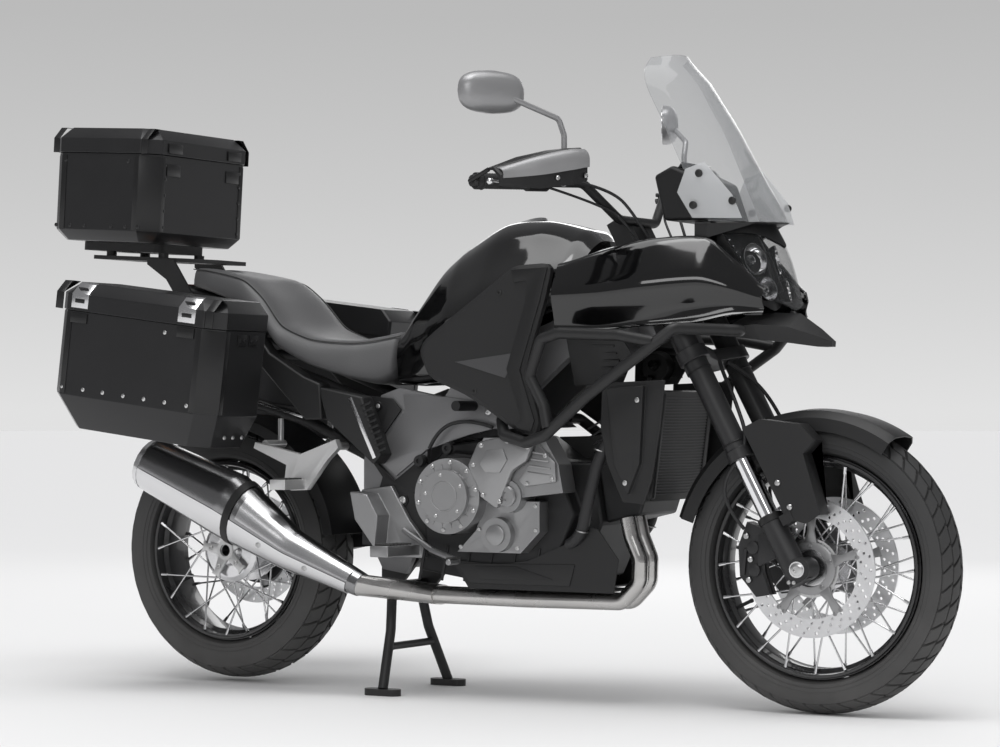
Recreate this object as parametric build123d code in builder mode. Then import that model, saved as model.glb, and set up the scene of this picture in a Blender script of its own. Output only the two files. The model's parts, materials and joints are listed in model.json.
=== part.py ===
"""Adventure motorcycle with wire wheels, crash bars, top case and panniers.

Millimetres. +X points to the front wheel, +Y to the rider's left, +Z up.
The origin lies on the ground, at the centre of the bounding box's base.
The motorcycle stands on its centre stand, with the rear tyre off the ground.
"""
import os
from collections import namedtuple
from math import cos, radians, sin, tan

from build123d import *

os.makedirs("parts", exist_ok=True)

# ---------------------------------------------------------------- driving sizes
WHEELBASE = 1595.0
FRONT_AXLE_X = 852.0
REAR_AXLE_X = FRONT_AXLE_X - WHEELBASE
STAND_LIFT = 8.0
RAKE = 28.0
TRAIL = 107.0

FRONT_TYRE_RADIUS = 329.0
FRONT_TYRE_WIDTH = 110.0
FRONT_BEAD_RADIUS = 241.5
REAR_TYRE_RADIUS = 321.0
REAR_TYRE_WIDTH = 150.0
REAR_BEAD_RADIUS = 216.0
TYRE_WALL = 9.0
RIM_WALL = 5.0
FIT_GAP = 0.3
SPOKE_COUNT = 20
SPOKE_RADIUS = 2.2

FORK_SPACING = 210.0
FORK_OFFSET = 42.0
OUTER_TUBE_RADIUS = 27.0
BOTTOM_RADIUS = 28.0
STANCHION_RADIUS = 21.5
FRONT_AXLE_RADIUS = 12.0
FRONT_AXLE_BORE = 8.5
REAR_AXLE_BORE = 14.0
FRONT_DISC_RADIUS = 155.0
FRONT_DISC_SPACING = 134.0
REAR_DISC_RADIUS = 138.0
DISC_THICKNESS = 5.0

HEAD_TUBE_RADIUS = 34.0
FRAME_TUBE_RADIUS = 13.0
CRASH_BAR_RADIUS = 13.0
HANDLEBAR_RADIUS = 11.0
GRIP_RADIUS = 17.0

CASE_WALL = 2.5
CASE_LID_GAP = 0.8
TOP_CASE_WIDTH = 426.0
TOP_CASE_TILT = 3.4
PANNIER_OUTER_Y = 477.0
PANNIER_DEPTH = 206.0
PANNIER_TILT = 7.24

FRONT_AXLE_Z = FRONT_TYRE_RADIUS
REAR_AXLE_Z = REAR_TYRE_RADIUS + STAND_LIFT

# ---------------------------------------------------------------- shared frames
FRONT_AXLE = (FRONT_AXLE_X, 0.0, FRONT_AXLE_Z)
REAR_AXLE = (REAR_AXLE_X, 0.0, REAR_AXLE_Z)
FRONT_WHEEL = Plane(origin=FRONT_AXLE, x_dir=(0, 1, 0), z_dir=(1, 0, 0))
REAR_WHEEL = Plane(origin=REAR_AXLE, x_dir=(0, 1, 0), z_dir=(1, 0, 0))
FRONT_AXLE_LINE = Axis(FRONT_AXLE, (0, 1, 0))
REAR_AXLE_LINE = Axis(REAR_AXLE, (0, 1, 0))

RAKE_SIN = sin(radians(RAKE))
RAKE_COS = cos(radians(RAKE))
STEER_FOOT = (FRONT_AXLE_X + TRAIL, 0.0, 0.0)
# local x runs forward of the steering axis, local y to the left, local z up the axis
STEER = Plane(origin=STEER_FOOT, x_dir=(RAKE_COS, 0, RAKE_SIN), z_dir=(-RAKE_SIN, 0, RAKE_COS))
AXLE_OFFSET = FRONT_AXLE_Z * RAKE_SIN - TRAIL * RAKE_COS
AXLE_HEIGHT = FRONT_AXLE_Z * RAKE_COS + TRAIL * RAKE_SIN


def steer_point(forward, left, height):
    """World point from a point given along the steering axis."""
    return (
        STEER_FOOT[0] + forward * RAKE_COS - height * RAKE_SIN,
        left,
        forward * RAKE_SIN + height * RAKE_COS,
    )


def side_plane(y):
    """Plane at world Y, with local x to the front and local y up, facing -Y."""
    return Plane(origin=(0, y, 0), x_dir=(1, 0, 0), z_dir=(0, -1, 0))


def cross_plane(x):
    """Plane at world X, with local x to the left and local y up, facing +X."""
    return Plane(origin=(x, 0, 0), x_dir=(0, 1, 0), z_dir=(1, 0, 0))


def steer_xz(forward, height):
    """World X and Z of a point on the centre plane, given along the steering axis."""
    x, _, z = steer_point(forward, 0, height)
    return x, z


def steer_plane(height):
    """Plane square to the steering axis at a height along it."""
    return STEER.offset(height)


# ================================================================= front wheel
TyreSize = namedtuple("TyreSize", "radius half_width bead bead_half shoulder")
FRONT_BEAD_HALF = 33.0
REAR_BEAD_HALF = 54.0
FRONT_TYRE = TyreSize(FRONT_TYRE_RADIUS, FRONT_TYRE_WIDTH / 2, FRONT_BEAD_RADIUS, FRONT_BEAD_HALF, 24.0)
REAR_TYRE = TyreSize(REAR_TYRE_RADIUS, REAR_TYRE_WIDTH / 2, REAR_BEAD_RADIUS, REAR_BEAD_HALF, 27.0)
RIM_FLANGE = 9.0
RIM_EDGE = 9.0


def tyre_outline(size, inset):
    """Half-section corner points of a tyre, from its right bead to its left bead."""
    half = size.half_width - inset
    bead_half = size.bead_half - inset
    crown = size.radius - inset * 1.2
    shoulder_r = size.radius - size.shoulder - inset * 0.7
    shoulder_y = half * 0.9
    bulge_r = size.bead + (size.radius - size.bead) * 0.42
    bead_top = size.bead + RIM_FLANGE + 1.0
    return bead_half, bead_top, half, bulge_r, shoulder_y, shoulder_r, crown


with BuildPart() as front_tyre:
    with BuildSketch(FRONT_WHEEL):
        with BuildLine():
            bh, bt, hw, br, sy, sr, cr = tyre_outline(FRONT_TYRE, 0)
            bead = FRONT_TYRE.bead + FIT_GAP
            Line((-bh, bead), (-bh, bt))
            ThreePointArc((-bh, bt), (-hw, br), (-sy, sr))
            ThreePointArc((-sy, sr), (0, cr), (sy, sr))
            ThreePointArc((sy, sr), (hw, br), (bh, bt))
            Line((bh, bt), (bh, bead))
            ih, it, iw, ir, iy, isr, ic = tyre_outline(FRONT_TYRE, TYRE_WALL)
            Line((bh, bead), (ih, bead))
            Line((ih, bead), (ih, it))
            ThreePointArc((ih, it), (iw, ir), (iy, isr))
            ThreePointArc((iy, isr), (0, ic), (-iy, isr))
            ThreePointArc((-iy, isr), (-iw, ir), (-ih, it))
            Line((-ih, it), (-ih, bead))
            Line((-ih, bead), (-bh, bead))
        make_face()
    revolve(axis=FRONT_AXLE_LINE)
front_tyre.part.label = "front_tyre"
export_step(front_tyre.part, "parts/front_tyre.step")


def rim_outline(bead, bead_half):
    """Closed section of a wire-wheel rim with nipple edges outside the bead."""
    seat = bead_half + FIT_GAP
    flange = seat + 4.0
    edge = flange + RIM_EDGE
    well = bead - 10.0
    right = [
        (bead_half * 0.55, well),
        (bead_half * 0.68, bead),
        (seat, bead),
        (seat, bead + RIM_FLANGE),
        (flange, bead + RIM_FLANGE),
        (flange, bead + RIM_EDGE - 4.0),
        (edge, bead + RIM_EDGE - 4.0),
        (edge, bead - 2.0),
        (flange, bead - RIM_WALL),
        (bead_half * 0.78, bead - RIM_WALL),
        (bead_half * 0.62, well - RIM_WALL),
    ]
    left = [(-y, r) for y, r in reversed(right)]
    return right + left


with BuildPart() as front_rim:
    with BuildSketch(FRONT_WHEEL):
        with BuildLine():
            Polyline(*rim_outline(FRONT_BEAD_RADIUS, FRONT_BEAD_HALF), close=True)
        make_face()
    revolve(axis=FRONT_AXLE_LINE)
front_rim.part.label = "front_rim"
export_step(front_rim.part, "parts/front_rim.step")

FRONT_HUB_HALF = FRONT_DISC_SPACING / 2 - DISC_THICKNESS / 2 - 4.0
FRONT_FLANGE_RADIUS = 48.0
FRONT_FLANGE_Y = 34.0
FRONT_EDGE_Y = FRONT_BEAD_HALF + FIT_GAP + 4.0 + RIM_EDGE / 2
FRONT_SPOKE_END = FRONT_BEAD_RADIUS - RIM_WALL
SPOKE_LEAN = 55.0


def spoke_ends(axle, flange_radius, flange_y, rim_radius, rim_y, angle, lean):
    """World end points of a spoke from its hub flange to its rim edge."""
    hub_angle = radians(angle + lean)
    rim_angle = radians(angle)
    hub = (
        axle[0] + flange_radius * cos(hub_angle),
        flange_y,
        axle[2] + flange_radius * sin(hub_angle),
    )
    rim = (
        axle[0] + rim_radius * cos(rim_angle),
        rim_y,
        axle[2] + rim_radius * sin(rim_angle),
    )
    return hub, rim


def spoke_table(axle, flange_radius, flange_y, rim_radius, rim_y):
    """Every spoke of one wheel, both sides, leaning by turns."""
    spokes = []
    for side in (-1, 1):
        for index in range(SPOKE_COUNT):
            angle = (index + (0.5 if side > 0 else 0.0)) * 360.0 / SPOKE_COUNT
            lean = SPOKE_LEAN if index % 2 else -SPOKE_LEAN
            spokes.append(spoke_ends(axle, flange_radius, side * flange_y, rim_radius, side * rim_y, angle, lean))
    return spokes


with BuildPart() as front_hub:
    with BuildSketch(FRONT_WHEEL):
        with BuildLine():
            Polyline(
                (-FRONT_HUB_HALF, FRONT_AXLE_RADIUS + FIT_GAP),
                (-FRONT_HUB_HALF, 40),
                (-FRONT_FLANGE_Y - 5, 34),
                (-FRONT_FLANGE_Y - 4, FRONT_FLANGE_RADIUS + 5),
                (-FRONT_FLANGE_Y + 4, FRONT_FLANGE_RADIUS + 5),
                (-FRONT_FLANGE_Y + 8, 30),
                (0, 26),
                (FRONT_FLANGE_Y - 8, 30),
                (FRONT_FLANGE_Y - 4, FRONT_FLANGE_RADIUS + 5),
                (FRONT_FLANGE_Y + 4, FRONT_FLANGE_RADIUS + 5),
                (FRONT_FLANGE_Y + 5, 34),
                (FRONT_HUB_HALF, 40),
                (FRONT_HUB_HALF, FRONT_AXLE_RADIUS + FIT_GAP),
                close=True,
            )
        make_face()
    revolve(axis=FRONT_AXLE_LINE)
    for hub_end, rim_end in spoke_table(
        FRONT_AXLE, FRONT_FLANGE_RADIUS, FRONT_FLANGE_Y, FRONT_SPOKE_END, FRONT_EDGE_Y
    ):
        spoke_run = Vector(*rim_end) - Vector(*hub_end)
        with BuildSketch(Plane(origin=hub_end, z_dir=spoke_run)):
            Circle(SPOKE_RADIUS)
        extrude(amount=spoke_run.length)
front_hub.part.label = "front_hub"
export_step(front_hub.part, "parts/front_hub.step")

DISC_BAND = 42.0
DISC_ARMS = 5
CARRIER_RADIUS = 60.0
with BuildPart() as front_discs:
    for side in (-1, 1):
        inner = side * (FRONT_DISC_SPACING / 2 - DISC_THICKNESS / 2)
        with BuildSketch(Plane(origin=(FRONT_AXLE_X, inner, FRONT_AXLE_Z), x_dir=(1, 0, 0), z_dir=(0, side, 0))):
            Circle(FRONT_DISC_RADIUS)
            Circle(FRONT_DISC_RADIUS - DISC_BAND, mode=Mode.SUBTRACT)
            Circle(CARRIER_RADIUS)
            with PolarLocations(CARRIER_RADIUS + 27, DISC_ARMS):
                Rectangle(64, 26)
            Circle(FRONT_AXLE_RADIUS + 18, mode=Mode.SUBTRACT)
        extrude(amount=DISC_THICKNESS)
        face_gap = FRONT_DISC_SPACING / 2 - DISC_THICKNESS / 2 - FRONT_HUB_HALF
        with BuildSketch(Plane(origin=(FRONT_AXLE_X, inner, FRONT_AXLE_Z), x_dir=(1, 0, 0), z_dir=(0, -side, 0))):
            Circle(38)
            Circle(FRONT_AXLE_RADIUS + 18, mode=Mode.SUBTRACT)
        extrude(amount=face_gap)
front_discs.part.label = "front_discs"
export_step(front_discs.part, "parts/front_discs.step")

# ================================================================= rear wheel
with BuildPart() as rear_tyre:
    with BuildSketch(REAR_WHEEL):
        with BuildLine():
            bh, bt, hw, br, sy, sr, cr = tyre_outline(REAR_TYRE, 0)
            bead = REAR_TYRE.bead + FIT_GAP
            Line((-bh, bead), (-bh, bt))
            ThreePointArc((-bh, bt), (-hw, br), (-sy, sr))
            ThreePointArc((-sy, sr), (0, cr), (sy, sr))
            ThreePointArc((sy, sr), (hw, br), (bh, bt))
            Line((bh, bt), (bh, bead))
            ih, it, iw, ir, iy, isr, ic = tyre_outline(REAR_TYRE, TYRE_WALL)
            Line((bh, bead), (ih, bead))
            Line((ih, bead), (ih, it))
            ThreePointArc((ih, it), (iw, ir), (iy, isr))
            ThreePointArc((iy, isr), (0, ic), (-iy, isr))
            ThreePointArc((-iy, isr), (-iw, ir), (-ih, it))
            Line((-ih, it), (-ih, bead))
            Line((-ih, bead), (-bh, bead))
        make_face()
    revolve(axis=REAR_AXLE_LINE)
rear_tyre.part.label = "rear_tyre"
export_step(rear_tyre.part, "parts/rear_tyre.step")

with BuildPart() as rear_rim:
    with BuildSketch(REAR_WHEEL):
        with BuildLine():
            Polyline(*rim_outline(REAR_BEAD_RADIUS, REAR_BEAD_HALF), close=True)
        make_face()
    revolve(axis=REAR_AXLE_LINE)
rear_rim.part.label = "rear_rim"
export_step(rear_rim.part, "parts/rear_rim.step")

REAR_HUB_RIGHT = -62.0
REAR_HUB_LEFT = 52.0
REAR_FLANGE_RADIUS = 74.0
REAR_FLANGE_Y = 40.0
REAR_EDGE_Y = REAR_BEAD_HALF + FIT_GAP + 4.0 + RIM_EDGE / 2
REAR_SPOKE_END = REAR_BEAD_RADIUS - RIM_WALL
with BuildPart() as rear_hub:
    with BuildSketch(REAR_WHEEL):
        with BuildLine():
            Polyline(
                (REAR_HUB_RIGHT, REAR_AXLE_BORE),
                (REAR_HUB_RIGHT, 34),
                (REAR_HUB_RIGHT + 10, 40),
                (REAR_HUB_RIGHT + 12, REAR_FLANGE_RADIUS - 6),
                (-REAR_FLANGE_Y - 4, REAR_FLANGE_RADIUS + 5),
                (-REAR_FLANGE_Y + 4, REAR_FLANGE_RADIUS + 5),
                (-REAR_FLANGE_Y + 8, 54),
                (REAR_FLANGE_Y - 8, 54),
                (REAR_FLANGE_Y - 4, REAR_FLANGE_RADIUS + 5),
                (REAR_FLANGE_Y + 4, REAR_FLANGE_RADIUS + 5),
                (REAR_FLANGE_Y + 5, 58),
                (REAR_HUB_LEFT, 58),
                (REAR_HUB_LEFT, REAR_AXLE_BORE),
                close=True,
            )
        make_face()
    revolve(axis=REAR_AXLE_LINE)
    for hub_end, rim_end in spoke_table(
        REAR_AXLE, REAR_FLANGE_RADIUS, REAR_FLANGE_Y, REAR_SPOKE_END, REAR_EDGE_Y
    ):
        spoke_run = Vector(*rim_end) - Vector(*hub_end)
        with BuildSketch(Plane(origin=hub_end, z_dir=spoke_run)):
            Circle(SPOKE_RADIUS)
        extrude(amount=spoke_run.length)
rear_hub.part.label = "rear_hub"
export_step(rear_hub.part, "parts/rear_hub.step")

REAR_DISC_Y = 66.0
with BuildPart() as rear_disc:
    with BuildSketch(Plane(origin=(REAR_AXLE_X, REAR_DISC_Y, REAR_AXLE_Z), x_dir=(1, 0, 0), z_dir=(0, 1, 0))):
        Circle(REAR_DISC_RADIUS)
        Circle(REAR_DISC_RADIUS - DISC_BAND, mode=Mode.SUBTRACT)
        Circle(56)
        with PolarLocations(75, DISC_ARMS):
            Rectangle(56, 26)
        Circle(30, mode=Mode.SUBTRACT)
    extrude(amount=DISC_THICKNESS)
    with BuildSketch(Plane(origin=(REAR_AXLE_X, REAR_DISC_Y, REAR_AXLE_Z), x_dir=(1, 0, 0), z_dir=(0, -1, 0))):
        Circle(50)
        Circle(30, mode=Mode.SUBTRACT)
    extrude(amount=REAR_DISC_Y - REAR_HUB_LEFT)
rear_disc.part.label = "rear_disc"
export_step(rear_disc.part, "parts/rear_disc.step")

# ================================================================= fork and steering
FORK_HALF = FORK_SPACING / 2
SLIDER_FOOT = AXLE_HEIGHT - 26.0
SLIDER_SEAL = 478.0
TUBE_SEAL = 622.0
TUBE_TOP = 1122.0
LOWER_CLAMP = 872.0
UPPER_CLAMP = 1088.0
CLAMP_THICKNESS = 30.0
AXLE_LEAD = AXLE_OFFSET - FORK_OFFSET

with BuildPart() as fork_outer_tubes:
    with BuildSketch(steer_plane(TUBE_SEAL)):
        with Locations((FORK_OFFSET, FORK_HALF), (FORK_OFFSET, -FORK_HALF)):
            Circle(OUTER_TUBE_RADIUS)
    extrude(amount=TUBE_TOP - TUBE_SEAL)
    with BuildSketch(steer_plane(TUBE_SEAL)):
        with Locations((FORK_OFFSET, FORK_HALF), (FORK_OFFSET, -FORK_HALF)):
            Circle(OUTER_TUBE_RADIUS + 3)
    extrude(amount=26)
fork_outer_tubes.part.label = "fork_outer_tubes"
export_step(fork_outer_tubes.part, "parts/fork_outer_tubes.step")

with BuildPart() as fork_sliders:
    with BuildSketch(steer_plane(SLIDER_SEAL)):
        with Locations((FORK_OFFSET, FORK_HALF), (FORK_OFFSET, -FORK_HALF)):
            Circle(STANCHION_RADIUS)
    extrude(amount=TUBE_SEAL - SLIDER_SEAL)
fork_sliders.part.label = "fork_sliders"
export_step(fork_sliders.part, "parts/fork_sliders.step")

AXLE_BOSS_RADIUS = 26.0
AXLE_BOSS_HALF = BOTTOM_RADIUS + 1.0
with BuildPart() as fork_bottoms:
    with BuildSketch(steer_plane(SLIDER_FOOT)):
        with Locations((FORK_OFFSET, FORK_HALF), (FORK_OFFSET, -FORK_HALF)):
            Circle(BOTTOM_RADIUS)
    extrude(amount=SLIDER_SEAL - SLIDER_FOOT)
    for side in (-1, 1):
        boss_y = side * (FORK_HALF - AXLE_BOSS_HALF)
        with BuildSketch(Plane(origin=(FRONT_AXLE_X, boss_y, FRONT_AXLE_Z), x_dir=(1, 0, 0), z_dir=(0, side, 0))):
            Circle(AXLE_BOSS_RADIUS)
        extrude(amount=2 * AXLE_BOSS_HALF)
    with BuildSketch(Plane(origin=(FRONT_AXLE_X, -FORK_HALF - 60, FRONT_AXLE_Z), x_dir=(1, 0, 0), z_dir=(0, 1, 0))):
        Circle(FRONT_AXLE_RADIUS + FIT_GAP)
    extrude(amount=FORK_SPACING + 120, mode=Mode.SUBTRACT)
fork_bottoms.part.label = "fork_bottoms"
export_step(fork_bottoms.part, "parts/fork_bottoms.step")

AXLE_HALF = FORK_HALF + AXLE_BOSS_HALF + 8.0
with BuildPart() as front_axle:
    with BuildSketch(Plane(origin=(FRONT_AXLE_X, -AXLE_HALF, FRONT_AXLE_Z), x_dir=(1, 0, 0), z_dir=(0, 1, 0))):
        Circle(FRONT_AXLE_RADIUS)
        Circle(FRONT_AXLE_BORE, mode=Mode.SUBTRACT)
    extrude(amount=2 * AXLE_HALF)
    with BuildSketch(Plane(origin=(FRONT_AXLE_X, -AXLE_HALF, FRONT_AXLE_Z), x_dir=(1, 0, 0), z_dir=(0, 1, 0))):
        Circle(FRONT_AXLE_RADIUS + 6)
        Circle(FRONT_AXLE_BORE, mode=Mode.SUBTRACT)
    extrude(amount=AXLE_HALF - FORK_HALF - AXLE_BOSS_HALF)
front_axle.part.label = "front_axle"
export_step(front_axle.part, "parts/front_axle.step")

with BuildPart() as triple_clamps:
    for height, reach in ((LOWER_CLAMP, 20.0), (UPPER_CLAMP, 24.0)):
        with BuildSketch(steer_plane(height)):
            with Locations((FORK_OFFSET, FORK_HALF), (FORK_OFFSET, -FORK_HALF)):
                Circle(OUTER_TUBE_RADIUS + 9)
            with BuildLine():
                Polyline(
                    (-reach, -34),
                    (FORK_OFFSET - 30, -FORK_HALF - 6),
                    (FORK_OFFSET + 30, -FORK_HALF + 12),
                    (FORK_OFFSET + 8, 0),
                    (FORK_OFFSET + 30, FORK_HALF - 12),
                    (FORK_OFFSET - 30, FORK_HALF + 6),
                    (-reach, 34),
                    close=True,
                )
            make_face()
            Circle(34)
            with Locations((FORK_OFFSET, FORK_HALF), (FORK_OFFSET, -FORK_HALF)):
                Circle(OUTER_TUBE_RADIUS + FIT_GAP, mode=Mode.SUBTRACT)
        extrude(amount=CLAMP_THICKNESS)
    with BuildSketch(steer_plane(LOWER_CLAMP + CLAMP_THICKNESS)):
        Circle(13)
    extrude(amount=UPPER_CLAMP - LOWER_CLAMP - CLAMP_THICKNESS)
triple_clamps.part.label = "triple_clamps"
export_step(triple_clamps.part, "parts/triple_clamps.step")

BAR_HALF = 462.0
BAR_CENTRE = (385.0, 0.0, 1118.0)
BAR_RISE = (352.0, 205.0, 1196.0)
BAR_END = (232.0, BAR_HALF, 1188.0)
RISER_HALF = 48.0
with BuildPart() as handlebar:
    with BuildLine() as bar_path:
        FilletPolyline(
            (BAR_END[0], -BAR_END[1], BAR_END[2]),
            (BAR_RISE[0], -BAR_RISE[1], BAR_RISE[2]),
            (BAR_CENTRE[0], -90, BAR_CENTRE[2]),
            (BAR_CENTRE[0], 90, BAR_CENTRE[2]),
            BAR_RISE,
            BAR_END,
            radius=45,
        )
    with BuildSketch(Plane(origin=bar_path.line @ 0, z_dir=bar_path.line % 0)):
        Circle(HANDLEBAR_RADIUS)
    sweep(path=bar_path.line)
    for side in (-1, 1):
        foot = steer_point(-6.0, side * RISER_HALF, UPPER_CLAMP + CLAMP_THICKNESS)
        riser_run = Vector(BAR_CENTRE[0], side * RISER_HALF, BAR_CENTRE[2]) - Vector(*foot)
        with BuildSketch(Plane(origin=foot, x_dir=(0, 1, 0), z_dir=STEER.z_dir)):
            Rectangle(32, 44)
        extrude(amount=riser_run.length + 12)
handlebar.part.label = "handlebar"
export_step(handlebar.part, "parts/handlebar.step")

GRIP_LENGTH = 122.0
bar_direction = (Vector(*BAR_END) - Vector(*BAR_RISE)).normalized()
with BuildPart() as grips:
    for side in (-1, 1):
        tip = Vector(BAR_END[0], side * BAR_END[1], BAR_END[2])
        run = Vector(bar_direction.X, side * bar_direction.Y, bar_direction.Z)
        start = tip - run * GRIP_LENGTH
        with BuildSketch(Plane(origin=start, z_dir=run)):
            Circle(GRIP_RADIUS)
            Circle(HANDLEBAR_RADIUS + FIT_GAP, mode=Mode.SUBTRACT)
        extrude(amount=GRIP_LENGTH)
        with BuildSketch(Plane(origin=tip, z_dir=run)):
            Circle(GRIP_RADIUS + 2)
        extrude(amount=12)
grips.part.label = "grips"
export_step(grips.part, "parts/grips.step")

CONTROL_REACH = 34.0
with BuildPart() as bar_controls:
    for side in (-1, 1):
        tip = Vector(BAR_END[0], side * BAR_END[1], BAR_END[2])
        run = Vector(bar_direction.X, side * bar_direction.Y, bar_direction.Z)
        clamp = tip - run * (GRIP_LENGTH + 58)
        with BuildSketch(Plane(origin=clamp, z_dir=run)):
            Circle(GRIP_RADIUS + 4)
            Circle(HANDLEBAR_RADIUS + FIT_GAP, mode=Mode.SUBTRACT)
        extrude(amount=52)
        with BuildSketch(Plane(origin=clamp + Vector(CONTROL_REACH + 4, 0, 12.5), x_dir=(1, 0, 0), z_dir=(0, 0, 1))):
            Rectangle(64, 50)
        extrude(amount=38)
        perch = clamp + run * 26
        with BuildSketch(Plane(origin=perch + Vector(16, 0, 0), x_dir=(0, 1, 0), z_dir=(1, 0, 0))):
            Circle(7)
        extrude(amount=CONTROL_REACH - 8)
        with BuildLine() as lever_path:
            Polyline(
                perch + Vector(CONTROL_REACH, 0, 0),
                perch + run * 30 + Vector(CONTROL_REACH + 24, 0, -6),
                clamp + run * 172 + Vector(CONTROL_REACH + 10, 0, -10),
            )
        with BuildSketch(Plane(origin=lever_path.line @ 0, z_dir=lever_path.line % 0)):
            Circle(6)
        sweep(path=lever_path.line, transition=Transition.ROUND)
bar_controls.part.label = "bar_controls"
export_step(bar_controls.part, "parts/bar_controls.step")

GUARD_WALL = 4.0
GuardStation = namedtuple("GuardStation", "y front top bottom back")
GUARD_STATIONS = (
    GuardStation(330, 432, 1262, 1190, 366),
    GuardStation(370, 418, 1258, 1178, 350),
    GuardStation(430, 372, 1240, 1168, 306),
    GuardStation(488, 300, 1212, 1172, 262),
)
with BuildPart() as hand_guards:
    for side in (-1, 1):
        for station in GUARD_STATIONS:
            with BuildSketch(side_plane(side * station.y)):
                with BuildLine():
                    Polyline(
                        (station.back, station.top),
                        (station.front - 18, station.top + 2),
                        (station.front, station.top - 16),
                        (station.front, station.bottom),
                        (station.front - GUARD_WALL, station.bottom),
                        (station.front - GUARD_WALL, station.top - 18),
                        (station.front - 20, station.top - GUARD_WALL),
                        (station.back, station.top - GUARD_WALL),
                        close=True,
                    )
                make_face()
        loft(ruled=True)
    for side in (-1, 1):
        with BuildLine() as stay_path:
            Polyline(
                Vector(BAR_END[0], side * BAR_END[1], BAR_END[2])
                + Vector(bar_direction.X, side * bar_direction.Y, bar_direction.Z) * (12 + FIT_GAP),
                Vector(BAR_END[0], side * BAR_END[1], BAR_END[2])
                + Vector(bar_direction.X, side * bar_direction.Y, bar_direction.Z) * 26,
                (GUARD_STATIONS[3].back + 8, side * GUARD_STATIONS[3].y, GUARD_STATIONS[3].top - 2),
            )
        with BuildSketch(Plane(origin=stay_path.line @ 0, z_dir=stay_path.line % 0)):
            Circle(5)
        sweep(path=stay_path.line, transition=Transition.ROUND)
hand_guards.part.label = "hand_guards"
export_step(hand_guards.part, "parts/hand_guards.step")

MIRROR_CENTRE = (245.0, 430.0, 1388.0)
MIRROR_RADII = (84.0, 48.0)
MIRROR_DEPTH = 34.0
MIRROR_YAW = 26.0
with BuildPart() as mirrors:
    for side in (-1, 1):
        centre = (MIRROR_CENTRE[0], side * MIRROR_CENTRE[1], MIRROR_CENTRE[2])
        facing = Vector(cos(radians(MIRROR_YAW)), side * sin(radians(MIRROR_YAW)), 0)
        across = Vector(-facing.Y, facing.X, 0)
        with BuildSketch(Plane(origin=Vector(*centre) - facing * 12, x_dir=across, z_dir=facing)):
            Ellipse(*MIRROR_RADII)
        extrude(amount=12)
        with BuildSketch(Plane(origin=centre, x_dir=across, z_dir=facing)):
            Ellipse(*MIRROR_RADII)
        with BuildSketch(Plane(origin=Vector(*centre) + facing * (MIRROR_DEPTH - 12), x_dir=across, z_dir=facing)):
            Ellipse(MIRROR_RADII[0] * 0.6, MIRROR_RADII[1] * 0.6)
        loft(ruled=True)
        with BuildLine() as stem_path:
            FilletPolyline(
                (356, side * 300, 1244.0),
                (356, side * 300, 1296),
                (352, side * 318, 1332),
                (262, side * 420, 1384),
                radius=20,
            )
        with BuildSketch(Plane(origin=stem_path.line @ 0, z_dir=stem_path.line % 0)):
            Circle(6.5)
        sweep(path=stem_path.line)
mirrors.part.label = "mirrors"
export_step(mirrors.part, "parts/mirrors.step")

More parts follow.
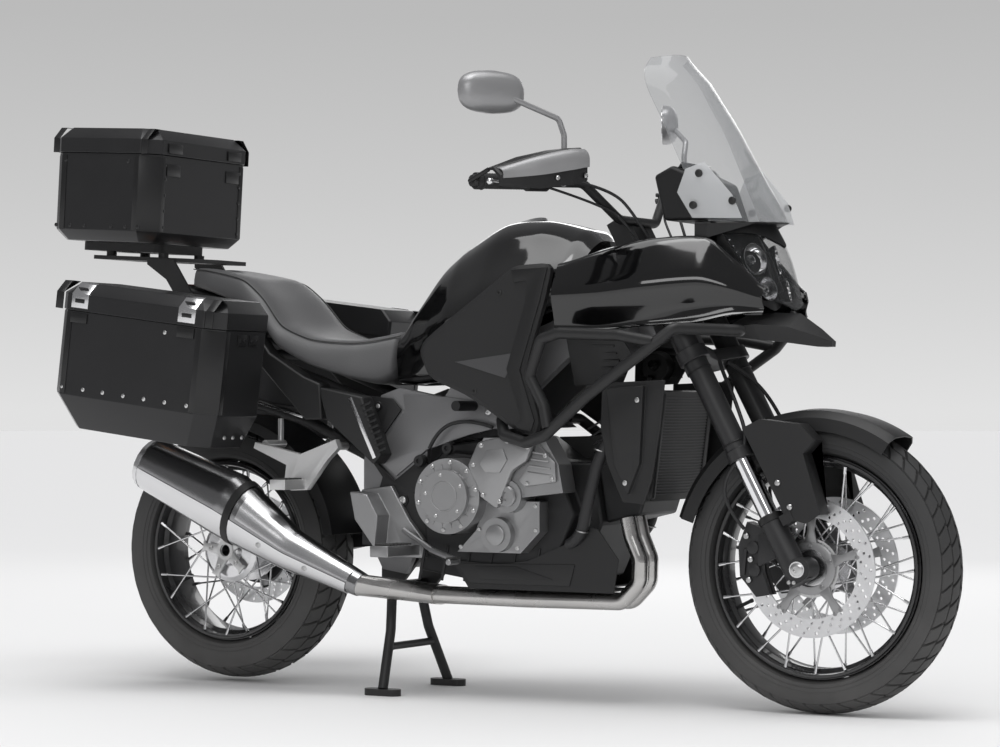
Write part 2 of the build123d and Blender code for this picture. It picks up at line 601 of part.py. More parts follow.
MUDGUARD_GAP = 22.0
MUDGUARD_WALL = 3.0
MUDGUARD_HALF = 70.0
MUDGUARD_START = 56.0
MUDGUARD_END = 162.0
MUDGUARD_RADIUS = FRONT_TYRE_RADIUS + MUDGUARD_GAP
SKIRT_INNER = FRONT_DISC_SPACING / 2 + DISC_THICKNESS / 2 + 6.0
SKIRT_OUTER = 126.0
SKIRT_WALL = 4.0
SKIRT_OUTLINE = (
    (712, 640),
    (754, 660),
    (851, 650),
    (887, 614),
    (860, 585),
    (902, 452),
    (868, 430),
    (820, 440),
)
with BuildPart() as front_mudguard:
    start = radians(MUDGUARD_START)
    with BuildSketch(
        Plane(
            origin=FRONT_AXLE,
            x_dir=(0, 1, 0),
            z_dir=(sin(start), 0, -cos(start)),
        )
    ):
        with BuildLine():
            Polyline(
                (-MUDGUARD_HALF, MUDGUARD_RADIUS - 46),
                (-MUDGUARD_HALF, MUDGUARD_RADIUS - 16),
                (-MUDGUARD_HALF + 20, MUDGUARD_RADIUS),
                (0, MUDGUARD_RADIUS + 4),
                (MUDGUARD_HALF - 20, MUDGUARD_RADIUS),
                (MUDGUARD_HALF, MUDGUARD_RADIUS - 16),
                (MUDGUARD_HALF, MUDGUARD_RADIUS - 46),
                (MUDGUARD_HALF - MUDGUARD_WALL, MUDGUARD_RADIUS - 46),
                (MUDGUARD_HALF - MUDGUARD_WALL, MUDGUARD_RADIUS - 18),
                (MUDGUARD_HALF - 22, MUDGUARD_RADIUS - MUDGUARD_WALL),
                (0, MUDGUARD_RADIUS + 4 - MUDGUARD_WALL),
                (-MUDGUARD_HALF + 22, MUDGUARD_RADIUS - MUDGUARD_WALL),
                (-MUDGUARD_HALF + MUDGUARD_WALL, MUDGUARD_RADIUS - 18),
                (-MUDGUARD_HALF + MUDGUARD_WALL, MUDGUARD_RADIUS - 46),
                close=True,
            )
        make_face()
    revolve(axis=Axis(FRONT_AXLE, (0, -1, 0)), revolution_arc=MUDGUARD_END - MUDGUARD_START)
    # side skirts, in front of the fork legs
    with BuildSketch(side_plane(-SKIRT_INNER)):
        with BuildLine():
            Polyline(*SKIRT_OUTLINE, close=True)
        make_face()
    extrude(amount=SKIRT_OUTER - SKIRT_INNER)
    with BuildSketch(side_plane(-SKIRT_INNER)):
        with BuildLine():
            Polyline(*[(x - SKIRT_WALL, z - SKIRT_WALL) for x, z in SKIRT_OUTLINE], close=True)
        make_face()
    extrude(amount=SKIRT_OUTER - SKIRT_INNER - SKIRT_WALL, mode=Mode.SUBTRACT)
    with BuildSketch(side_plane(-MUDGUARD_HALF + 1)):
        with BuildLine():
            Polyline((765, 655), (850, 648), (850, 634), (765, 641), close=True)
        make_face()
    extrude(amount=SKIRT_INNER + SKIRT_WALL - MUDGUARD_HALF)
    # stays from the skirts back to the fork bottoms
    stay_start = FORK_OFFSET + BOTTOM_RADIUS + FIT_GAP
    with BuildSketch(steer_plane(442)):
        with Locations((stay_start + 15, -FORK_HALF - 5)):
            Rectangle(30, 36)
    extrude(amount=24)
    mirror(about=Plane.XZ)
front_mudguard.part.label = "front_mudguard"
export_step(front_mudguard.part, "parts/front_mudguard.step")

CALIPER_SLOT = DISC_THICKNESS / 2 + 2.0
CALIPER_OUTLINE = (
    (684, 376),
    (706, 430),
    (748, 412),
    (740, 366),
    (744, 318),
    (762, 268),
    (728, 262),
    (688, 308),
)
with BuildPart() as front_calipers:
    disc_y = FRONT_DISC_SPACING / 2
    with BuildSketch(side_plane(-disc_y + 17)):
        with BuildLine():
            Polyline(*CALIPER_OUTLINE, close=True)
        make_face()
    extrude(amount=36)
    with BuildSketch(side_plane(-disc_y + CALIPER_SLOT)):
        with Locations((FRONT_AXLE_X, FRONT_AXLE_Z)):
            Circle(FRONT_DISC_RADIUS + 3)
    extrude(amount=2 * CALIPER_SLOT, mode=Mode.SUBTRACT)
    # bracket from the caliper's back to the fork bottom
    with BuildSketch(side_plane(-disc_y - 12)):
        with BuildLine():
            Polyline((735, 400), (800, 420), (822, 372), (735, 330), close=True)
        make_face()
    extrude(amount=12)
    with BuildSketch(steer_plane(SLIDER_FOOT)):
        with Locations((FORK_OFFSET, -FORK_HALF)):
            Circle(BOTTOM_RADIUS + FIT_GAP)
    extrude(amount=SLIDER_SEAL - SLIDER_FOOT, mode=Mode.SUBTRACT)
    mirror(about=Plane.XZ)
front_calipers.part.label = "front_calipers"
export_step(front_calipers.part, "parts/front_calipers.step")

# ================================================================= frame
PIVOT = (-232.0, 398.0)
PIVOT_RADIUS = 20.0
FRAME_HALF = 128.0
NOSE_STAY_HALF = 14.0
DASH_FOOT = 1112.0
LAMP_BACK = 640.0
PLATE_THICKNESS = 16.0
CROSS_TUBE_RADIUS = 16.0
HIGH_TUBE = (-262.0, 690.0)
LOW_TUBE = (-190.0, 318.0)
with BuildPart() as main_frame:
    # head tube
    with BuildSketch(steer_plane(LOWER_CLAMP + CLAMP_THICKNESS + FIT_GAP)):
        Circle(HEAD_TUBE_RADIUS)
        Circle(16, mode=Mode.SUBTRACT)
    extrude(amount=UPPER_CLAMP - LOWER_CLAMP - CLAMP_THICKNESS - 2 * FIT_GAP)
    # twin spars from the head tube to the pivot plates
    for inner, outer, outline in (
        (98, FRAME_HALF, ((438, 852), (402, 926), (284, 907), (177, 866), (67, 806), (-43, 740), (-64, 709), (113, 669), (270, 800))),
        (96, FRAME_HALF, ((-241, 716), (-190, 733), (-64, 709), (18, 711), (113, 669), (154, 639), (46, 634), (-106, 622))),
    ):
        with BuildSketch(side_plane(-inner)):
            with BuildLine():
                Polyline(*outline, close=True)
            make_face()
        extrude(amount=outer - inner)
    # web from the head tube out to the spars
    with BuildSketch(side_plane(0)):
        with BuildLine():
            Polyline((474, 842), (440, 925), (330, 900), (330, 850), close=True)
        make_face()
    extrude(amount=70)
    with BuildSketch(side_plane(0)):
        with BuildLine():
            Polyline((434, 846), (400, 917), (330, 900), (330, 850), close=True)
        make_face()
    extrude(amount=100)
    # stay from the head tube to the lamp and the dash
    with BuildSketch(side_plane(-NOSE_STAY_HALF)):
        with BuildLine():
            Polyline(
                steer_xz(HEAD_TUBE_RADIUS - 3, 1020),
                steer_xz(HEAD_TUBE_RADIUS - 3, 1070),
                steer_xz(118, 1070),
                (540, DASH_FOOT - FIT_GAP),
                (580, DASH_FOOT - FIT_GAP),
                (600, 1020),
                (LAMP_BACK - FIT_GAP, 1006),
                (LAMP_BACK - FIT_GAP, 962),
                (590, 952),
                close=True,
            )
        make_face()
    extrude(amount=-NOSE_STAY_HALF)
    # pivot plates
    with BuildSketch(side_plane(-FRAME_HALF + PLATE_THICKNESS)):
        with BuildLine():
            Polyline(
                (-241, 716),
                (-106, 640),
                (-112, 560),
                (-152, 470),
                (-136, 361),
                (-170, 290),
                (-236, 300),
                (-290, 400),
                (-290, 560),
                close=True,
            )
        make_face()
    extrude(amount=PLATE_THICKNESS)
    mirror(about=Plane.XZ)
    # swingarm pivot bore and the cross tubes behind the engine
    with BuildSketch(side_plane(FRAME_HALF)):
        with Locations(HIGH_TUBE, LOW_TUBE):
            Circle(CROSS_TUBE_RADIUS)
    extrude(amount=2 * FRAME_HALF)
    with BuildSketch(side_plane(FRAME_HALF + 5)):
        with Locations(PIVOT):
            Circle(PIVOT_RADIUS + FIT_GAP)
    extrude(amount=2 * FRAME_HALF + 10, mode=Mode.SUBTRACT)
main_frame.part.label = "main_frame"
export_step(main_frame.part, "parts/main_frame.step")

SUBFRAME_HALF = 110.0
with BuildPart() as subframe:
    for rail in (
        ((-277.3, 695.7), (-560, 800), (-836, 893)),
        ((-289.4, 569.7), (-440, 645), (-640, 705), (-800, 868)),
    ):
        with BuildLine() as rail_path:
            FilletPolyline(*[(x, -SUBFRAME_HALF, z) for x, z in rail], radius=90)
        with BuildSketch(Plane(origin=rail_path.line @ 0, z_dir=rail_path.line % 0)):
            Circle(FRAME_TUBE_RADIUS)
        sweep(path=rail_path.line)
    mirror(about=Plane.XZ)
    with BuildSketch(side_plane(SUBFRAME_HALF)):
        with Locations((-620, 820), (-790, 890)):
            Circle(12)
    extrude(amount=2 * SUBFRAME_HALF)
subframe.part.label = "subframe"
export_step(subframe.part, "parts/subframe.step")

# ================================================================= engine
ENGINE_HALF = 150.0
ENGINE_CORE_HALF = FRAME_HALF - PLATE_THICKNESS - FIT_GAP
with BuildPart() as engine_case:
    with BuildSketch(side_plane(ENGINE_CORE_HALF)):
        with BuildLine():
            Polyline(
                (-140, 300),
                (-146, 520),
                (-60, 600),
                (110, 620),
                (200, 560),
                (330, 560),
                (352, 420),
                (290, 290),
                (60, 272),
                close=True,
            )
        make_face()
    extrude(amount=2 * ENGINE_CORE_HALF)
    with BuildSketch(side_plane(ENGINE_HALF)):
        with BuildLine():
            Polyline(
                (-100, 340),
                (-112, 500),
                (-40, 580),
                (250, 560),
                (300, 440),
                (250, 330),
                (40, 300),
                close=True,
            )
        make_face()
    extrude(amount=2 * ENGINE_HALF)
engine_case.part.label = "engine_case"
export_step(engine_case.part, "parts/engine_case.step")

HEAD_HALF = 94.0
with BuildPart() as cylinder_heads:
    # rear bank, leaning back
    with BuildSketch(side_plane(HEAD_HALF)):
        with BuildLine():
            Polyline((-60, 600.5), (110, 620.5), (70, 700), (40, 716), (-60, 700), (-90, 660), close=True)
        make_face()
    extrude(amount=2 * HEAD_HALF)
    # front bank, leaning forward
    with BuildSketch(side_plane(HEAD_HALF)):
        with BuildLine():
            Polyline((330.5, 560.5), (352.5, 420), (440, 440), (450, 470), (446, 590), (400, 600), close=True)
        make_face()
    extrude(amount=2 * HEAD_HALF)
cylinder_heads.part.label = "cylinder_heads"
export_step(cylinder_heads.part, "parts/cylinder_heads.step")

CoverDisc = namedtuple("CoverDisc", "x z radius depth")
CLUTCH_COVER = CoverDisc(4, 480, 88, 78)
CLUTCH_CAP = CoverDisc(4, 480, 62, 92)
COVER_DISCS = (
    CLUTCH_COVER,
    CLUTCH_CAP,
    CoverDisc(160, 482, 38, 70),
    CoverDisc(126, 392, 40, 62),
)
FRONT_COVER_OUTLINE = (
    (60, 560),
    (94, 616),
    (252, 620),
    (292, 556),
    (304, 492),
    (150, 474),
    (106, 520),
)
LOWER_COVER_OUTLINE = (
    (10, 350),
    (180, 350),
    (230, 400),
    (230, 470),
    (90, 470),
    (60, 400),
)
with BuildPart() as engine_covers:
    for side in (-1, 1):
        for disc in COVER_DISCS:
            with BuildSketch(side_plane(side * (ENGINE_HALF + FIT_GAP))):
                with Locations((disc.x, disc.z)):
                    Circle(disc.radius)
            extrude(amount=-side * (disc.depth))
        for outline, depth in ((FRONT_COVER_OUTLINE, 62), (LOWER_COVER_OUTLINE, 40)):
            with BuildSketch(side_plane(side * (ENGINE_HALF + FIT_GAP))):
                with BuildLine():
                    Polyline(*outline, close=True)
                make_face()
            extrude(amount=-side * depth)
engine_covers.part.label = "engine_covers"
export_step(engine_covers.part, "parts/engine_covers.step")

PAN_WALL = 4.0
PAN_HALF = 158.0
PAN_FLOOR = 263.0
PAN_OUTLINE = (
    (-24, 328),
    (22, PAN_FLOOR),
    (405, PAN_FLOOR),
    (418, 339),
    (366, 407),
    (330, 418),
    (300, 380),
    (182, 332),
    (100, 322),
)
PAN_LEFT_OUTLINE = ((-24, 328), (22, PAN_FLOOR), (300, PAN_FLOOR), (318, 330), (286, 372), (182, 332), (100, 322))
with BuildPart() as belly_pan:
    with BuildSketch(side_plane(-PAN_HALF + PAN_WALL)):
        with BuildLine():
            Polyline(*PAN_OUTLINE, close=True)
        make_face()
    extrude(amount=PAN_WALL)
    with BuildSketch(side_plane(PAN_HALF)):
        with BuildLine():
            Polyline(*PAN_LEFT_OUTLINE, close=True)
        make_face()
    extrude(amount=PAN_WALL)
    for edge, front in ((0, 380), (PAN_HALF, 300)):
        with BuildSketch(side_plane(edge)):
            with BuildLine():
                Polyline(
                    (22, PAN_FLOOR),
                    (front, PAN_FLOOR),
                    (front, PAN_FLOOR + PAN_WALL),
                    (22, PAN_FLOOR + PAN_WALL),
                    close=True,
                )
            make_face()
        extrude(amount=PAN_HALF)
    # bosses up to the engine's underside
    for x, top in ((150, 278.1), (240, 285.0)):
        with BuildSketch(Plane.XY.offset(PAN_FLOOR + 1)):
            with Locations((x, 0)):
                Circle(9)
        extrude(amount=top - PAN_FLOOR - 1)
belly_pan.part.label = "belly_pan"
export_step(belly_pan.part, "parts/belly_pan.step")

RADIATOR_HALF = 130.0
RADIATOR_TOP = (516.0, 722.0)
RADIATOR_FOOT = (484.0, 474.0)
RADIATOR_DEPTH = 32.0
with BuildPart() as radiator:
    with BuildSketch(side_plane(RADIATOR_HALF)):
        with BuildLine():
            Polyline(
                RADIATOR_TOP,
                RADIATOR_FOOT,
                (RADIATOR_FOOT[0] - RADIATOR_DEPTH, RADIATOR_FOOT[1] + 4),
                (RADIATOR_TOP[0] - RADIATOR_DEPTH, RADIATOR_TOP[1] + 4),
                close=True,
            )
        make_face()
    extrude(amount=2 * RADIATOR_HALF)
    # rubber-mounted feet on the front cylinder head
    for y in (78, -62):
        with BuildSketch(side_plane(y)):
            with BuildLine():
                Polyline((447.7, 548), (446.9, 572), (470, 572), (468, 548), close=True)
            make_face()
        extrude(amount=16)
radiator.part.label = "radiator"
export_step(radiator.part, "parts/radiator.step")

COWL_OUTLINE = (
    (388, 742),
    (548, 748),
    (536, 640),
    (514, 520),
    (494, 468),
    (440, 472),
    (400, 560),
    (384, 640),
)
COWL_WALL = 5.0
COWL_INNER_Y = 176.3
with BuildPart() as radiator_cowls:
    with BuildSketch(side_plane(-COWL_INNER_Y)):
        with BuildLine():
            Polyline(*COWL_OUTLINE, close=True)
        make_face()
    extrude(amount=COWL_WALL)
    with BuildSketch(side_plane(-COWL_INNER_Y - COWL_WALL)):
        with BuildLine():
            Polyline((405, 730), (500, 735), (490, 560), (460, 490), (425, 560), close=True)
        make_face()
    extrude(amount=14)
    # arms in to the radiator's side tanks
    with BuildSketch(side_plane(-RADIATOR_HALF - FIT_GAP)):
        with Locations((490, 680), (468, 510)):
            Rectangle(20, 16)
    extrude(amount=COWL_INNER_Y - RADIATOR_HALF)
    mirror(about=Plane.XZ)
radiator_cowls.part.label = "radiator_cowls"
export_step(radiator_cowls.part, "parts/radiator_cowls.step")

# ================================================================= exhaust
PIPE_RADIUS = 19.0
PIPE_Y = (-62.0, -112.0)
PIPE_PORT = (418.1, 434.6)
SILENCER_Y = -218.0
NECK = (-238.0, 266.0)
NECK_NORMAL = Vector(1, 0, -0.42).normalized()
NECK_END = Vector(NECK[0], SILENCER_Y, NECK[1]) + NECK_NORMAL * FIT_GAP
with BuildPart() as exhaust_pipes:
    for y in PIPE_Y:
        with BuildLine() as pipe_path:
            FilletPolyline(
                (PIPE_PORT[0], y, PIPE_PORT[1]),
                (PIPE_PORT[0] + 10.0, y, PIPE_PORT[1] - 43.8),
                (450, y, 340),
                (448, y, 286),
                (404, y, PAN_FLOOR - PIPE_RADIUS - 3),
                (150, y, PAN_FLOOR - PIPE_RADIUS - 5),
                (-104, y, PAN_FLOOR - PIPE_RADIUS - 3),
                radius=30,
            )
        with BuildSketch(Plane(origin=pipe_path.line @ 0, z_dir=pipe_path.line % 0)):
            Circle(PIPE_RADIUS)
        sweep(path=pipe_path.line)
    # collector, one oval mouth narrowing into the silencer's neck
    with BuildSketch(Plane(origin=(-96, -87, PAN_FLOOR - PIPE_RADIUS - 3), x_dir=(0, 1, 0), z_dir=(-1, 0, 0))):
        Ellipse(PIPE_RADIUS + 30, PIPE_RADIUS + 5)
    with BuildSketch(Plane(origin=NECK_END, x_dir=(0, 1, 0), z_dir=-NECK_NORMAL)):
        Ellipse(27, 27)
    loft(ruled=True)
exhaust_pipes.part.label = "exhaust_pipes"
export_step(exhaust_pipes.part, "parts/exhaust_pipes.step")

SilencerStation = namedtuple("SilencerStation", "x z half_height half_width")
SILENCER_STATIONS = (
    SilencerStation(-868, 551, 60, 58),
    SilencerStation(-850, 545, 66, 64),
    SilencerStation(-614, 447, 82, 72),
    SilencerStation(-437, 345, 50, 46),
    SilencerStation(NECK[0], NECK[1], 29, 29),
)
with BuildPart() as silencer:
    for station in SILENCER_STATIONS:
        with BuildSketch(Plane(origin=(station.x, SILENCER_Y, station.z), x_dir=(0, 1, 0), z_dir=NECK_NORMAL)):
            Ellipse(station.half_width, station.half_height)
    loft(ruled=True)
silencer.part.label = "silencer"
export_step(silencer.part, "parts/silencer.step")

# ================================================================= tank and bodywork
TankStation = namedtuple("TankStation", "x top shoulder_y shoulder_z waist_y waist_z bottom_y bottom_z")
TANK_STATIONS = (
    TankStation(-212, 878, 66, 862, 104, 806, 96, 742),
    TankStation(-156, 947, 84, 920, 124, 850, 110, 738),
    TankStation(-100, 1018, 92, 985, 150, 880, 112, 740),
    TankStation(-43, 1062, 100, 1026, 172, 910, 112, 740.3),
    TankStation(67, 1119, 106, 1082, 196, 950, 112, 806.3),
    TankStation(177, 1123, 104, 1094, 206, 985, 112, 866.3),
    TankStation(284, 1098, 96, 1072, 178, 1004, 112, 907.3),
    TankStation(316, 1073, 84, 1054, 146, 1004, 104, 913),
)
with BuildPart() as fuel_tank:
    for st in TANK_STATIONS:
        with BuildSketch(cross_plane(st.x)):
            with BuildLine():
                Polyline(
                    (-st.bottom_y, st.bottom_z),
                    (-st.waist_y, st.waist_z),
                    (-st.shoulder_y - 30, (st.shoulder_z * 2 + st.waist_z) / 3),
                    (-st.shoulder_y, st.shoulder_z),
                    (-st.shoulder_y * 0.5, st.top),
                    (st.shoulder_y * 0.5, st.top),
                    (st.shoulder_y, st.shoulder_z),
                    (st.shoulder_y + 30, (st.shoulder_z * 2 + st.waist_z) / 3),
                    (st.waist_y, st.waist_z),
                    (st.bottom_y, st.bottom_z),
                    close=True,
                )
            make_face()
    loft(ruled=True)
fuel_tank.part.label = "fuel_tank"
export_step(fuel_tank.part, "parts/fuel_tank.step")

SIDE_PANEL_OUTER = 236.0
SIDE_PANEL_INNER = 214.0
SIDE_PANEL_OUTLINE = (
    (-70, 815),
    (-56, 846),
    (146, 984),
    (186, 1012),
    (286, 1016),
    (266, 931),
    (213, 772),
    (252, 658),
    (239, 619),
    (192, 632),
    (66, 712),
    (-43, 755),
)
with BuildPart() as tank_side_panels:
    with BuildSketch(side_plane(-SIDE_PANEL_INNER)):
        with BuildLine():
            Polyline(*SIDE_PANEL_OUTLINE, close=True)
        make_face()
    extrude(amount=SIDE_PANEL_OUTER - SIDE_PANEL_INNER)
    # inner ribs that carry the panel on the frame
    with BuildSketch(side_plane(-FRAME_HALF - FIT_GAP)):
        with Locations((20, 690), (150, 724)):
            Circle(12)
    extrude(amount=SIDE_PANEL_INNER - FRAME_HALF - FIT_GAP)
    mirror(about=Plane.XZ)
tank_side_panels.part.label = "tank_side_panels"
export_step(tank_side_panels.part, "parts/tank_side_panels.step")

FairingStation = namedtuple("FairingStation", "x top_y top_z mid_y mid_z low_y low_z wall")
FAIRING_STATIONS = (
    FairingStation(289, 206, 1012, 240, 930, 226, 862, 18),
    FairingStation(407, 196, 1043, 236, 930, 222, 860, 18),
    FairingStation(509, 176, 1064, 226, 940, 214, 868, 18),
    FairingStation(634, 142, 1066, 190, 950, 184, 876, 16),
    FairingStation(700, 124, 1010, 160, 940, 156, 890, 14),
    FairingStation(760, 112, 950, 124, 924, 122, 892, 12),
)
with BuildPart() as side_fairings:
    for st in FAIRING_STATIONS:
        with BuildSketch(cross_plane(st.x)):
            with BuildLine():
                Polyline(
                    (-st.top_y, st.top_z),
                    (-st.mid_y, st.mid_z),
                    (-st.low_y, st.low_z),
                    (-st.low_y + st.wall, st.low_z),
                    (-st.mid_y + st.wall, st.mid_z),
                    (-st.top_y + st.wall, st.top_z),
                    close=True,
                )
            make_face()
    loft(ruled=True)
    mirror(about=Plane.XZ)
side_fairings.part.label = "side_fairings"
export_step(side_fairings.part, "parts/side_fairings.step")

BeakStation = namedtuple("BeakStation", "x half_width top edge bottom")
BEAK_STATIONS = (
    BeakStation(666, 120, 896.4, 863, 846),
    BeakStation(736, 112, 901.2, 872, 838),
    BeakStation(800, 70, 898, 866, 830),
    BeakStation(852, 34, 862, 846, 822),
    BeakStation(880, 12, 838, 834, 822),
)
with BuildPart() as nose_fairing:
    for st in BEAK_STATIONS:
        with BuildSketch(cross_plane(st.x)):
            with BuildLine():
                Polyline(
                    (-st.half_width, st.edge),
                    (0, st.top),
                    (st.half_width, st.edge),
                    (st.half_width * 0.8, st.bottom),
                    (-st.half_width * 0.8, st.bottom),
                    close=True,
                )
            make_face()
    loft(ruled=True)
    # cowl over the lamp, from the fairing tops up to the screen's foot
    for y, back, front, low, high in (
        (-136, 600, 634, 1066.3, 1100),
        (-74, 610, 726, 1100, 1103),
        (0, 620, 774, 1100, 1103.5),
        (74, 610, 726, 1100, 1103),
        (136, 600, 634, 1066.3, 1100),
    ):
        with BuildSketch(side_plane(y)):
            with BuildLine():
                Polyline((back, low), (front - 6, low), (front, high), (back, high), close=True)
            make_face()
    loft(ruled=True)
nose_fairing.part.label = "nose_fairing"
export_step(nose_fairing.part, "parts/nose_fairing.step")

LampStation = namedtuple("LampStation", "y top_x top_z mid_x mid_z low_x low_z back")
LAMP_STATIONS = (
    LampStation(-106, 650, 1082.2, 708, 1006, 748, 936, 636),
    LampStation(-60, 700, 1099.7, 752, 1012, 776, 920, LAMP_BACK),
    LampStation(0, 728, 1099.7, 774, 1020, 786, 905, LAMP_BACK),
    LampStation(60, 700, 1099.7, 752, 1012, 776, 920, LAMP_BACK),
    LampStation(106, 650, 1082.2, 708, 1006, 748, 936, 636),
)
with BuildPart() as headlight:
    for st in LAMP_STATIONS:
        with BuildSketch(side_plane(st.y)):
            with BuildLine():
                Polyline(
                    (st.back, st.top_z),
                    (st.top_x, st.top_z),
                    (st.mid_x, st.mid_z),
                    (st.low_x, st.low_z),
                    (st.back, st.low_z - 10),
                    close=True,
                )
            make_face()
    loft(ruled=True)
headlight.part.label = "headlight"
export_step(headlight.part, "parts/headlight.step")

SCREEN_WALL = 4.0
ScreenStation = namedtuple("ScreenStation", "z centre_x mid_x edge_x mid_y edge_y")
SCREEN_STATIONS = (
    ScreenStation(1104, 768, 722, 636, 74, 138),
    ScreenStation(1231, 692, 656, 578, 84, 156),
    ScreenStation(1330, 632, 600, 532, 86, 158),
    ScreenStation(1430, 566, 536, 480, 82, 148),
    ScreenStation(1498, 506, 490, 462, 60, 104),
)
with BuildPart() as windscreen:
    for st in SCREEN_STATIONS:
        with BuildSketch(Plane.XY.offset(st.z)):
            with BuildLine():
                Polyline(
                    (st.edge_x, -st.edge_y),
                    (st.mid_x, -st.mid_y),
                    (st.centre_x, 0),
                    (st.mid_x, st.mid_y),
                    (st.edge_x, st.edge_y),
                    (st.edge_x - SCREEN_WALL * 1.6, st.edge_y - 1),
                    (st.mid_x - SCREEN_WALL * 1.3, st.mid_y - 1),
                    (st.centre_x - SCREEN_WALL * 1.1, 0),
                    (st.mid_x - SCREEN_WALL * 1.3, -st.mid_y + 1),
                    (st.edge_x - SCREEN_WALL * 1.6, -st.edge_y + 1),
                    close=True,
                )
            make_face()
    loft(ruled=True)
windscreen.part.label = "windscreen"
export_step(windscreen.part, "parts/windscreen.step")

DASH_HALF = 92.0
with BuildPart() as instrument_panel:
    with BuildSketch(side_plane(DASH_HALF)):
        with BuildLine():
            Polyline((500, DASH_FOOT), (474, 1216), (520, 1238), (600, 1200), (632, DASH_FOOT), close=True)
        make_face()
    extrude(amount=2 * DASH_HALF)
instrument_panel.part.label = "instrument_panel"
export_step(instrument_panel.part, "parts/instrument_panel.step")

with BuildPart() as crash_bars:
    for route, bend in (
        (
            (
                (672, -132, 858),
                (740, -150, 856),
                (700, -196, 858),
                (628, -300, 860),
                (590, -318, 826),
                (420, -312, 712),
                (300, -292, 622),
                (236, -262, 606),
                (160, -232, 622),
                (128, -188, 660),
                (128, -FRAME_HALF - FIT_GAP, 660),
            ),
            22,
        ),
        (
            (
                (590, -318, 830),
                (503, -316, 846),
                (351, -312, 853),
                (300, -306, 840),
                (262, -292, 757),
                (300, -294, 690),
                (312, -298, 640),
            ),
            18,
        ),
    ):
        with BuildLine() as bar_run:
            FilletPolyline(*route, radius=bend)
        with BuildSketch(Plane(origin=bar_run.line @ 0, z_dir=bar_run.line % 0)):
            Circle(CRASH_BAR_RADIUS)
        sweep(path=bar_run.line)
    mirror(about=Plane.XZ)
crash_bars.part.label = "crash_bars"
export_step(crash_bars.part, "parts/crash_bars.step")

SeatStation = namedtuple("SeatStation", "x top bottom top_y low_y")
SEAT_STATIONS = (
    SeatStation(-826, 1040, 986, 86, 98),
    SeatStation(-760, 1034, 972, 112, 126),
    SeatStation(-640, 1010, 936, 128, 150),
    SeatStation(-580, 962, 900, 132, 158),
    SeatStation(-520, 892, 832, 140, 170),
    SeatStation(-429, 858, 786, 142, 172),
    SeatStation(-320, 852, 750, 122, 150),
    SeatStation(-262, 862, 738, 96, 122),
    SeatStation(-218, 872, 760, 70, 100),
)
with BuildPart() as seat:
    for st in SEAT_STATIONS:
        with BuildSketch(cross_plane(st.x)):
            with BuildLine():
                Polyline(
                    (-st.low_y + 8, st.bottom),
                    (-st.low_y, st.bottom + 26),
                    (-st.top_y, st.top - 8),
                    (-st.top_y + 26, st.top),
                    (st.top_y - 26, st.top),
                    (st.top_y, st.top - 8),
                    (st.low_y, st.bottom + 26),
                    (st.low_y - 8, st.bottom),
                    close=True,
                )
            make_face()
    loft(ruled=True)
seat.part.label = "seat"
export_step(seat.part, "parts/seat.step")

with BuildPart() as side_covers:
    with BuildSketch(side_plane(-FRAME_HALF - FIT_GAP)):
        with BuildLine():
            Polyline((-384, 735), (-262, 712), (-207, 574), (-229, 550), (-363, 657), (-378, 705), close=True)
        make_face()
    extrude(amount=54)
    with BuildSketch(side_plane(-SUBFRAME_HALF - FRAME_TUBE_RADIUS - FIT_GAP)):
        with BuildLine():
            Polyline((-575, 795), (-592, 884), (-540, 820), (-440, 762), (-392, 744), (-386, 657), (-436, 656), close=True)
        make_face()
    extrude(amount=44)
    mirror(about=Plane.XZ)
side_covers.part.label = "side_covers"
export_step(side_covers.part, "parts/side_covers.step")

TAIL_HALF = 96.0
with BuildPart() as tail_section:
    with BuildSketch(side_plane(TAIL_HALF)):
        with BuildLine():
            Polyline((-590, 884), (-640, 935.7), (-760, 971.7), (-826, 985.7), (-862, 1000), (-880, 960), (-840, 925), (-600, 858), close=True)
        make_face()
    extrude(amount=2 * TAIL_HALF)
tail_section.part.label = "tail_section"
export_step(tail_section.part, "parts/tail_section.step")

with BuildPart() as tail_light:
    with BuildSketch(side_plane(62)):
        with BuildLine():
            Polyline((-880.3, 961), (-862.3, 1000), (-900, 992), (-912, 966), close=True)
        make_face()
    extrude(amount=124)
tail_light.part.label = "tail_light"
export_step(tail_light.part, "parts/tail_light.step")

with BuildPart() as rear_mudguard:
    with BuildSketch(side_plane(80)):
        with BuildLine():
            Polyline((-722, 884), (-838, 916), (-950, 780), (-1000, 640), (-1008, 640), (-962, 790), (-852, 922), (-840, 924.7), (-722, 891.7), close=True)
        make_face()
    extrude(amount=160)
rear_mudguard.part.label = "rear_mudguard"
export_step(rear_mudguard.part, "parts/rear_mudguard.step")

# ================================================================= luggage
CASE_CHAMFER = 40.0
TILT = radians(TOP_CASE_TILT)
TOP_CASE_LENGTH = 325.0
TOP_CASE_HEIGHT = 220.0
TOP_CASE_BEVEL = 26.0
TOP_LID_HEIGHT = 64.0
LID_BEVEL = 28.0
LID_LIP = 3.0
TOP_CASE_FOOT = (-1198.0, 0.0, 1117.0)
TOP_CASE = Plane(
    origin=TOP_CASE_FOOT,
    x_dir=(cos(TILT), 0, -sin(TILT)),
    z_dir=(sin(TILT), 0, cos(TILT)),
)


def case_outline(x0, x1, y0, y1, chamfer_in, chamfer_out):
    """Plan outline with its four upright corners cut off."""
    return [
        (x0 + chamfer_in, y0),
        (x1 - chamfer_in, y0),
        (x1, y0 + chamfer_in),
        (x1, y1 - chamfer_out),
        (x1 - chamfer_out, y1),
        (x0 + chamfer_out, y1),
        (x0, y1 - chamfer_out),
        (x0, y0 + chamfer_in),
    ]


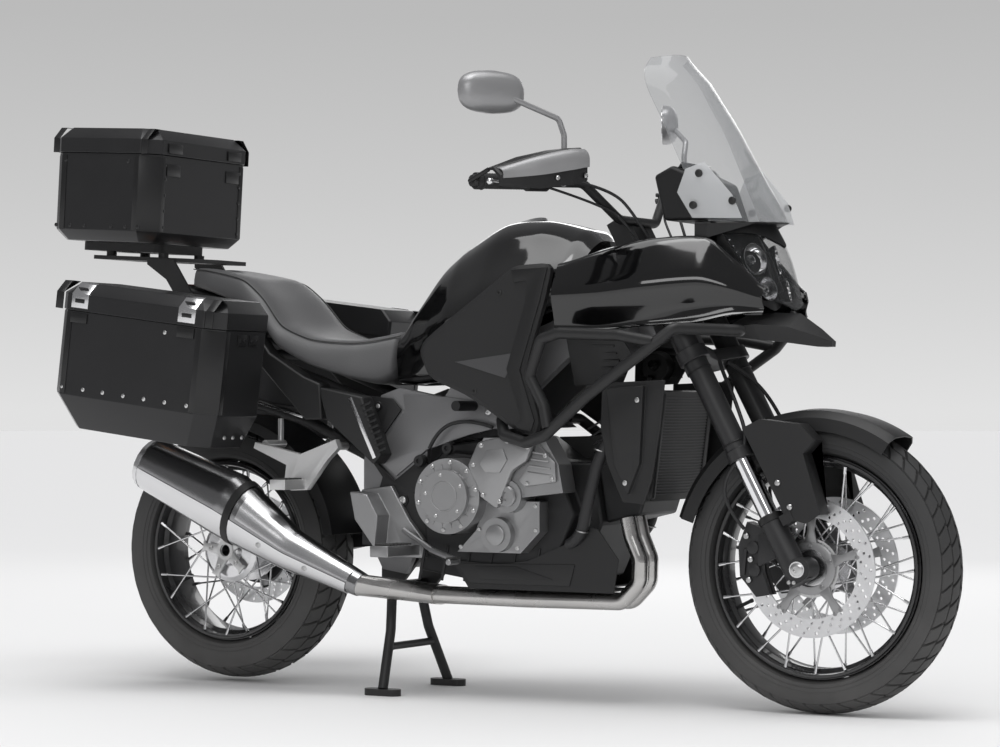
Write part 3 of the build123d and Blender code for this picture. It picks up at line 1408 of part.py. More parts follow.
half = TOP_CASE_WIDTH / 2
with BuildPart() as top_case:
    for inset, floor, mode in ((0, 0, Mode.ADD), (CASE_WALL, CASE_WALL, Mode.SUBTRACT)):
        tuck = inset + TOP_CASE_BEVEL
        with BuildSketch(TOP_CASE.offset(floor)):
            with BuildLine():
                Polyline(
                    *case_outline(tuck, TOP_CASE_LENGTH - tuck, -half + tuck, half - tuck, 26, 26), close=True
                )
            make_face()
        with BuildSketch(TOP_CASE.offset(TOP_CASE_BEVEL)):
            with BuildLine():
                Polyline(
                    *case_outline(
                        inset, TOP_CASE_LENGTH - inset, -half + inset, half - inset, CASE_CHAMFER, CASE_CHAMFER
                    ),
                    close=True,
                )
            make_face()
        loft(ruled=True, mode=mode)
        with BuildSketch(TOP_CASE.offset(TOP_CASE_BEVEL)):
            with BuildLine():
                Polyline(
                    *case_outline(
                        inset, TOP_CASE_LENGTH - inset, -half + inset, half - inset, CASE_CHAMFER, CASE_CHAMFER
                    ),
                    close=True,
                )
            make_face()
        extrude(amount=TOP_CASE_HEIGHT - TOP_CASE_BEVEL + floor, mode=mode)
top_case.part.label = "top_case"
export_step(top_case.part, "parts/top_case.step")


def top_lid_outline(inset, chamfer):
    """Plan outline of the top case lid at an inset from the case's own outline."""
    return case_outline(inset, TOP_CASE_LENGTH - inset, -half + inset, half - inset, chamfer, chamfer)


with BuildPart() as top_case_lid:
    seam = TOP_CASE_HEIGHT + CASE_LID_GAP
    band = TOP_LID_HEIGHT - LID_BEVEL
    for lip, floor, mode in ((-LID_LIP, 0, Mode.ADD), (CASE_WALL - LID_LIP, -CASE_WALL, Mode.SUBTRACT)):
        with BuildSketch(TOP_CASE.offset(seam)):
            with BuildLine():
                Polyline(*top_lid_outline(lip, CASE_CHAMFER), close=True)
            make_face()
        extrude(amount=band, mode=mode)
        with BuildSketch(TOP_CASE.offset(seam + band)):
            with BuildLine():
                Polyline(*top_lid_outline(lip, CASE_CHAMFER), close=True)
            make_face()
        with BuildSketch(TOP_CASE.offset(seam + TOP_LID_HEIGHT + floor)):
            with BuildLine():
                Polyline(*top_lid_outline(lip + LID_BEVEL, 28), close=True)
            make_face()
        loft(ruled=True, mode=mode)
top_case_lid.part.label = "top_case_lid"
export_step(top_case_lid.part, "parts/top_case_lid.step")

PANNIER_LENGTH = 484.0
PANNIER_HEIGHT = 284.0
PANNIER_LID_HEIGHT = 68.0
PANNIER_BEVEL = 80.0
PANNIER_BEVEL_IN = 40.0
PANNIER_INNER_Y = PANNIER_OUTER_Y - PANNIER_DEPTH
LEAN = radians(PANNIER_TILT)
PANNIER = Plane(
    origin=(-990.0, 0.0, 646.0),
    x_dir=(cos(LEAN), 0, -sin(LEAN)),
    z_dir=(sin(LEAN), 0, cos(LEAN)),
)


def pannier_outline(inset, tuck):
    """Plan outline of the right pannier, inset all round and tucked in outside."""
    points = case_outline(
        inset + tuck,
        PANNIER_LENGTH - inset - tuck,
        PANNIER_INNER_Y + inset,
        PANNIER_OUTER_Y - inset - tuck,
        6,
        CASE_CHAMFER,
    )
    return [(x, -y) for x, y in points]


with BuildPart() as pannier_right:
    for inset, floor, mode in ((0, 0, Mode.ADD), (CASE_WALL, CASE_WALL, Mode.SUBTRACT)):
        with BuildSketch(PANNIER.offset(floor)):
            with BuildLine():
                Polyline(*pannier_outline(inset, PANNIER_BEVEL_IN), close=True)
            make_face()
        with BuildSketch(PANNIER.offset(PANNIER_BEVEL)):
            with BuildLine():
                Polyline(*pannier_outline(inset, 0), close=True)
            make_face()
        loft(ruled=True, mode=mode)
        with BuildSketch(PANNIER.offset(PANNIER_BEVEL)):
            with BuildLine():
                Polyline(*pannier_outline(inset, 0), close=True)
            make_face()
        extrude(amount=PANNIER_HEIGHT - PANNIER_BEVEL + floor, mode=mode)
pannier_right.part.label = "pannier_right"
export_step(pannier_right.part, "parts/pannier_right.step")

with BuildPart() as pannier_left:
    add(pannier_right.part.mirror(Plane.XZ))
pannier_left.part.label = "pannier_left"
export_step(pannier_left.part, "parts/pannier_left.step")

with BuildPart() as pannier_lid_right:
    seam = PANNIER_HEIGHT + CASE_LID_GAP
    band = PANNIER_LID_HEIGHT - LID_BEVEL
    for lip, floor, mode in ((-2, 0, Mode.ADD), (CASE_WALL - 2, -CASE_WALL, Mode.SUBTRACT)):
        with BuildSketch(PANNIER.offset(seam)):
            with BuildLine():
                Polyline(*pannier_outline(lip, 0), close=True)
            make_face()
        extrude(amount=band, mode=mode)
        with BuildSketch(PANNIER.offset(seam + band)):
            with BuildLine():
                Polyline(*pannier_outline(lip, 0), close=True)
            make_face()
        with BuildSketch(PANNIER.offset(seam + PANNIER_LID_HEIGHT + floor)):
            with BuildLine():
                Polyline(*pannier_outline(lip, LID_BEVEL), close=True)
            make_face()
        loft(ruled=True, mode=mode)
pannier_lid_right.part.label = "pannier_lid_right"
export_step(pannier_lid_right.part, "parts/pannier_lid_right.step")

with BuildPart() as pannier_lid_left:
    add(pannier_lid_right.part.mirror(Plane.XZ))
pannier_lid_left.part.label = "pannier_lid_left"
export_step(pannier_lid_left.part, "parts/pannier_lid_left.step")

CARRIER_TUBE = 9.0
RAIL_FACE = SUBFRAME_HALF + FRAME_TUBE_RADIUS + FIT_GAP
CARRIER_Y = PANNIER_INNER_Y - CARRIER_TUBE - FIT_GAP
RACK_DROP = 44.0
with BuildPart() as luggage_rack:
    for route in (
        (
            (-620, -RAIL_FACE, 820),
            (-620, -CARRIER_Y + 34, 820),
            (-650, -CARRIER_Y, 846),
            (-900, -CARRIER_Y, 880),
            (-912, -CARRIER_Y, 700),
            (-640, -CARRIER_Y, 664),
            (-600, -CARRIER_Y, 800),
        ),
        (
            (-790, -RAIL_FACE, 877.5),
            (-790, -CARRIER_Y + 30, 877.5),
            (-800, -CARRIER_Y, 868),
        ),
    ):
        with BuildLine() as loop:
            FilletPolyline(*route, radius=18)
        with BuildSketch(Plane(origin=loop.line @ 0, z_dir=loop.line % 0)):
            Circle(CARRIER_TUBE)
        sweep(path=loop.line)
    # side plates from the rear frame's rails up to the rack
    with BuildSketch(side_plane(-TAIL_HALF - FIT_GAP)):
        with BuildLine():
            Polyline(
                (-836, 906),
                (-806, 896),
                (-806, 950),
                (-880, 1060),
                (-960, 1064),
                (-960, 1050),
                (-900, 1010),
                (-852, 940),
                close=True,
            )
        make_face()
    extrude(amount=8.7)
    mirror(about=Plane.XZ)
    with BuildSketch(TOP_CASE.offset(-RACK_DROP)):
        with BuildLine():
            Polyline((60, -92), (230, -104), (360, -96), (430, -60), (430, 60), (360, 96), (230, 104), (60, 92), close=True)
        make_face()
        with Locations((180, 0), (290, 0)):
            Rectangle(70, 110, mode=Mode.SUBTRACT)
    extrude(amount=10)
    with BuildSketch(TOP_CASE.offset(-RACK_DROP + 10)):
        with Locations((100, -70), (100, 70), (270, -76), (270, 76)):
            Circle(13)
    extrude(amount=12)
    with BuildSketch(TOP_CASE.offset(-RACK_DROP + 22)):
        with Locations((148, 0)):
            RectangleRounded(250, 196, 20)
    extrude(amount=RACK_DROP - 22 - FIT_GAP)
luggage_rack.part.label = "luggage_rack"
export_step(luggage_rack.part, "parts/luggage_rack.step")


# ================================================================= swingarm and rear
ARM_INNER = 95.0
ARM_WIDTH = 62.0
DRIVE_RADIUS = 88.0
SPINDLE_RADIUS = 24.0
DRIVE_INNER = REAR_DISC_Y + DISC_THICKNESS + 6.0
with BuildPart() as swingarm:
    # arm with the drive shaft, outside the tyre on the left
    with BuildSketch(side_plane(ARM_INNER)):
        with BuildLine():
            Polyline(
                (-296, 440),
                (-470, 416),
                (REAR_AXLE_X + 50, REAR_AXLE_Z + 46),
                (REAR_AXLE_X + 50, REAR_AXLE_Z - 40),
                (-470, 336),
                (-296, 352),
                close=True,
            )
        make_face()
    extrude(amount=-ARM_WIDTH)
    # final drive case
    with BuildSketch(side_plane(DRIVE_INNER)):
        with Locations((REAR_AXLE_X, REAR_AXLE_Z)):
            Circle(DRIVE_RADIUS)
    extrude(amount=-72)
    with BuildSketch(side_plane(DRIVE_INNER + 72)):
        with Locations((REAR_AXLE_X, REAR_AXLE_Z)):
            Circle(60)
    extrude(amount=-18)
    # front yoke round the pivot
    with BuildSketch(side_plane(FRAME_HALF - PLATE_THICKNESS - 4)):
        with Locations(PIVOT):
            Circle(PIVOT_RADIUS + 16)
    extrude(amount=2 * (FRAME_HALF - PLATE_THICKNESS - 4))
    with BuildSketch(side_plane(FRAME_HALF - PLATE_THICKNESS - 4)):
        with BuildLine():
            Polyline((PIVOT[0], PIVOT[1] + 34), (-320, 440), (-320, 352), (PIVOT[0], PIVOT[1] - 34), close=True)
        make_face()
    extrude(amount=150)
    # shaft the arm turns on, in the frame's pivot bores
    with BuildSketch(side_plane(FRAME_HALF - 1)):
        with Locations(PIVOT):
            Circle(PIVOT_RADIUS)
    extrude(amount=2 * (FRAME_HALF - 1))
    # spindle that carries the hub, through the disc
    with BuildSketch(side_plane(DRIVE_INNER)):
        with Locations((REAR_AXLE_X, REAR_AXLE_Z)):
            Circle(SPINDLE_RADIUS)
    extrude(amount=DRIVE_INNER - REAR_HUB_LEFT - FIT_GAP)
    # bridge from the yoke out to the arm, with the shock's lower seat
    with BuildSketch(side_plane(ARM_INNER + 2)):
        with BuildLine():
            Polyline((-300, 440), (-352, 440), (-352, 352), (-300, 352), close=True)
        make_face()
    extrude(amount=ARM_INNER + 42)
    # axle bore through the drive
    with BuildSketch(side_plane(DRIVE_INNER + 100)):
        with Locations((REAR_AXLE_X, REAR_AXLE_Z)):
            Circle(REAR_AXLE_BORE)
    extrude(amount=130, mode=Mode.SUBTRACT)
swingarm.part.label = "swingarm"
export_step(swingarm.part, "parts/swingarm.step")

with BuildPart() as rear_caliper:
    with BuildSketch(side_plane(REAR_DISC_Y - 9)):
        with BuildLine():
            Polyline((-640, 262), (-606, 300), (-596, 350), (-630, 352), (-650, 318), (-664, 290), close=True)
        make_face()
    extrude(amount=-38)
    with BuildSketch(side_plane(DRIVE_INNER - 1)):
        with Locations((REAR_AXLE_X, REAR_AXLE_Z)):
            Circle(DRIVE_RADIUS + FIT_GAP)
    extrude(amount=-60, mode=Mode.SUBTRACT)
    with BuildSketch(side_plane(REAR_DISC_Y - 2)):
        with Locations((REAR_AXLE_X, REAR_AXLE_Z)):
            Circle(REAR_DISC_RADIUS + 3)
    extrude(amount=-DISC_THICKNESS - 4, mode=Mode.SUBTRACT)
rear_caliper.part.label = "rear_caliper"
export_step(rear_caliper.part, "parts/rear_caliper.step")

HUGGER_GAP = 20.0
with BuildPart() as rear_hugger:
    start = radians(8)
    radial = REAR_TYRE_RADIUS + HUGGER_GAP
    with BuildSketch(Plane(origin=REAR_AXLE, x_dir=(0, 1, 0), z_dir=(sin(start), 0, -cos(start)))):
        with BuildLine():
            Polyline(
                (-88, radial - 30),
                (-88, radial - 4),
                (-74, radial),
                (74, radial),
                (88, radial - 4),
                (88, radial - 120),
                (85, radial - 120),
                (85, radial - 6),
                (73, radial - 3),
                (-73, radial - 3),
                (-85, radial - 6),
                (-85, radial - 30),
                close=True,
            )
        make_face()
    revolve(axis=Axis(REAR_AXLE, (0, -1, 0)), revolution_arc=86)
    with BuildSketch(side_plane(86)):
        with Locations((REAR_AXLE_X + 270, REAR_AXLE_Z + 60)):
            Circle(9)
    extrude(amount=-(ARM_INNER - 86 - FIT_GAP))
rear_hugger.part.label = "rear_hugger"
export_step(rear_hugger.part, "parts/rear_hugger.step")

SHOCK_FOOT = Vector(-326, 0, 440 + FIT_GAP)
SHOCK_TOP = Vector(HIGH_TUBE[0], 0, HIGH_TUBE[1])
shock_run = (SHOCK_TOP - SHOCK_FOOT).normalized()
shock_length = (SHOCK_TOP - SHOCK_FOOT).length - CROSS_TUBE_RADIUS - FIT_GAP
with BuildPart() as rear_shock:
    with BuildSketch(Plane(origin=SHOCK_FOOT + shock_run * 4, z_dir=shock_run)):
        Circle(16)
    extrude(amount=shock_length - 4)
    with BuildSketch(Plane(origin=SHOCK_FOOT + shock_run * 46, z_dir=shock_run)):
        Circle(34)
    extrude(amount=128)
    with BuildSketch(side_plane(20)):
        with Locations((SHOCK_FOOT.X, SHOCK_FOOT.Z + 14)):
            Rectangle(28, 28)
    extrude(amount=40)
rear_shock.part.label = "rear_shock"
export_step(rear_shock.part, "parts/rear_shock.step")

with BuildPart() as footrests:
    with BuildSketch(side_plane(-FRAME_HALF - FIT_GAP)):
        with BuildLine():
            Polyline((-284, 490), (-200, 500), (-150, 420), (-108, 372), (-110, 330), (-206, 330), (-284, 420), close=True)
        make_face()
    extrude(amount=20)
    with BuildSketch(side_plane(-FRAME_HALF - FIT_GAP - 20)):
        with Locations((-144, 350)):
            Rectangle(50, 26)
    extrude(amount=142)
    with BuildSketch(side_plane(-FRAME_HALF - FIT_GAP - 20)):
        with BuildLine():
            Polyline((-284, 486), (-236, 480), (-205, 430), (-214, 352), (-270, 420), close=True)
        make_face()
    extrude(amount=52)
    mirror(about=Plane.XZ)
    # brake pedal on the right, gear pedal on the left
    for side in (-1, 1):
        with BuildLine() as pedal_path:
            FilletPolyline((-160, side * (FRAME_HALF + 20 + 7.6), 396), (-60, side * 188, 352), (36, side * 228, 330), (40, side * 282, 330), radius=14)
        with BuildSketch(Plane(origin=pedal_path.line @ 0, z_dir=pedal_path.line % 0)):
            Circle(7)
        sweep(path=pedal_path.line)
footrests.part.label = "footrests"
export_step(footrests.part, "parts/footrests.step")

with BuildPart() as passenger_footrests:
    with BuildSketch(side_plane(-178)):
        with BuildLine():
            Polyline((-328, 610), (-429, 574), (-561, 602), (-566, 588), (-470, 548), (-476, 500), (-456, 486), (-410, 488), (-352, 560), (-320, 590), close=True)
        make_face()
    extrude(amount=18)
    with BuildSketch(side_plane(-SUBFRAME_HALF - FRAME_TUBE_RADIUS - FIT_GAP)):
        with Locations((-345, 594)):
            Circle(10)
    extrude(amount=178 - SUBFRAME_HALF - FRAME_TUBE_RADIUS)
    with BuildSketch(side_plane(-SUBFRAME_HALF + 13)):
        with Locations((-545, 598)):
            Circle(9.5)
    extrude(amount=178 - SUBFRAME_HALF + 12)
    with BuildSketch(Plane.XY.offset(598)):
        with Locations((-545, -SUBFRAME_HALF)):
            Circle(7)
    extrude(amount=62)
    with BuildSketch(side_plane(-196)):
        with Locations((-436, 502)):
            Rectangle(44, 24)
    extrude(amount=86)
    mirror(about=Plane.XZ)
passenger_footrests.part.label = "passenger_footrests"
export_step(passenger_footrests.part, "parts/passenger_footrests.step")

# ================================================================= stands
STAND_PIVOT = (-250.0, 250.0)
STAND_TUBE = 12.0
STAND_HALF = 66.0
STAND_FOOT_Y = 150.0
STAND_FOOT_X = -222.0
STAND_BORE = 9.0
with BuildPart() as centre_stand:
    with BuildSketch(side_plane(STAND_HALF + 14)):
        with Locations(STAND_PIVOT):
            Circle(STAND_TUBE + 5)
            Circle(STAND_BORE + FIT_GAP, mode=Mode.SUBTRACT)
    extrude(amount=2 * (STAND_HALF + 14))
    for side in (-1, 1):
        with BuildLine() as leg_path:
            FilletPolyline(
                (STAND_PIVOT[0] + 1, side * STAND_HALF, STAND_PIVOT[1] - 13),
                (STAND_PIVOT[0] + 10, side * (STAND_HALF + 20), 150),
                (STAND_FOOT_X, side * STAND_FOOT_Y, 14),
                radius=60,
            )
        with BuildSketch(Plane(origin=leg_path.line @ 0, z_dir=leg_path.line % 0)):
            Circle(STAND_TUBE)
        sweep(path=leg_path.line)
        with BuildSketch(Plane.XY):
            with Locations((STAND_FOOT_X, side * STAND_FOOT_Y)):
                SlotOverall(96, 38)
        extrude(amount=16)
    with BuildSketch(side_plane(96)):
        with Locations((STAND_PIVOT[0] + 14, 112)):
            Circle(9)
    extrude(amount=192)
centre_stand.part.label = "centre_stand"
export_step(centre_stand.part, "parts/centre_stand.step")

SIDE_PIVOT_OUT = 48.0
SIDE_PIVOT = (-60.0, FRAME_HALF + SIDE_PIVOT_OUT, 228.0)
LUG_THICKNESS = 26.0
SIDE_STAND_LENGTH = 240.0
SIDE_AXIS = Vector(0, -0.857, -0.515)
with BuildPart() as side_stand:
    with BuildSketch(Plane(origin=Vector(*SIDE_PIVOT) - SIDE_AXIS * 12, z_dir=SIDE_AXIS)):
        Circle(18)
        Circle(8 + FIT_GAP, mode=Mode.SUBTRACT)
    extrude(amount=24)
    with BuildSketch(Plane(origin=Vector(*SIDE_PIVOT) + Vector(-15, 0, 0), z_dir=(-1, 0, 0))):
        Circle(9)
    extrude(amount=SIDE_STAND_LENGTH - 15)
    with BuildSketch(Plane(origin=Vector(*SIDE_PIVOT) + Vector(-SIDE_STAND_LENGTH, 0, 0), z_dir=(-1, 0, 0))):
        Ellipse(26, 22)
    extrude(amount=10)
side_stand.part.label = "side_stand"
export_step(side_stand.part, "parts/side_stand.step")

with BuildPart() as stand_brackets:
    # cheeks that carry the centre stand's pivot bolt
    for side in (-1, 1):
        with BuildSketch(side_plane(side * (STAND_HALF + 14 + FIT_GAP))):
            with BuildLine():
                Polyline((-262, 236), (-230, 236), (-150, 330), (-170, 352), (-250, 352), (-262, 300), close=True)
            make_face()
        extrude(amount=-side * 12)
    with BuildSketch(side_plane(FRAME_HALF)):
        with Locations(LOW_TUBE):
            Circle(CROSS_TUBE_RADIUS + FIT_GAP)
    extrude(amount=2 * FRAME_HALF, mode=Mode.SUBTRACT)
    with BuildSketch(side_plane(STAND_HALF + 14 + 12)):
        with Locations(STAND_PIVOT):
            Circle(STAND_BORE)
    extrude(amount=2 * (STAND_HALF + 14 + 12))
    # side stand lug and bolt, on a plate outside the left pivot plate
    with BuildSketch(side_plane(FRAME_HALF + FIT_GAP)):
        with BuildLine():
            Polyline((-206, 302), (-206, 328), (-110, 328), (-44, 244), (-46, 208), (-74, 206), (-150, 292), close=True)
        make_face()
    extrude(amount=-LUG_THICKNESS)
    with BuildSketch(Plane(origin=Vector(*SIDE_PIVOT) - SIDE_AXIS * 14, z_dir=SIDE_AXIS)):
        Circle(8)
    extrude(amount=28)
    with BuildSketch(Plane(origin=Vector(*SIDE_PIVOT) + SIDE_AXIS * (12 + FIT_GAP), z_dir=SIDE_AXIS)):
        Circle(16)
    extrude(amount=14)
stand_brackets.part.label = "stand_brackets"
export_step(stand_brackets.part, "parts/stand_brackets.step")
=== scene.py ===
"""Dresses the adventure motorcycle's solid model with finishes and small fittings."""
import json
import logging
import math
from dataclasses import dataclass, field
from enum import Enum
from typing import Callable, Iterable, Sequence

import bmesh
import bpy
from mathutils import Matrix, Vector


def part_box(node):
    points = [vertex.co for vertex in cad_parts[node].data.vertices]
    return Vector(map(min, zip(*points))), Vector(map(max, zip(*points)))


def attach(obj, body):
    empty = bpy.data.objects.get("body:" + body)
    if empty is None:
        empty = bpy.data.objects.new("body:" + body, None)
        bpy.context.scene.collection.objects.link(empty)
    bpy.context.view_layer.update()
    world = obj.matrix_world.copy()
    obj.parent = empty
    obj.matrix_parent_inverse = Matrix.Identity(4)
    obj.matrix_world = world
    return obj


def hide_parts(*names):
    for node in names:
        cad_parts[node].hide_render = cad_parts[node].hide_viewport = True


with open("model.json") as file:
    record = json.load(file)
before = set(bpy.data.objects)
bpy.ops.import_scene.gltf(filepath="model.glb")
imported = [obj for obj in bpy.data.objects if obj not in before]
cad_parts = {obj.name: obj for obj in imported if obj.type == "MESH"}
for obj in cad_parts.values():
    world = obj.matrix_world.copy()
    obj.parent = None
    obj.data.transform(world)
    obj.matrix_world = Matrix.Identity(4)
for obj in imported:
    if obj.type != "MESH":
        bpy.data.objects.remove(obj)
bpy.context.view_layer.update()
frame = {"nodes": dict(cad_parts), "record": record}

LOG = logging.getLogger("motorcycle")
MM = 0.001
SIDES = (-1, 1)
BODY_OF_NODE = {n: b for b, nodes in frame["record"]["behaviour"]["bodies"].items() for n in nodes}

FRONT_AXLE = Vector((852.0, 0.0, 329.0))
REAR_AXLE = Vector((-743.0, 0.0, 329.0))
STEER_FOOT = Vector((959.0, 0.0, 0.0))
RAKE = math.radians(28.0)
STEER_FORWARD = Vector((math.cos(RAKE), 0.0, math.sin(RAKE)))
STEER_UP = Vector((-math.sin(RAKE), 0.0, math.cos(RAKE)))
FORK_OFFSET = 42.0
FORK_HALF = 105.0
MIRROR_PLACE = Vector((245.0, 430.0, 1388.0))
MIRROR_YAW = math.radians(26)


def steer_point(forward: float, left: float, height: float) -> Vector:
    """World point, in mm, from a place given along the steering axis.

    Args:
        forward: distance ahead of the axis, square to it.
        left: distance to the rider's left.
        height: distance up the axis from the ground.

    Returns:
        The point in the model's frame.
    """
    return STEER_FOOT + STEER_FORWARD * forward + Vector((0, left, 0)) + STEER_UP * height


# ------------------------------------------------------------------ finishes
class Grain(Enum):
    """How a surface is textured."""

    NONE = "none"
    LEATHER = "leather"
    MOULDED = "moulded"
    CAST = "cast"
    BRUSHED = "brushed"
    RUBBER = "rubber"


@dataclass(frozen=True)
class GrainSize:
    """Pattern scale and depth of one kind of surface texture."""

    scale: float
    detail: float
    depth: float
    stretch: tuple[float, float, float] = (1.0, 1.0, 1.0)


GRAINS = {
    Grain.LEATHER: GrainSize(420.0, 3.0, 0.35),
    Grain.MOULDED: GrainSize(900.0, 2.0, 0.16),
    Grain.CAST: GrainSize(520.0, 4.0, 0.22),
    Grain.BRUSHED: GrainSize(260.0, 2.0, 0.06, (1.0, 14.0, 14.0)),
    Grain.RUBBER: GrainSize(300.0, 3.0, 0.18),
}


def add_node(
    tree: bpy.types.NodeTree, kind: str, operation: str = "", constants: dict[str | int, float | tuple] | None = None
) -> bpy.types.Node:
    """Adds a shader node.

    Args:
        tree: the tree that gets it.
        kind: its type name, after ShaderNode.
        operation: what it works out, where it has a choice.
        constants: values of its inputs, by name or place.

    Returns:
        The node.
    """
    made = tree.nodes.new("ShaderNode" + kind)
    if operation:
        made.operation = operation
    for socket, value in (constants or {}).items():
        made.inputs[socket].default_value = value
    return made


def wire(tree: bpy.types.NodeTree, *pairs: tuple[bpy.types.NodeSocket, bpy.types.NodeSocket]) -> None:
    """Links outputs to inputs, pair by pair."""
    for source, target in pairs:
        tree.links.new(source, target)


class ShaderKit:
    """Builds the shared node groups once and hands them out."""

    def __init__(self) -> None:
        """Prepares the groups that every finish uses."""
        self.grain = self._grain_group()
        self.age = self._age_group()

    @staticmethod
    def _group(name: str, enters: dict[str, float | tuple], leaves: Sequence[str]) -> tuple:
        """Starts a node group with its sockets.

        Args:
            name: the group's name.
            enters: inputs by name, with their defaults: a number, a vector of 3 or a colour of 4.
            leaves: names of the outputs, of which Color is a colour and the rest are numbers.

        Returns:
            The group, its input node and its output node.
        """
        group = bpy.data.node_groups.new(name, "ShaderNodeTree")
        kinds = {3: "NodeSocketVector", 4: "NodeSocketColor"}
        for label, value in enters.items():
            kind = kinds[len(value)] if isinstance(value, tuple) else "NodeSocketFloat"
            group.interface.new_socket(name=label, in_out="INPUT", socket_type=kind).default_value = value
        for label in leaves:
            kind = "NodeSocketColor" if label == "Color" else "NodeSocketFloat"
            group.interface.new_socket(name=label, in_out="OUTPUT", socket_type=kind)
        return group, group.nodes.new("NodeGroupInput"), group.nodes.new("NodeGroupOutput")

    def _grain_group(self) -> bpy.types.NodeTree:
        """Node group that gives a height for leather, moulded, cast and brushed surfaces.

        Returns:
            The group, with Scale, Detail and Stretch inputs.
        """
        group, enter, leave = self._group(
            "surface_grain", {"Scale": 500.0, "Detail": 3.0, "Stretch": (1.0, 1.0, 1.0)}, ("Height",)
        )
        place = add_node(group, "TexCoord")
        stretch = add_node(group, "VectorMath", "MULTIPLY")
        fine = add_node(group, "TexNoise")
        cells = add_node(group, "TexVoronoi")
        blend = add_node(group, "Math", "MULTIPLY_ADD", {1: 0.6})
        wire(
            group,
            (place.outputs["Object"], stretch.inputs[0]),
            (enter.outputs["Stretch"], stretch.inputs[1]),
            (stretch.outputs[0], fine.inputs["Vector"]),
            (stretch.outputs[0], cells.inputs["Vector"]),
            (enter.outputs["Scale"], fine.inputs["Scale"]),
            (enter.outputs["Scale"], cells.inputs["Scale"]),
            (enter.outputs["Detail"], fine.inputs["Detail"]),
            (cells.outputs["Distance"], blend.inputs[0]),
            (fine.outputs[0], blend.inputs[2]),
            (blend.outputs[0], leave.inputs["Height"]),
        )
        return group

    def _age_group(self) -> bpy.types.NodeTree:
        """Node group that varies a colour and a roughness with soft blotches and low dust.

        Returns:
            The group, with Color, Amount, Roughness and Dust inputs.
        """
        group, enter, leave = self._group(
            "use_and_dust",
            {"Color": (0.5, 0.5, 0.5, 1.0), "Amount": 0.1, "Roughness": 0.5, "Dust": 0.0},
            ("Color", "Roughness"),
        )
        place = add_node(group, "TexCoord")
        broad = add_node(group, "TexNoise", "", {"Scale": 9.0, "Detail": 6.0})
        centred = add_node(group, "Math", "SUBTRACT", {1: 0.5})
        scaled = add_node(group, "Math", "MULTIPLY")
        factor = add_node(group, "Math", "ADD", {1: 1.0})
        shade = add_node(group, "VectorMath", "SCALE")
        split = add_node(group, "SeparateXYZ")
        low = add_node(group, "MapRange", "", {"From Min": 0.5, "From Max": 0.05})
        dust = add_node(group, "Math", "MULTIPLY")
        dusty = add_node(group, "Math", "MULTIPLY")
        film = add_node(group, "Mix")
        film.data_type = "RGBA"
        film.inputs["B"].default_value = (0.16, 0.155, 0.15, 1.0)
        rough = add_node(group, "Math", "ADD")
        wire(
            group,
            (place.outputs["Object"], broad.inputs["Vector"]),
            (broad.outputs[0], centred.inputs[0]),
            (centred.outputs[0], scaled.inputs[0]),
            (enter.outputs["Amount"], scaled.inputs[1]),
            (scaled.outputs[0], factor.inputs[0]),
            (enter.outputs["Color"], shade.inputs[0]),
            (factor.outputs[0], shade.inputs["Scale"]),
            (place.outputs["Object"], split.inputs[0]),
            (split.outputs["Z"], low.inputs["Value"]),
            (low.outputs[0], dust.inputs[0]),
            (enter.outputs["Dust"], dust.inputs[1]),
            (dust.outputs[0], dusty.inputs[0]),
            (broad.outputs[0], dusty.inputs[1]),
            (dusty.outputs[0], film.inputs["Factor"]),
            (shade.outputs[0], film.inputs["A"]),
            (film.outputs["Result"], leave.inputs["Color"]),
            (scaled.outputs[0], rough.inputs[0]),
            (enter.outputs["Roughness"], rough.inputs[1]),
            (rough.outputs[0], leave.inputs["Roughness"]),
        )
        return group


def sided(points: Iterable[tuple[float, float, float]], side: int) -> list[tuple[float, float, float]]:
    """Points drawn for the left, moved to one side: 1 keeps them and -1 mirrors them."""
    return [(x, side * y, z) for x, y, z in points]


def pitched(degrees: float) -> Matrix:
    """Rotation about the axis to the rider's left, nose down for positive angles."""
    return Matrix.Rotation(math.radians(degrees), 3, "Y")


def turned(count: int, start: float = 0.0) -> list[float]:
    """Angles spread evenly round a circle from a first one, in radians."""
    return [n * math.tau / count + start for n in range(count)]


def on_wheel(angle: float, reach: float) -> Vector:
    """Offset in a wheel's plane by angle and reach."""
    return Vector((math.cos(angle) * reach, 0, math.sin(angle) * reach))


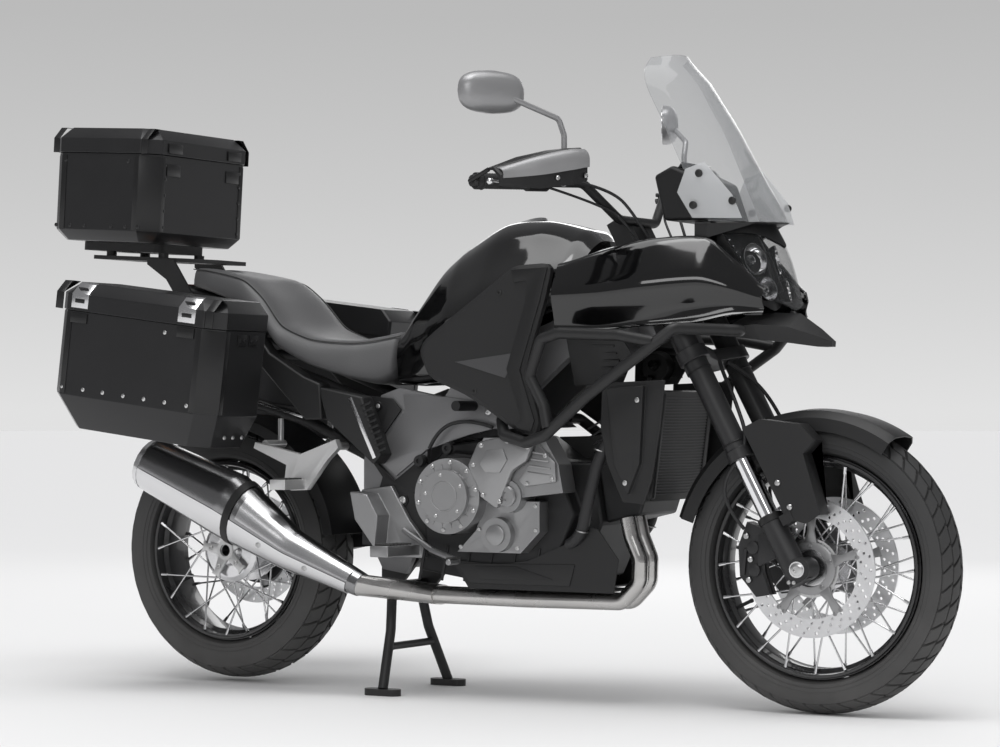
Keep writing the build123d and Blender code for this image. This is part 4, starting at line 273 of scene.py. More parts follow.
@dataclass(frozen=True)
class Finish:
    """One paint, plastic, metal, rubber or glass finish."""

    COAT_ROUGHNESS = 0.04
    IOR = 1.46

    name: str
    colour: tuple[float, float, float]
    roughness: float
    metallic: float = 0.0
    coat: float = 0.0
    grain: Grain = Grain.NONE
    variation: float = 0.15
    dust: float = 0.0
    alpha: float = 1.0
    rim_alpha: float = 0.0

    def material(self, kit: ShaderKit) -> bpy.types.Material:
        """Builds the finish's material, or finds it if it is already made.

        Args:
            kit: the shared node groups.

        Returns:
            The material.
        """
        made = bpy.data.materials.get(self.name)
        if made is not None:
            return made
        made = bpy.data.materials.new(self.name)
        made.use_nodes = True
        tree = made.node_tree
        body = tree.nodes["Principled BSDF"]
        constants = {
            "Metallic": self.metallic,
            "Coat Weight": self.coat,
            "Coat Roughness": self.COAT_ROUGHNESS,
            "Alpha": self.alpha,
            "IOR": self.IOR,
        }
        for socket, value in constants.items():
            body.inputs[socket].default_value = value
        age = tree.nodes.new("ShaderNodeGroup")
        age.node_tree = kit.age
        age.inputs["Color"].default_value = (*self.colour, 1.0)
        age.inputs["Amount"].default_value = self.variation
        age.inputs["Roughness"].default_value = self.roughness
        age.inputs["Dust"].default_value = self.dust
        wire(tree, (age.outputs["Color"], body.inputs["Base Color"]))
        wire(tree, (age.outputs["Roughness"], body.inputs["Roughness"]))
        if self.rim_alpha:
            facing = add_node(tree, "LayerWeight", "", {"Blend": 0.35})
            spread = add_node(tree, "MapRange", "", {"To Min": self.alpha, "To Max": self.rim_alpha})
            wire(tree, (facing.outputs["Facing"], spread.inputs["Value"]), (spread.outputs[0], body.inputs["Alpha"]))
        if self.grain is not Grain.NONE:
            size = GRAINS[self.grain]
            pattern = tree.nodes.new("ShaderNodeGroup")
            pattern.node_tree = kit.grain
            pattern.inputs["Scale"].default_value = size.scale
            pattern.inputs["Detail"].default_value = size.detail
            pattern.inputs["Stretch"].default_value = size.stretch
            bump = add_node(tree, "Bump", "", {"Strength": size.depth, "Distance": 0.0006})
            wire(tree, (pattern.outputs["Height"], bump.inputs["Height"]))
            wire(tree, (bump.outputs["Normal"], body.inputs["Normal"]))
        return made


class Look:
    """The motorcycle's finishes, by what they cover."""

    TYRE = Finish("tyre_rubber", (0.033, 0.033, 0.0335), 0.58, grain=Grain.RUBBER, dust=0.5)
    RIM = Finish("rim_gloss_black", (0.012, 0.012, 0.013), 0.28, coat=0.5, dust=0.15)
    SPOKE = Finish("spoke_steel", (0.72, 0.72, 0.73), 0.22, metallic=1.0)
    DISC = Finish("disc_ground_steel", (0.82, 0.82, 0.83), 0.36, metallic=1.0, grain=Grain.BRUSHED)
    FORK = Finish("fork_satin_black", (0.02, 0.02, 0.021), 0.42, grain=Grain.MOULDED, variation=0.1)
    CHROME = Finish("slider_chrome", (0.85, 0.85, 0.87), 0.08, metallic=1.0, variation=0.02)
    BAR = Finish("bar_powder_black", (0.014, 0.014, 0.0145), 0.46, grain=Grain.CAST, dust=0.1)
    GRIP = Finish("grip_ribbed_rubber", (0.022, 0.022, 0.023), 0.7, grain=Grain.RUBBER)
    SATIN = Finish("satin_black_plastic", (0.008, 0.008, 0.0085), 0.45, grain=Grain.MOULDED)
    GUARD = Finish("guard_silver_grey", (0.27, 0.27, 0.274), 0.4, metallic=0.4, grain=Grain.MOULDED)
    PANEL = Finish("panel_matt_grey", (0.013, 0.013, 0.0135), 0.5, grain=Grain.MOULDED, variation=0.08)
    PANEL_LIGHT = Finish("panel_inset_grey", (0.05, 0.05, 0.052), 0.55, grain=Grain.MOULDED)
    FRAME = Finish("frame_silver_grey", (0.2, 0.2, 0.204), 0.4, metallic=0.6, grain=Grain.CAST)
    ARM = Finish("arm_dark_cast", (0.04, 0.04, 0.042), 0.45, metallic=0.4, grain=Grain.CAST)
    ENGINE = Finish("engine_dark_cast", (0.03, 0.03, 0.031), 0.5, metallic=0.5, grain=Grain.CAST)
    COVER = Finish("cover_silver_cast", (0.33, 0.33, 0.334), 0.38, metallic=0.85, grain=Grain.CAST)
    BRIGHT = Finish("bright_alloy", (0.75, 0.75, 0.76), 0.2, metallic=1.0, variation=0.05)
    BOLT = Finish("bolt_zinc", (0.6, 0.6, 0.6), 0.3, metallic=1.0)
    BLACK_BOLT = Finish("bolt_black", (0.03, 0.03, 0.03), 0.4, metallic=0.5)
    CORE = Finish("radiator_core", (0.03, 0.03, 0.03), 0.5, metallic=0.4)
    PIPE = Finish("exhaust_steel", (0.55, 0.54, 0.53), 0.26, metallic=1.0, variation=0.35)
    SHELL = Finish("silencer_shell", (0.3, 0.3, 0.305), 0.22, metallic=1.0, variation=0.1)
    SHIELD = Finish("heat_shield_bright", (0.72, 0.72, 0.73), 0.24, metallic=1.0, variation=0.1)
    GLOSS = Finish("gloss_black_paint", (0.002, 0.002, 0.0022), 0.1, coat=0.8, variation=0.02)
    LENS = Finish("headlight_glass", (0.06, 0.062, 0.064), 0.03, alpha=0.08, rim_alpha=0.4, coat=1.0, variation=0.0)
    REFLECTOR = Finish("lamp_reflector", (0.8, 0.8, 0.81), 0.1, metallic=1.0)
    FACET = Finish("lamp_facets", (0.3, 0.3, 0.31), 0.18, metallic=1.0, variation=0.5)
    SCREEN = Finish("screen_clear", (0.32, 0.33, 0.34), 0.03, alpha=0.16, rim_alpha=0.55, coat=0.6, variation=0.0)
    WING = Finish("deflector_clear", (0.62, 0.63, 0.64), 0.12, alpha=0.5, rim_alpha=0.75, variation=0.0)
    DIAL = Finish("dash_glass", (0.01, 0.012, 0.014), 0.05, coat=1.0, variation=0.0)
    VINYL = Finish("seat_soft_vinyl", (0.07, 0.07, 0.072), 0.46, grain=Grain.LEATHER, variation=0.12)
    STITCH = Finish("seat_stitch", (0.04, 0.04, 0.04), 0.6)
    TAIL_LENS = Finish("tail_lens_red", (0.35, 0.012, 0.012), 0.12, coat=1.0, variation=0.03)
    CASE = Finish("case_satin_black", (0.022, 0.022, 0.023), 0.32, metallic=0.4, grain=Grain.BRUSHED, coat=0.12)
    CORNER = Finish("case_corner_black", (0.01, 0.01, 0.0105), 0.3, grain=Grain.MOULDED, variation=0.05)
    PEG_PLATE = Finish("peg_plate_silver", (0.6, 0.6, 0.6), 0.34, metallic=0.7, grain=Grain.CAST)
    HORN = Finish("horn_black", (0.012, 0.012, 0.012), 0.35)
    MIRROR = Finish("mirror_glass", (0.85, 0.86, 0.88), 0.03, metallic=1.0, variation=0.0)
    MIRROR_BACK = Finish("mirror_shell_grey", (0.3, 0.3, 0.305), 0.34, metallic=0.5, grain=Grain.MOULDED)
    HOSE = Finish("hose_rubber", (0.018, 0.018, 0.019), 0.5, grain=Grain.RUBBER)
    PEG_RUBBER = Finish("peg_rubber", (0.03, 0.03, 0.03), 0.7, grain=Grain.RUBBER)


# ------------------------------------------------------------------ workshop
@dataclass
class Piece:
    """A mesh piece under construction, in metres, with millimetre inputs."""

    name: str
    bm: bmesh.types.BMesh = field(default_factory=bmesh.new)

    @staticmethod
    def _turn(axis: Vector) -> Matrix:
        """Rotation that takes +Z to an axis."""
        return axis.to_track_quat("Z", "Y").to_matrix().to_4x4()

    def _ease(self, verts: Sequence[bmesh.types.BMVert], edge: float) -> None:
        """Rounds the edges at some vertices by a radius in mm, where it isn't zero."""
        if edge:
            edges = list({e for v in verts for e in v.link_edges})
            bmesh.ops.bevel(
                self.bm,
                geom=edges,
                offset=edge * MM,
                segments=2,
                affect="EDGES",
                profile=0.5,
                material=-1,
                clamp_overlap=True,
            )

    def rod(
        self,
        start: Sequence[float],
        end: Sequence[float],
        radius: float,
        end_radius: float | None = None,
        sides: int = 20,
    ) -> "Piece":
        """Adds a round bar or cone between two points.

        Args:
            start: centre of the first end.
            end: centre of the other end.
            radius: radius at the start.
            end_radius: radius at the end, the same where None.
            sides: faces round it.

        Returns:
            The piece, for more calls.
        """
        a, b = Vector(start), Vector(end)
        run = b - a
        place = Matrix.Translation((a + b) / 2 * MM) @ self._turn(run)
        last = radius if end_radius is None else end_radius
        bmesh.ops.create_cone(
            self.bm,
            cap_ends=True,
            segments=sides,
            radius1=radius * MM,
            radius2=last * MM,
            depth=run.length * MM,
            matrix=place,
        )
        return self

    def block(
        self, centre: Sequence[float], size: Sequence[float], turn: Matrix | None = None, edge: float = 0.0
    ) -> "Piece":
        """Adds a box with rounded edges.

        Args:
            centre: middle of the box.
            size: lengths along its own axes.
            turn: rotation of the box.
            edge: edge radius.

        Returns:
            The piece, for more calls.
        """
        scale = Matrix.Diagonal((size[0] * MM, size[1] * MM, size[2] * MM, 1.0))
        rotate = turn.to_4x4() if turn is not None else Matrix.Identity(4)
        made = bmesh.ops.create_cube(self.bm, size=1.0, matrix=Matrix.Translation(Vector(centre) * MM) @ rotate @ scale)
        self._ease(made["verts"], edge)
        return self

    def plate(self, outline: Sequence[Sequence[float]], push: Sequence[float], edge: float = 0.0) -> "Piece":
        """Adds a flat plate from its outline, thickened along a direction.

        Args:
            outline: corner points in order.
            push: thickness as a vector.
            edge: edge radius.

        Returns:
            The piece, for more calls.
        """
        corners = [self.bm.verts.new(Vector(p) * MM) for p in outline]
        face = self.bm.faces.new(corners)
        grown = bmesh.ops.extrude_face_region(self.bm, geom=[face], use_keep_orig=True)
        moved = [g for g in grown["geom"] if isinstance(g, bmesh.types.BMVert)]
        bmesh.ops.translate(self.bm, verts=moved, vec=Vector(push) * MM)
        self._ease(corners + moved, edge)
        return self

    def panels(
        self, outline: Iterable[Sequence[float]], out: float, thickness: float, edge: float = 0.0
    ) -> "Piece":
        """Adds the same plate on both sides, from its outline in side view.

        Args:
            outline: forward place and height of each corner.
            out: distance of its inner face from the centre plane.
            thickness: its thickness, outwards.
            edge: edge radius.

        Returns:
            The piece, for more calls.
        """
        for side in SIDES:
            self.plate([(x, side * out, z) for x, z in outline], (0, side * thickness, 0), edge)
        return self

    def lathe(
        self, centre: Sequence[float], axis: Sequence[float], profile: Sequence[tuple[float, float]], sides: int = 48
    ) -> "Piece":
        """Adds a turned solid from a profile of distance along the axis and radius.

        Args:
            centre: point on the axis that the distances start from.
            axis: direction of the axis.
            profile: distance and radius of each corner.
            sides: steps round the axis.

        Returns:
            The piece, for more calls.
        """
        turn = self._turn(Vector(axis)).to_3x3()
        points = [self.bm.verts.new((Vector(centre) + turn @ Vector((r, 0, d))) * MM) for d, r in profile]
        edges = [self.bm.edges.new(pair) for pair in zip(points, points[1:])]
        bmesh.ops.spin(
            self.bm,
            geom=points + edges,
            cent=Vector(centre) * MM,
            axis=Vector(axis).normalized(),
            angle=math.tau,
            steps=sides,
            use_merge=True,
            use_duplicate=False,
        )
        return self

    def ring(
        self,
        centre: Sequence[float],
        axis: Sequence[float],
        radius: float,
        tube: float,
        sides: int = 40,
        around: int = 10,
    ) -> "Piece":
        """Adds a round-section ring.

        Args:
            centre: middle of the ring.
            axis: direction through it.
            radius: ring radius to the middle of its section.
            tube: section radius.
            sides: steps round the ring.
            around: steps round the section.

        Returns:
            The piece, for more calls.
        """
        loop = [
            (tube * math.sin(k * math.tau / around), radius + tube * math.cos(k * math.tau / around))
            for k in range(around + 1)
        ]
        return self.lathe(centre, axis, loop, sides)

    def bolt(self, seat: Sequence[float], out: Sequence[float], radius: float, height: float) -> "Piece":
        """Adds a button bolt with a socket, seated on a face.

        Args:
            seat: point on the face.
            out: direction away from the face.
            radius: head radius.
            height: head height.

        Returns:
            The piece, for more calls.
        """
        hole = radius * 0.45
        profile = [(-1.0, 0.0), (-1.0, radius), (height * 0.55, radius), (height, radius * 0.72)]
        profile += [(height, hole), (height * 0.35, hole), (height * 0.35, 0.0)]
        return self.lathe(seat, out, profile, 16)

    def studs(self, places: Iterable[Sequence[float]], out: float, radius: float, height: float) -> "Piece":
        """Adds the same button bolts on both sides.

        Args:
            places: forward place and height of each bolt.
            out: distance of their faces from the centre plane.
            radius: head radius.
            height: head height.

        Returns:
            The piece, for more calls.
        """
        for side in SIDES:
            for x, z in places:
                self.bolt((x, side * out, z), (0, side, 0), radius, height)
        return self

    def tube(self, points: Sequence[Sequence[float]], radius: float, sides: int = 6) -> "Piece":
        """Adds a smooth round tube that follows control points.

        Args:
            points: control points of the centre line.
            radius: tube radius.
            sides: bevel resolution of the section.

        Returns:
            The piece, for more calls.
        """
        line = bpy.data.curves.new(self.name + "_line", "CURVE")
        line.dimensions = "3D"
        line.bevel_depth = radius * MM
        line.bevel_resolution = sides // 2
        line.use_fill_caps = True
        line.resolution_u = 8
        spline = line.splines.new("NURBS")
        spline.points.add(len(points) - 1)
        for point, place in zip(spline.points, points):
            point.co = (*(Vector(place) * MM), 1.0)
        spline.order_u = 3
        spline.use_endpoint_u = True
        holder = bpy.data.objects.new(self.name + "_line", line)
        bpy.context.scene.collection.objects.link(holder)
        mesh = bpy.data.meshes.new_from_object(holder)
        self.bm.from_mesh(mesh)
        bpy.data.objects.remove(holder)
        bpy.data.curves.remove(line)
        bpy.data.meshes.remove(mesh)
        return self

    def pierced(
        self,
        loops: Iterable[tuple[Sequence[float], float, int]],
        axis: Sequence[float],
        thickness: float,
    ) -> "Piece":
        """Adds a flat sheet with holes, thickened along an axis.

        Args:
            loops: centre, radius and sides of every circle, rims and holes alike.
            axis: the sheet's normal.
            thickness: its thickness along the axis.

        Returns:
            The piece, for more calls.
        """
        edges: list[bmesh.types.BMEdge] = []
        turn = self._turn(Vector(axis))
        for centre, radius, sides in loops:
            made = bmesh.ops.create_circle(
                self.bm, segments=sides, radius=radius * MM, matrix=Matrix.Translation(Vector(centre) * MM) @ turn
            )
            edges += list({e for v in made["verts"] for e in v.link_edges})
        filled = bmesh.ops.triangle_fill(self.bm, use_beauty=True, use_dissolve=False, edges=edges)
        faces = [g for g in filled["geom"] if isinstance(g, bmesh.types.BMFace)]
        grown = bmesh.ops.extrude_face_region(self.bm, geom=faces, use_keep_orig=True)
        moved = [g for g in grown["geom"] if isinstance(g, bmesh.types.BMVert)]
        bmesh.ops.translate(self.bm, verts=moved, vec=Vector(axis).normalized() * thickness * MM)
        return self

    def loft(self, rows: Sequence[Sequence[Vector]], closed: bool = True) -> "Piece":
        """Adds a skin over rows of points, with as many points in each row.

        Args:
            rows: the rows, in mm.
            closed: whether each row is a closed loop, which also fills both ends.

        Returns:
            The piece, for more calls.
        """
        grid = [[self.bm.verts.new(Vector(p) * MM) for p in row] for row in rows]
        for a, b in zip(grid, grid[1:]):
            for k in range(len(a) - (0 if closed else 1)):
                nxt = (k + 1) % len(a)
                self.bm.faces.new((a[k], a[nxt], b[nxt], b[k]))
        if closed:
            self.bm.faces.new(list(reversed(grid[0])))
            self.bm.faces.new(grid[-1])
        return self

    def thicken(self, wall: float) -> "Piece":
        """Gives the open skin a wall thickness in mm, after setting its normals."""
        bmesh.ops.recalc_face_normals(self.bm, faces=self.bm.faces[:])
        bmesh.ops.solidify(self.bm, geom=self.bm.faces[:], thickness=wall * MM)
        return self

    def mirrored(self) -> "Piece":
        """Adds the same shapes on the other side of the centre plane."""
        geom = self.bm.verts[:] + self.bm.edges[:] + self.bm.faces[:]
        bmesh.ops.mirror(self.bm, geom=geom, matrix=Matrix.Identity(4), merge_dist=-1.0, axis="Y")
        return self

    def finish(
        self,
        kit: ShaderKit,
        look: Finish,
        body: str,
        slot: str,
        replaced: Sequence[str] = (),
        smooth: float = 38.0,
    ) -> bpy.types.Object:
        """Closes the mesh, dresses it and puts it on its body.

        Args:
            kit: the shared node groups.
            look: the finish.
            body: the CAD body it rides on.
            slot: the record's material slot, which is not used.
            replaced: CAD nodes it stands for.
            smooth: largest angle that is shaded smooth, in degrees.

        Returns:
            The finished object.
        """
        bmesh.ops.remove_doubles(self.bm, verts=self.bm.verts[:], dist=0.00001)
        bmesh.ops.recalc_face_normals(self.bm, faces=self.bm.faces[:])
        mesh = bpy.data.meshes.new(self.name)
        self.bm.to_mesh(mesh)
        self.bm.free()
        return dress_mesh(self.name, mesh, kit, look, body, replaced, smooth)


def rounded(points: Sequence[Sequence[float]], rounds: int, closed: bool, share: float = 0.25) -> list[Vector]:
    """Cuts the corners of a line of points again and again.

    Args:
        points: the corners.
        rounds: how often they are cut.
        closed: whether the line is a loop.
        share: how far along each side a cut starts.

    Returns:
        The smoother line, which keeps its ends where it is open.
    """
    line = [Vector(p) for p in points]
    for _ in range(rounds):
        pairs = list(zip(line, line[1:] + line[:1])) if closed else list(zip(line, line[1:]))
        cut = []
        for a, b in pairs:
            cut += [a.lerp(b, share), a.lerp(b, 1 - share)]
        line = cut if closed else [line[0]] + cut[1:-1] + [line[-1]]
    return line


def flow(stations: Sequence[Sequence[float]], count: int, curve: float = 0.75) -> list[tuple[float, ...]]:
    """Eases a table of stations into close, even steps along its first column.

    Args:
        stations: the drawn rows, in order of their first value.
        count: number of steps.
        curve: share of the curved course, the rest is straight.

    Returns:
        The close rows.
    """
    rows = []
    first, last = stations[0][0], stations[-1][0]
    top = len(stations) - 1
    for n in range(count + 1):
        at = first + (last - first) * n / count
        i = max(k for k in range(top) if stations[k][0] <= at + 1e-9)
        share = (at - stations[i][0]) / (stations[i + 1][0] - stations[i][0])
        a, b, c, d = (stations[max(0, min(top, i + k))] for k in (-1, 0, 1, 2))
        row = [at]
        for w, x, y, z in list(zip(a, b, c, d))[1:]:
            square, cube = 2 * w - 5 * x + 4 * y - z, 3 * x - w - 3 * y + z
            bend = 0.5 * (2 * x + (y - w) * share + square * share**2 + cube * share**3)
            row.append(curve * bend + (1 - curve) * (x + (y - x) * share))
        rows.append(tuple(row))
    return rows


def mirror_facing(side: int) -> Vector:
    """Direction that the back of one mirror's housing faces."""
    return Vector((math.cos(MIRROR_YAW), side * math.sin(MIRROR_YAW), 0))


def mirror_rim(side: int, reach: float, wide: float, tall: float) -> list[Vector]:
    """Rounded rectangle round one mirror's middle.

    Args:
        side: 1 for the left and -1 for the right.
        reach: distance from the mirror's middle, towards the back of its housing.
        wide: half width.
        tall: half height.

    Returns:
        Its points.
    """
    facing = mirror_facing(side)
    middle = Vector((MIRROR_PLACE.x, side * MIRROR_PLACE.y, MIRROR_PLACE.z)) + facing * reach
    across = Vector((-facing.y, facing.x, 0))
    loop = []
    for angle in turned(48):
        c, n = math.cos(angle), math.sin(angle)
        out, up = math.copysign(abs(c) ** 0.72, c) * wide, math.copysign(abs(n) ** 0.72, n) * tall
        loop.append(middle + across * out + Vector((0, 0, up)))
    return loop


def dress_mesh(
    name: str,
    mesh: bpy.types.Mesh,
    kit: ShaderKit,
    look: Finish,
    body: str,
    replaced: Sequence[str] = (),
    smooth: float = 38.0,
) -> bpy.types.Object:
    """Makes an object of a mesh, with its finish and body.

    Args:
        name: the piece's name.
        mesh: its finished mesh.
        kit: the shared node groups.
        look: the finish.
        body: the CAD body it rides on.
        replaced: CAD nodes it stands for.
        smooth: largest angle that is shaded smooth, in degrees.

    Returns:
        The object.
    """
    for face in mesh.polygons:
        face.use_smooth = True
    mesh.set_sharp_from_angle(angle=math.radians(smooth))
    mesh.materials.clear()
    mesh.materials.append(look.material(kit))
    made = bpy.data.objects.new(name, mesh)
    bpy.context.scene.collection.objects.link(made)
    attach(made, body)
    if replaced:
        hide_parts(*replaced)
    LOG.info("piece %s on %s: %d faces", name, body, len(mesh.polygons))
    return made


class Assembly:
    """A group of pieces that are built with the same node groups."""

    def __init__(self, kit: ShaderKit) -> None:
        """Keeps the shared node groups."""
        self.kit = kit

    def build(self) -> None:
        """Builds the group's pieces."""
        raise NotImplementedError


# ------------------------------------------------------------------ carried solids
@dataclass(frozen=True)
class Eased:
    """How one solid is carried over: its finish and its eased edges."""

    node: str
    look: Finish
    edge: float = 0.0
    steps: int = 2
    smooth: float = 38.0


EASED = (
    Eased("front_rim", Look.RIM, 1.2),
    Eased("rear_rim", Look.RIM, 1.2),
    Eased("fork_outer_tubes", Look.FORK, 1.5),
    Eased("fork_bottoms", Look.FORK, 2.0),
    Eased("triple_clamps", Look.FORK, 3.0),
    Eased("front_calipers", Look.FORK, 4.0),
    Eased("rear_caliper", Look.FORK, 3.0),
    Eased("hand_guards", Look.SATIN, 1.4),
    Eased("bar_controls", Look.SATIN, 3.0),
    Eased("mirrors", Look.MIRROR_BACK, 3.0),
    Eased("front_mudguard", Look.PANEL, 1.3),
    Eased("main_frame", Look.FRAME, 5.0),
    Eased("engine_case", Look.ENGINE, 6.0),
    Eased("cylinder_heads", Look.ENGINE, 6.0),
    Eased("engine_covers", Look.COVER, 5.0, 3),
    Eased("belly_pan", Look.PANEL, 1.5),
    Eased("radiator_cowls", Look.PANEL, 1.8),
    Eased("silencer", Look.SHELL, 2.0),
    Eased("nose_fairing", Look.PANEL, 4.0, 3),
    Eased("instrument_panel", Look.SATIN, 8.0, 3),
    Eased("side_covers", Look.PANEL, 5.0, 3),
    Eased("tail_section", Look.SATIN, 9.0, 3),
    Eased("tail_light", Look.TAIL_LENS, 5.0, 3),
    Eased("rear_mudguard", Look.SATIN, 1.5),
    Eased("luggage_rack", Look.BAR, 1.5),
    Eased("top_case", Look.CASE, 3.0),
    Eased("top_case_lid", Look.CASE, 5.0, 3),
    Eased("pannier_right", Look.CASE, 3.0),
    Eased("pannier_left", Look.CASE, 3.0),
    Eased("pannier_lid_right", Look.CASE, 4.0, 3),
    Eased("pannier_lid_left", Look.CASE, 4.0, 3),
    Eased("swingarm", Look.ARM, 6.0, 3),
    Eased("rear_hugger", Look.SATIN, 1.2),
    Eased("footrests", Look.COVER, 3.0),
    Eased("passenger_footrests", Look.PEG_PLATE, 4.0),
    Eased("stand_brackets", Look.BAR, 2.0),
    Eased("centre_stand", Look.BAR, 1.5),
    Eased("side_stand", Look.BAR, 1.5),
)

CARRIED = {
    "front_hub": Look.SPOKE,
    "rear_hub": Look.SPOKE,
    "fork_sliders": Look.CHROME,
    "front_axle": Look.BRIGHT,
    "handlebar": Look.BAR,
    "grips": Look.GRIP,
    "subframe": Look.BAR,
    "radiator": Look.CORE,
    "exhaust_pipes": Look.PIPE,
    "crash_bars": Look.BAR,
    "rear_shock": Look.BAR,
}


class CarriedSolids(Assembly):
    """Carries the CAD solids into the scene, with eased edges where the real ones have them."""

    def ease(self, row: Eased) -> bpy.types.Object:
        """Replaces a solid by a copy with rounded edges.

        Args:
            row: the solid, its finish and edge radius.

        Returns:
            The new piece.
        """
        source = frame["nodes"][row.node]
        bm = bmesh.new()
        bm.from_mesh(source.data)
        bmesh.ops.remove_doubles(bm, verts=bm.verts[:], dist=0.00002)
        bmesh.ops.dissolve_limit(bm, angle_limit=math.radians(0.6), verts=bm.verts[:], edges=bm.edges[:])
        mesh = bpy.data.meshes.new(row.node + "_eased")
        bm.to_mesh(mesh)
        bm.free()
        body = BODY_OF_NODE[row.node]
        made = dress_mesh(
            row.node + "_eased", mesh, self.kit, row.look, body, (row.node,), row.smooth
        )
        ease = made.modifiers.new("eased_edges", "BEVEL")
        ease.width = row.edge * MM
        ease.segments = row.steps
        ease.limit_method = "ANGLE"
        ease.angle_limit = math.radians(24.0)
        ease.use_clamp_overlap = True
        ease.harden_normals = False
        return made

    def build(self) -> None:
        """Carries every solid over."""
        for row in EASED:
            self.ease(row)
        for node, look in CARRIED.items():
            mesh = frame["nodes"][node].data
            mesh.materials.clear()
            mesh.materials.append(look.material(self.kit))
            LOG.info("solid %s keeps its shape", node)


# ------------------------------------------------------------------ wheels
@dataclass(frozen=True)
class WheelSize:
    """Sizes of one wheel in mm."""

    name: str
    body: str
    axle: Vector
    radius: float
    half_width: float
    bead: float
    bead_half: float
    shoulder: float
    pitch_count: int
    hub_flange: float
    rim_hole: float
    hub_half: float
    rim_half: float


FRONT_WHEEL = WheelSize("front", "front_wheel", FRONT_AXLE, 329, 55, 241.5, 33, 24, 46, 48, 236.5, 34, 41.8)
REAR_WHEEL = WheelSize("rear", "rear_wheel", REAR_AXLE, 321, 75, 216, 54, 27, 40, 74, 211, 40, 62.8)


class Wheel(Assembly):
    """Treaded tyre, spoke nipples, hub bolts and valve of one wheel."""

    TREAD_DEPTH = 6.5
    ROWS = ((-0.86, -0.52, 0.0), (-0.46, -0.04, 0.35), (0.04, 0.46, 0.85), (0.52, 0.86, 0.5))
    SPOKES = 20
    LEAN = math.radians(55)

    def __init__(self, kit: ShaderKit, size: WheelSize) -> None:
        """Keeps the finishes and the sizes."""
        super().__init__(kit)
        self.size = size

    def crown(self, across: float) -> float:
        """Radius of the tread surface at a place across the tyre, in mm."""
        edge = 0.9 * self.size.half_width
        return self.size.radius - self.size.shoulder * (min(abs(across), edge) / edge) ** 2.1

    def place(self, angle: float, across: float, radius: float) -> Vector:
        """Point on the wheel, in mm, by angle, side and radius."""
        return self.size.axle + Vector((math.cos(angle) * radius, across, math.sin(angle) * radius))

    def section(self) -> list[tuple[float, float]]:
        """Half-round tyre section below the tread blocks, as side and radius pairs."""
        s = self.size
        wide = s.bead + (s.radius - s.bead) * 0.42
        right = [(s.bead_half, s.bead + 10), (s.bead_half + (s.half_width - s.bead_half) * 0.72, s.bead + 18)]
        right += [(s.half_width * 0.985, s.bead + 28), (s.half_width, wide), (s.half_width * 0.965, wide + 14)]
        edge = 0.9 * s.half_width
        right += [(edge + 1.0, s.radius - s.shoulder - 2.0), (edge - 2.0, self.crown(edge) - 1.5)]
        right += [(edge * f, self.crown(edge * f) - self.TREAD_DEPTH) for f in (0.9, 0.7, 0.5, 0.3, 0.12)]
        return [(-y, r) for y, r in right] + [(0.0, s.radius - self.TREAD_DEPTH)] + [(y, r) for y, r in reversed(right)]

    def blocks(self, piece: Piece) -> None:
        """Adds the tread blocks in a chevron pattern.

        Args:
            piece: the tyre under construction.
        """
        s = self.size
        step = math.tau / s.pitch_count
        for row, (start, end, phase) in enumerate(self.ROWS):
            sweep = 0.5 * step
            for n in range(s.pitch_count):
                base = (n + phase) * step
                top, low = [], []
                for i in range(4):
                    share = i / 3
                    across = (start + (end - start) * share) * s.half_width
                    lean = sweep * (share if row < 2 else 1 - share)
                    for k in (0, 1):
                        angle = base + lean + k * step * 0.8
                        reach = self.crown(across)
                        top.append(piece.bm.verts.new(self.place(angle, across, reach) * MM))
                        root = reach - self.TREAD_DEPTH - 2
                        low.append(piece.bm.verts.new(self.place(angle, across, root) * MM))
                for i in range(3):
                    a, b, c, d = 2 * i, 2 * i + 1, 2 * i + 3, 2 * i + 2
                    piece.bm.faces.new((top[a], top[b], top[c], top[d]))
                    piece.bm.faces.new((top[a], top[d], low[d], low[a]))
                    piece.bm.faces.new((top[b], low[b], low[c], top[c]))
                piece.bm.faces.new((top[0], low[0], low[1], top[1]))
                piece.bm.faces.new((top[6], top[7], low[7], low[6]))

    def tyre(self) -> None:
        """Builds the tyre with its blocks and side ribs."""
        s = self.size
        piece = Piece(f"{s.name}_tyre_treaded")
        closed = self.section()
        closed.append(closed[0])
        piece.lathe(s.axle, (0, 1, 0), closed, 96)
        self.blocks(piece)
        for side in SIDES:
            for lift, out in ((26.0, 0.974), (36.0, 0.996)):
                piece.ring(s.axle + Vector((0, side * s.half_width * out, 0)), (0, 1, 0), s.bead + lift, 0.9, 72, 6)
        piece.finish(self.kit, Look.TYRE, s.body, "tyre", (f"{s.name}_tyre",), 30.0)

    def fittings(self) -> None:
        """Builds the nipples at the rim, the valve and the hub bolts."""
        s = self.size
        piece = Piece(f"{s.name}_wheel_fittings")
        for side in SIDES:
            for i in range(self.SPOKES):
                angle = (i + (0.5 if side > 0 else 0.0)) * math.tau / self.SPOKES
                lean = self.LEAN * (1 if i % 2 else -1)
                outer = self.place(angle, side * s.rim_half, s.rim_hole)
                inner = self.place(angle + lean, side * s.hub_half, s.hub_flange)
                run = (inner - outer).normalized()
                piece.rod(outer, outer + run * 16, 4.2, 3.4, 8)
                piece.rod(inner, inner - run * 6, 3.6, 3.0, 8)
        for side in SIDES:
            for angle in turned(6, 0.2):
                seat = self.place(angle, side * (s.hub_half + 3), s.hub_flange * 0.62)
                piece.bolt(seat, (0, side, 0), 5.0, 4.0)
        piece.finish(self.kit, Look.SPOKE, s.body, "hub_alloy")
        valve = Piece(f"{s.name}_valve")
        foot = self.place(math.radians(205), 0, s.bead - 12)
        tip = self.place(math.radians(205), 0, s.bead - 46)
        valve.rod(foot, tip, 4.2, 4.2, 12).rod(tip, tip + (tip - foot) * 0.16, 5.2, 4.6, 12)
        valve.finish(self.kit, Look.HOSE, s.body, "tyre")

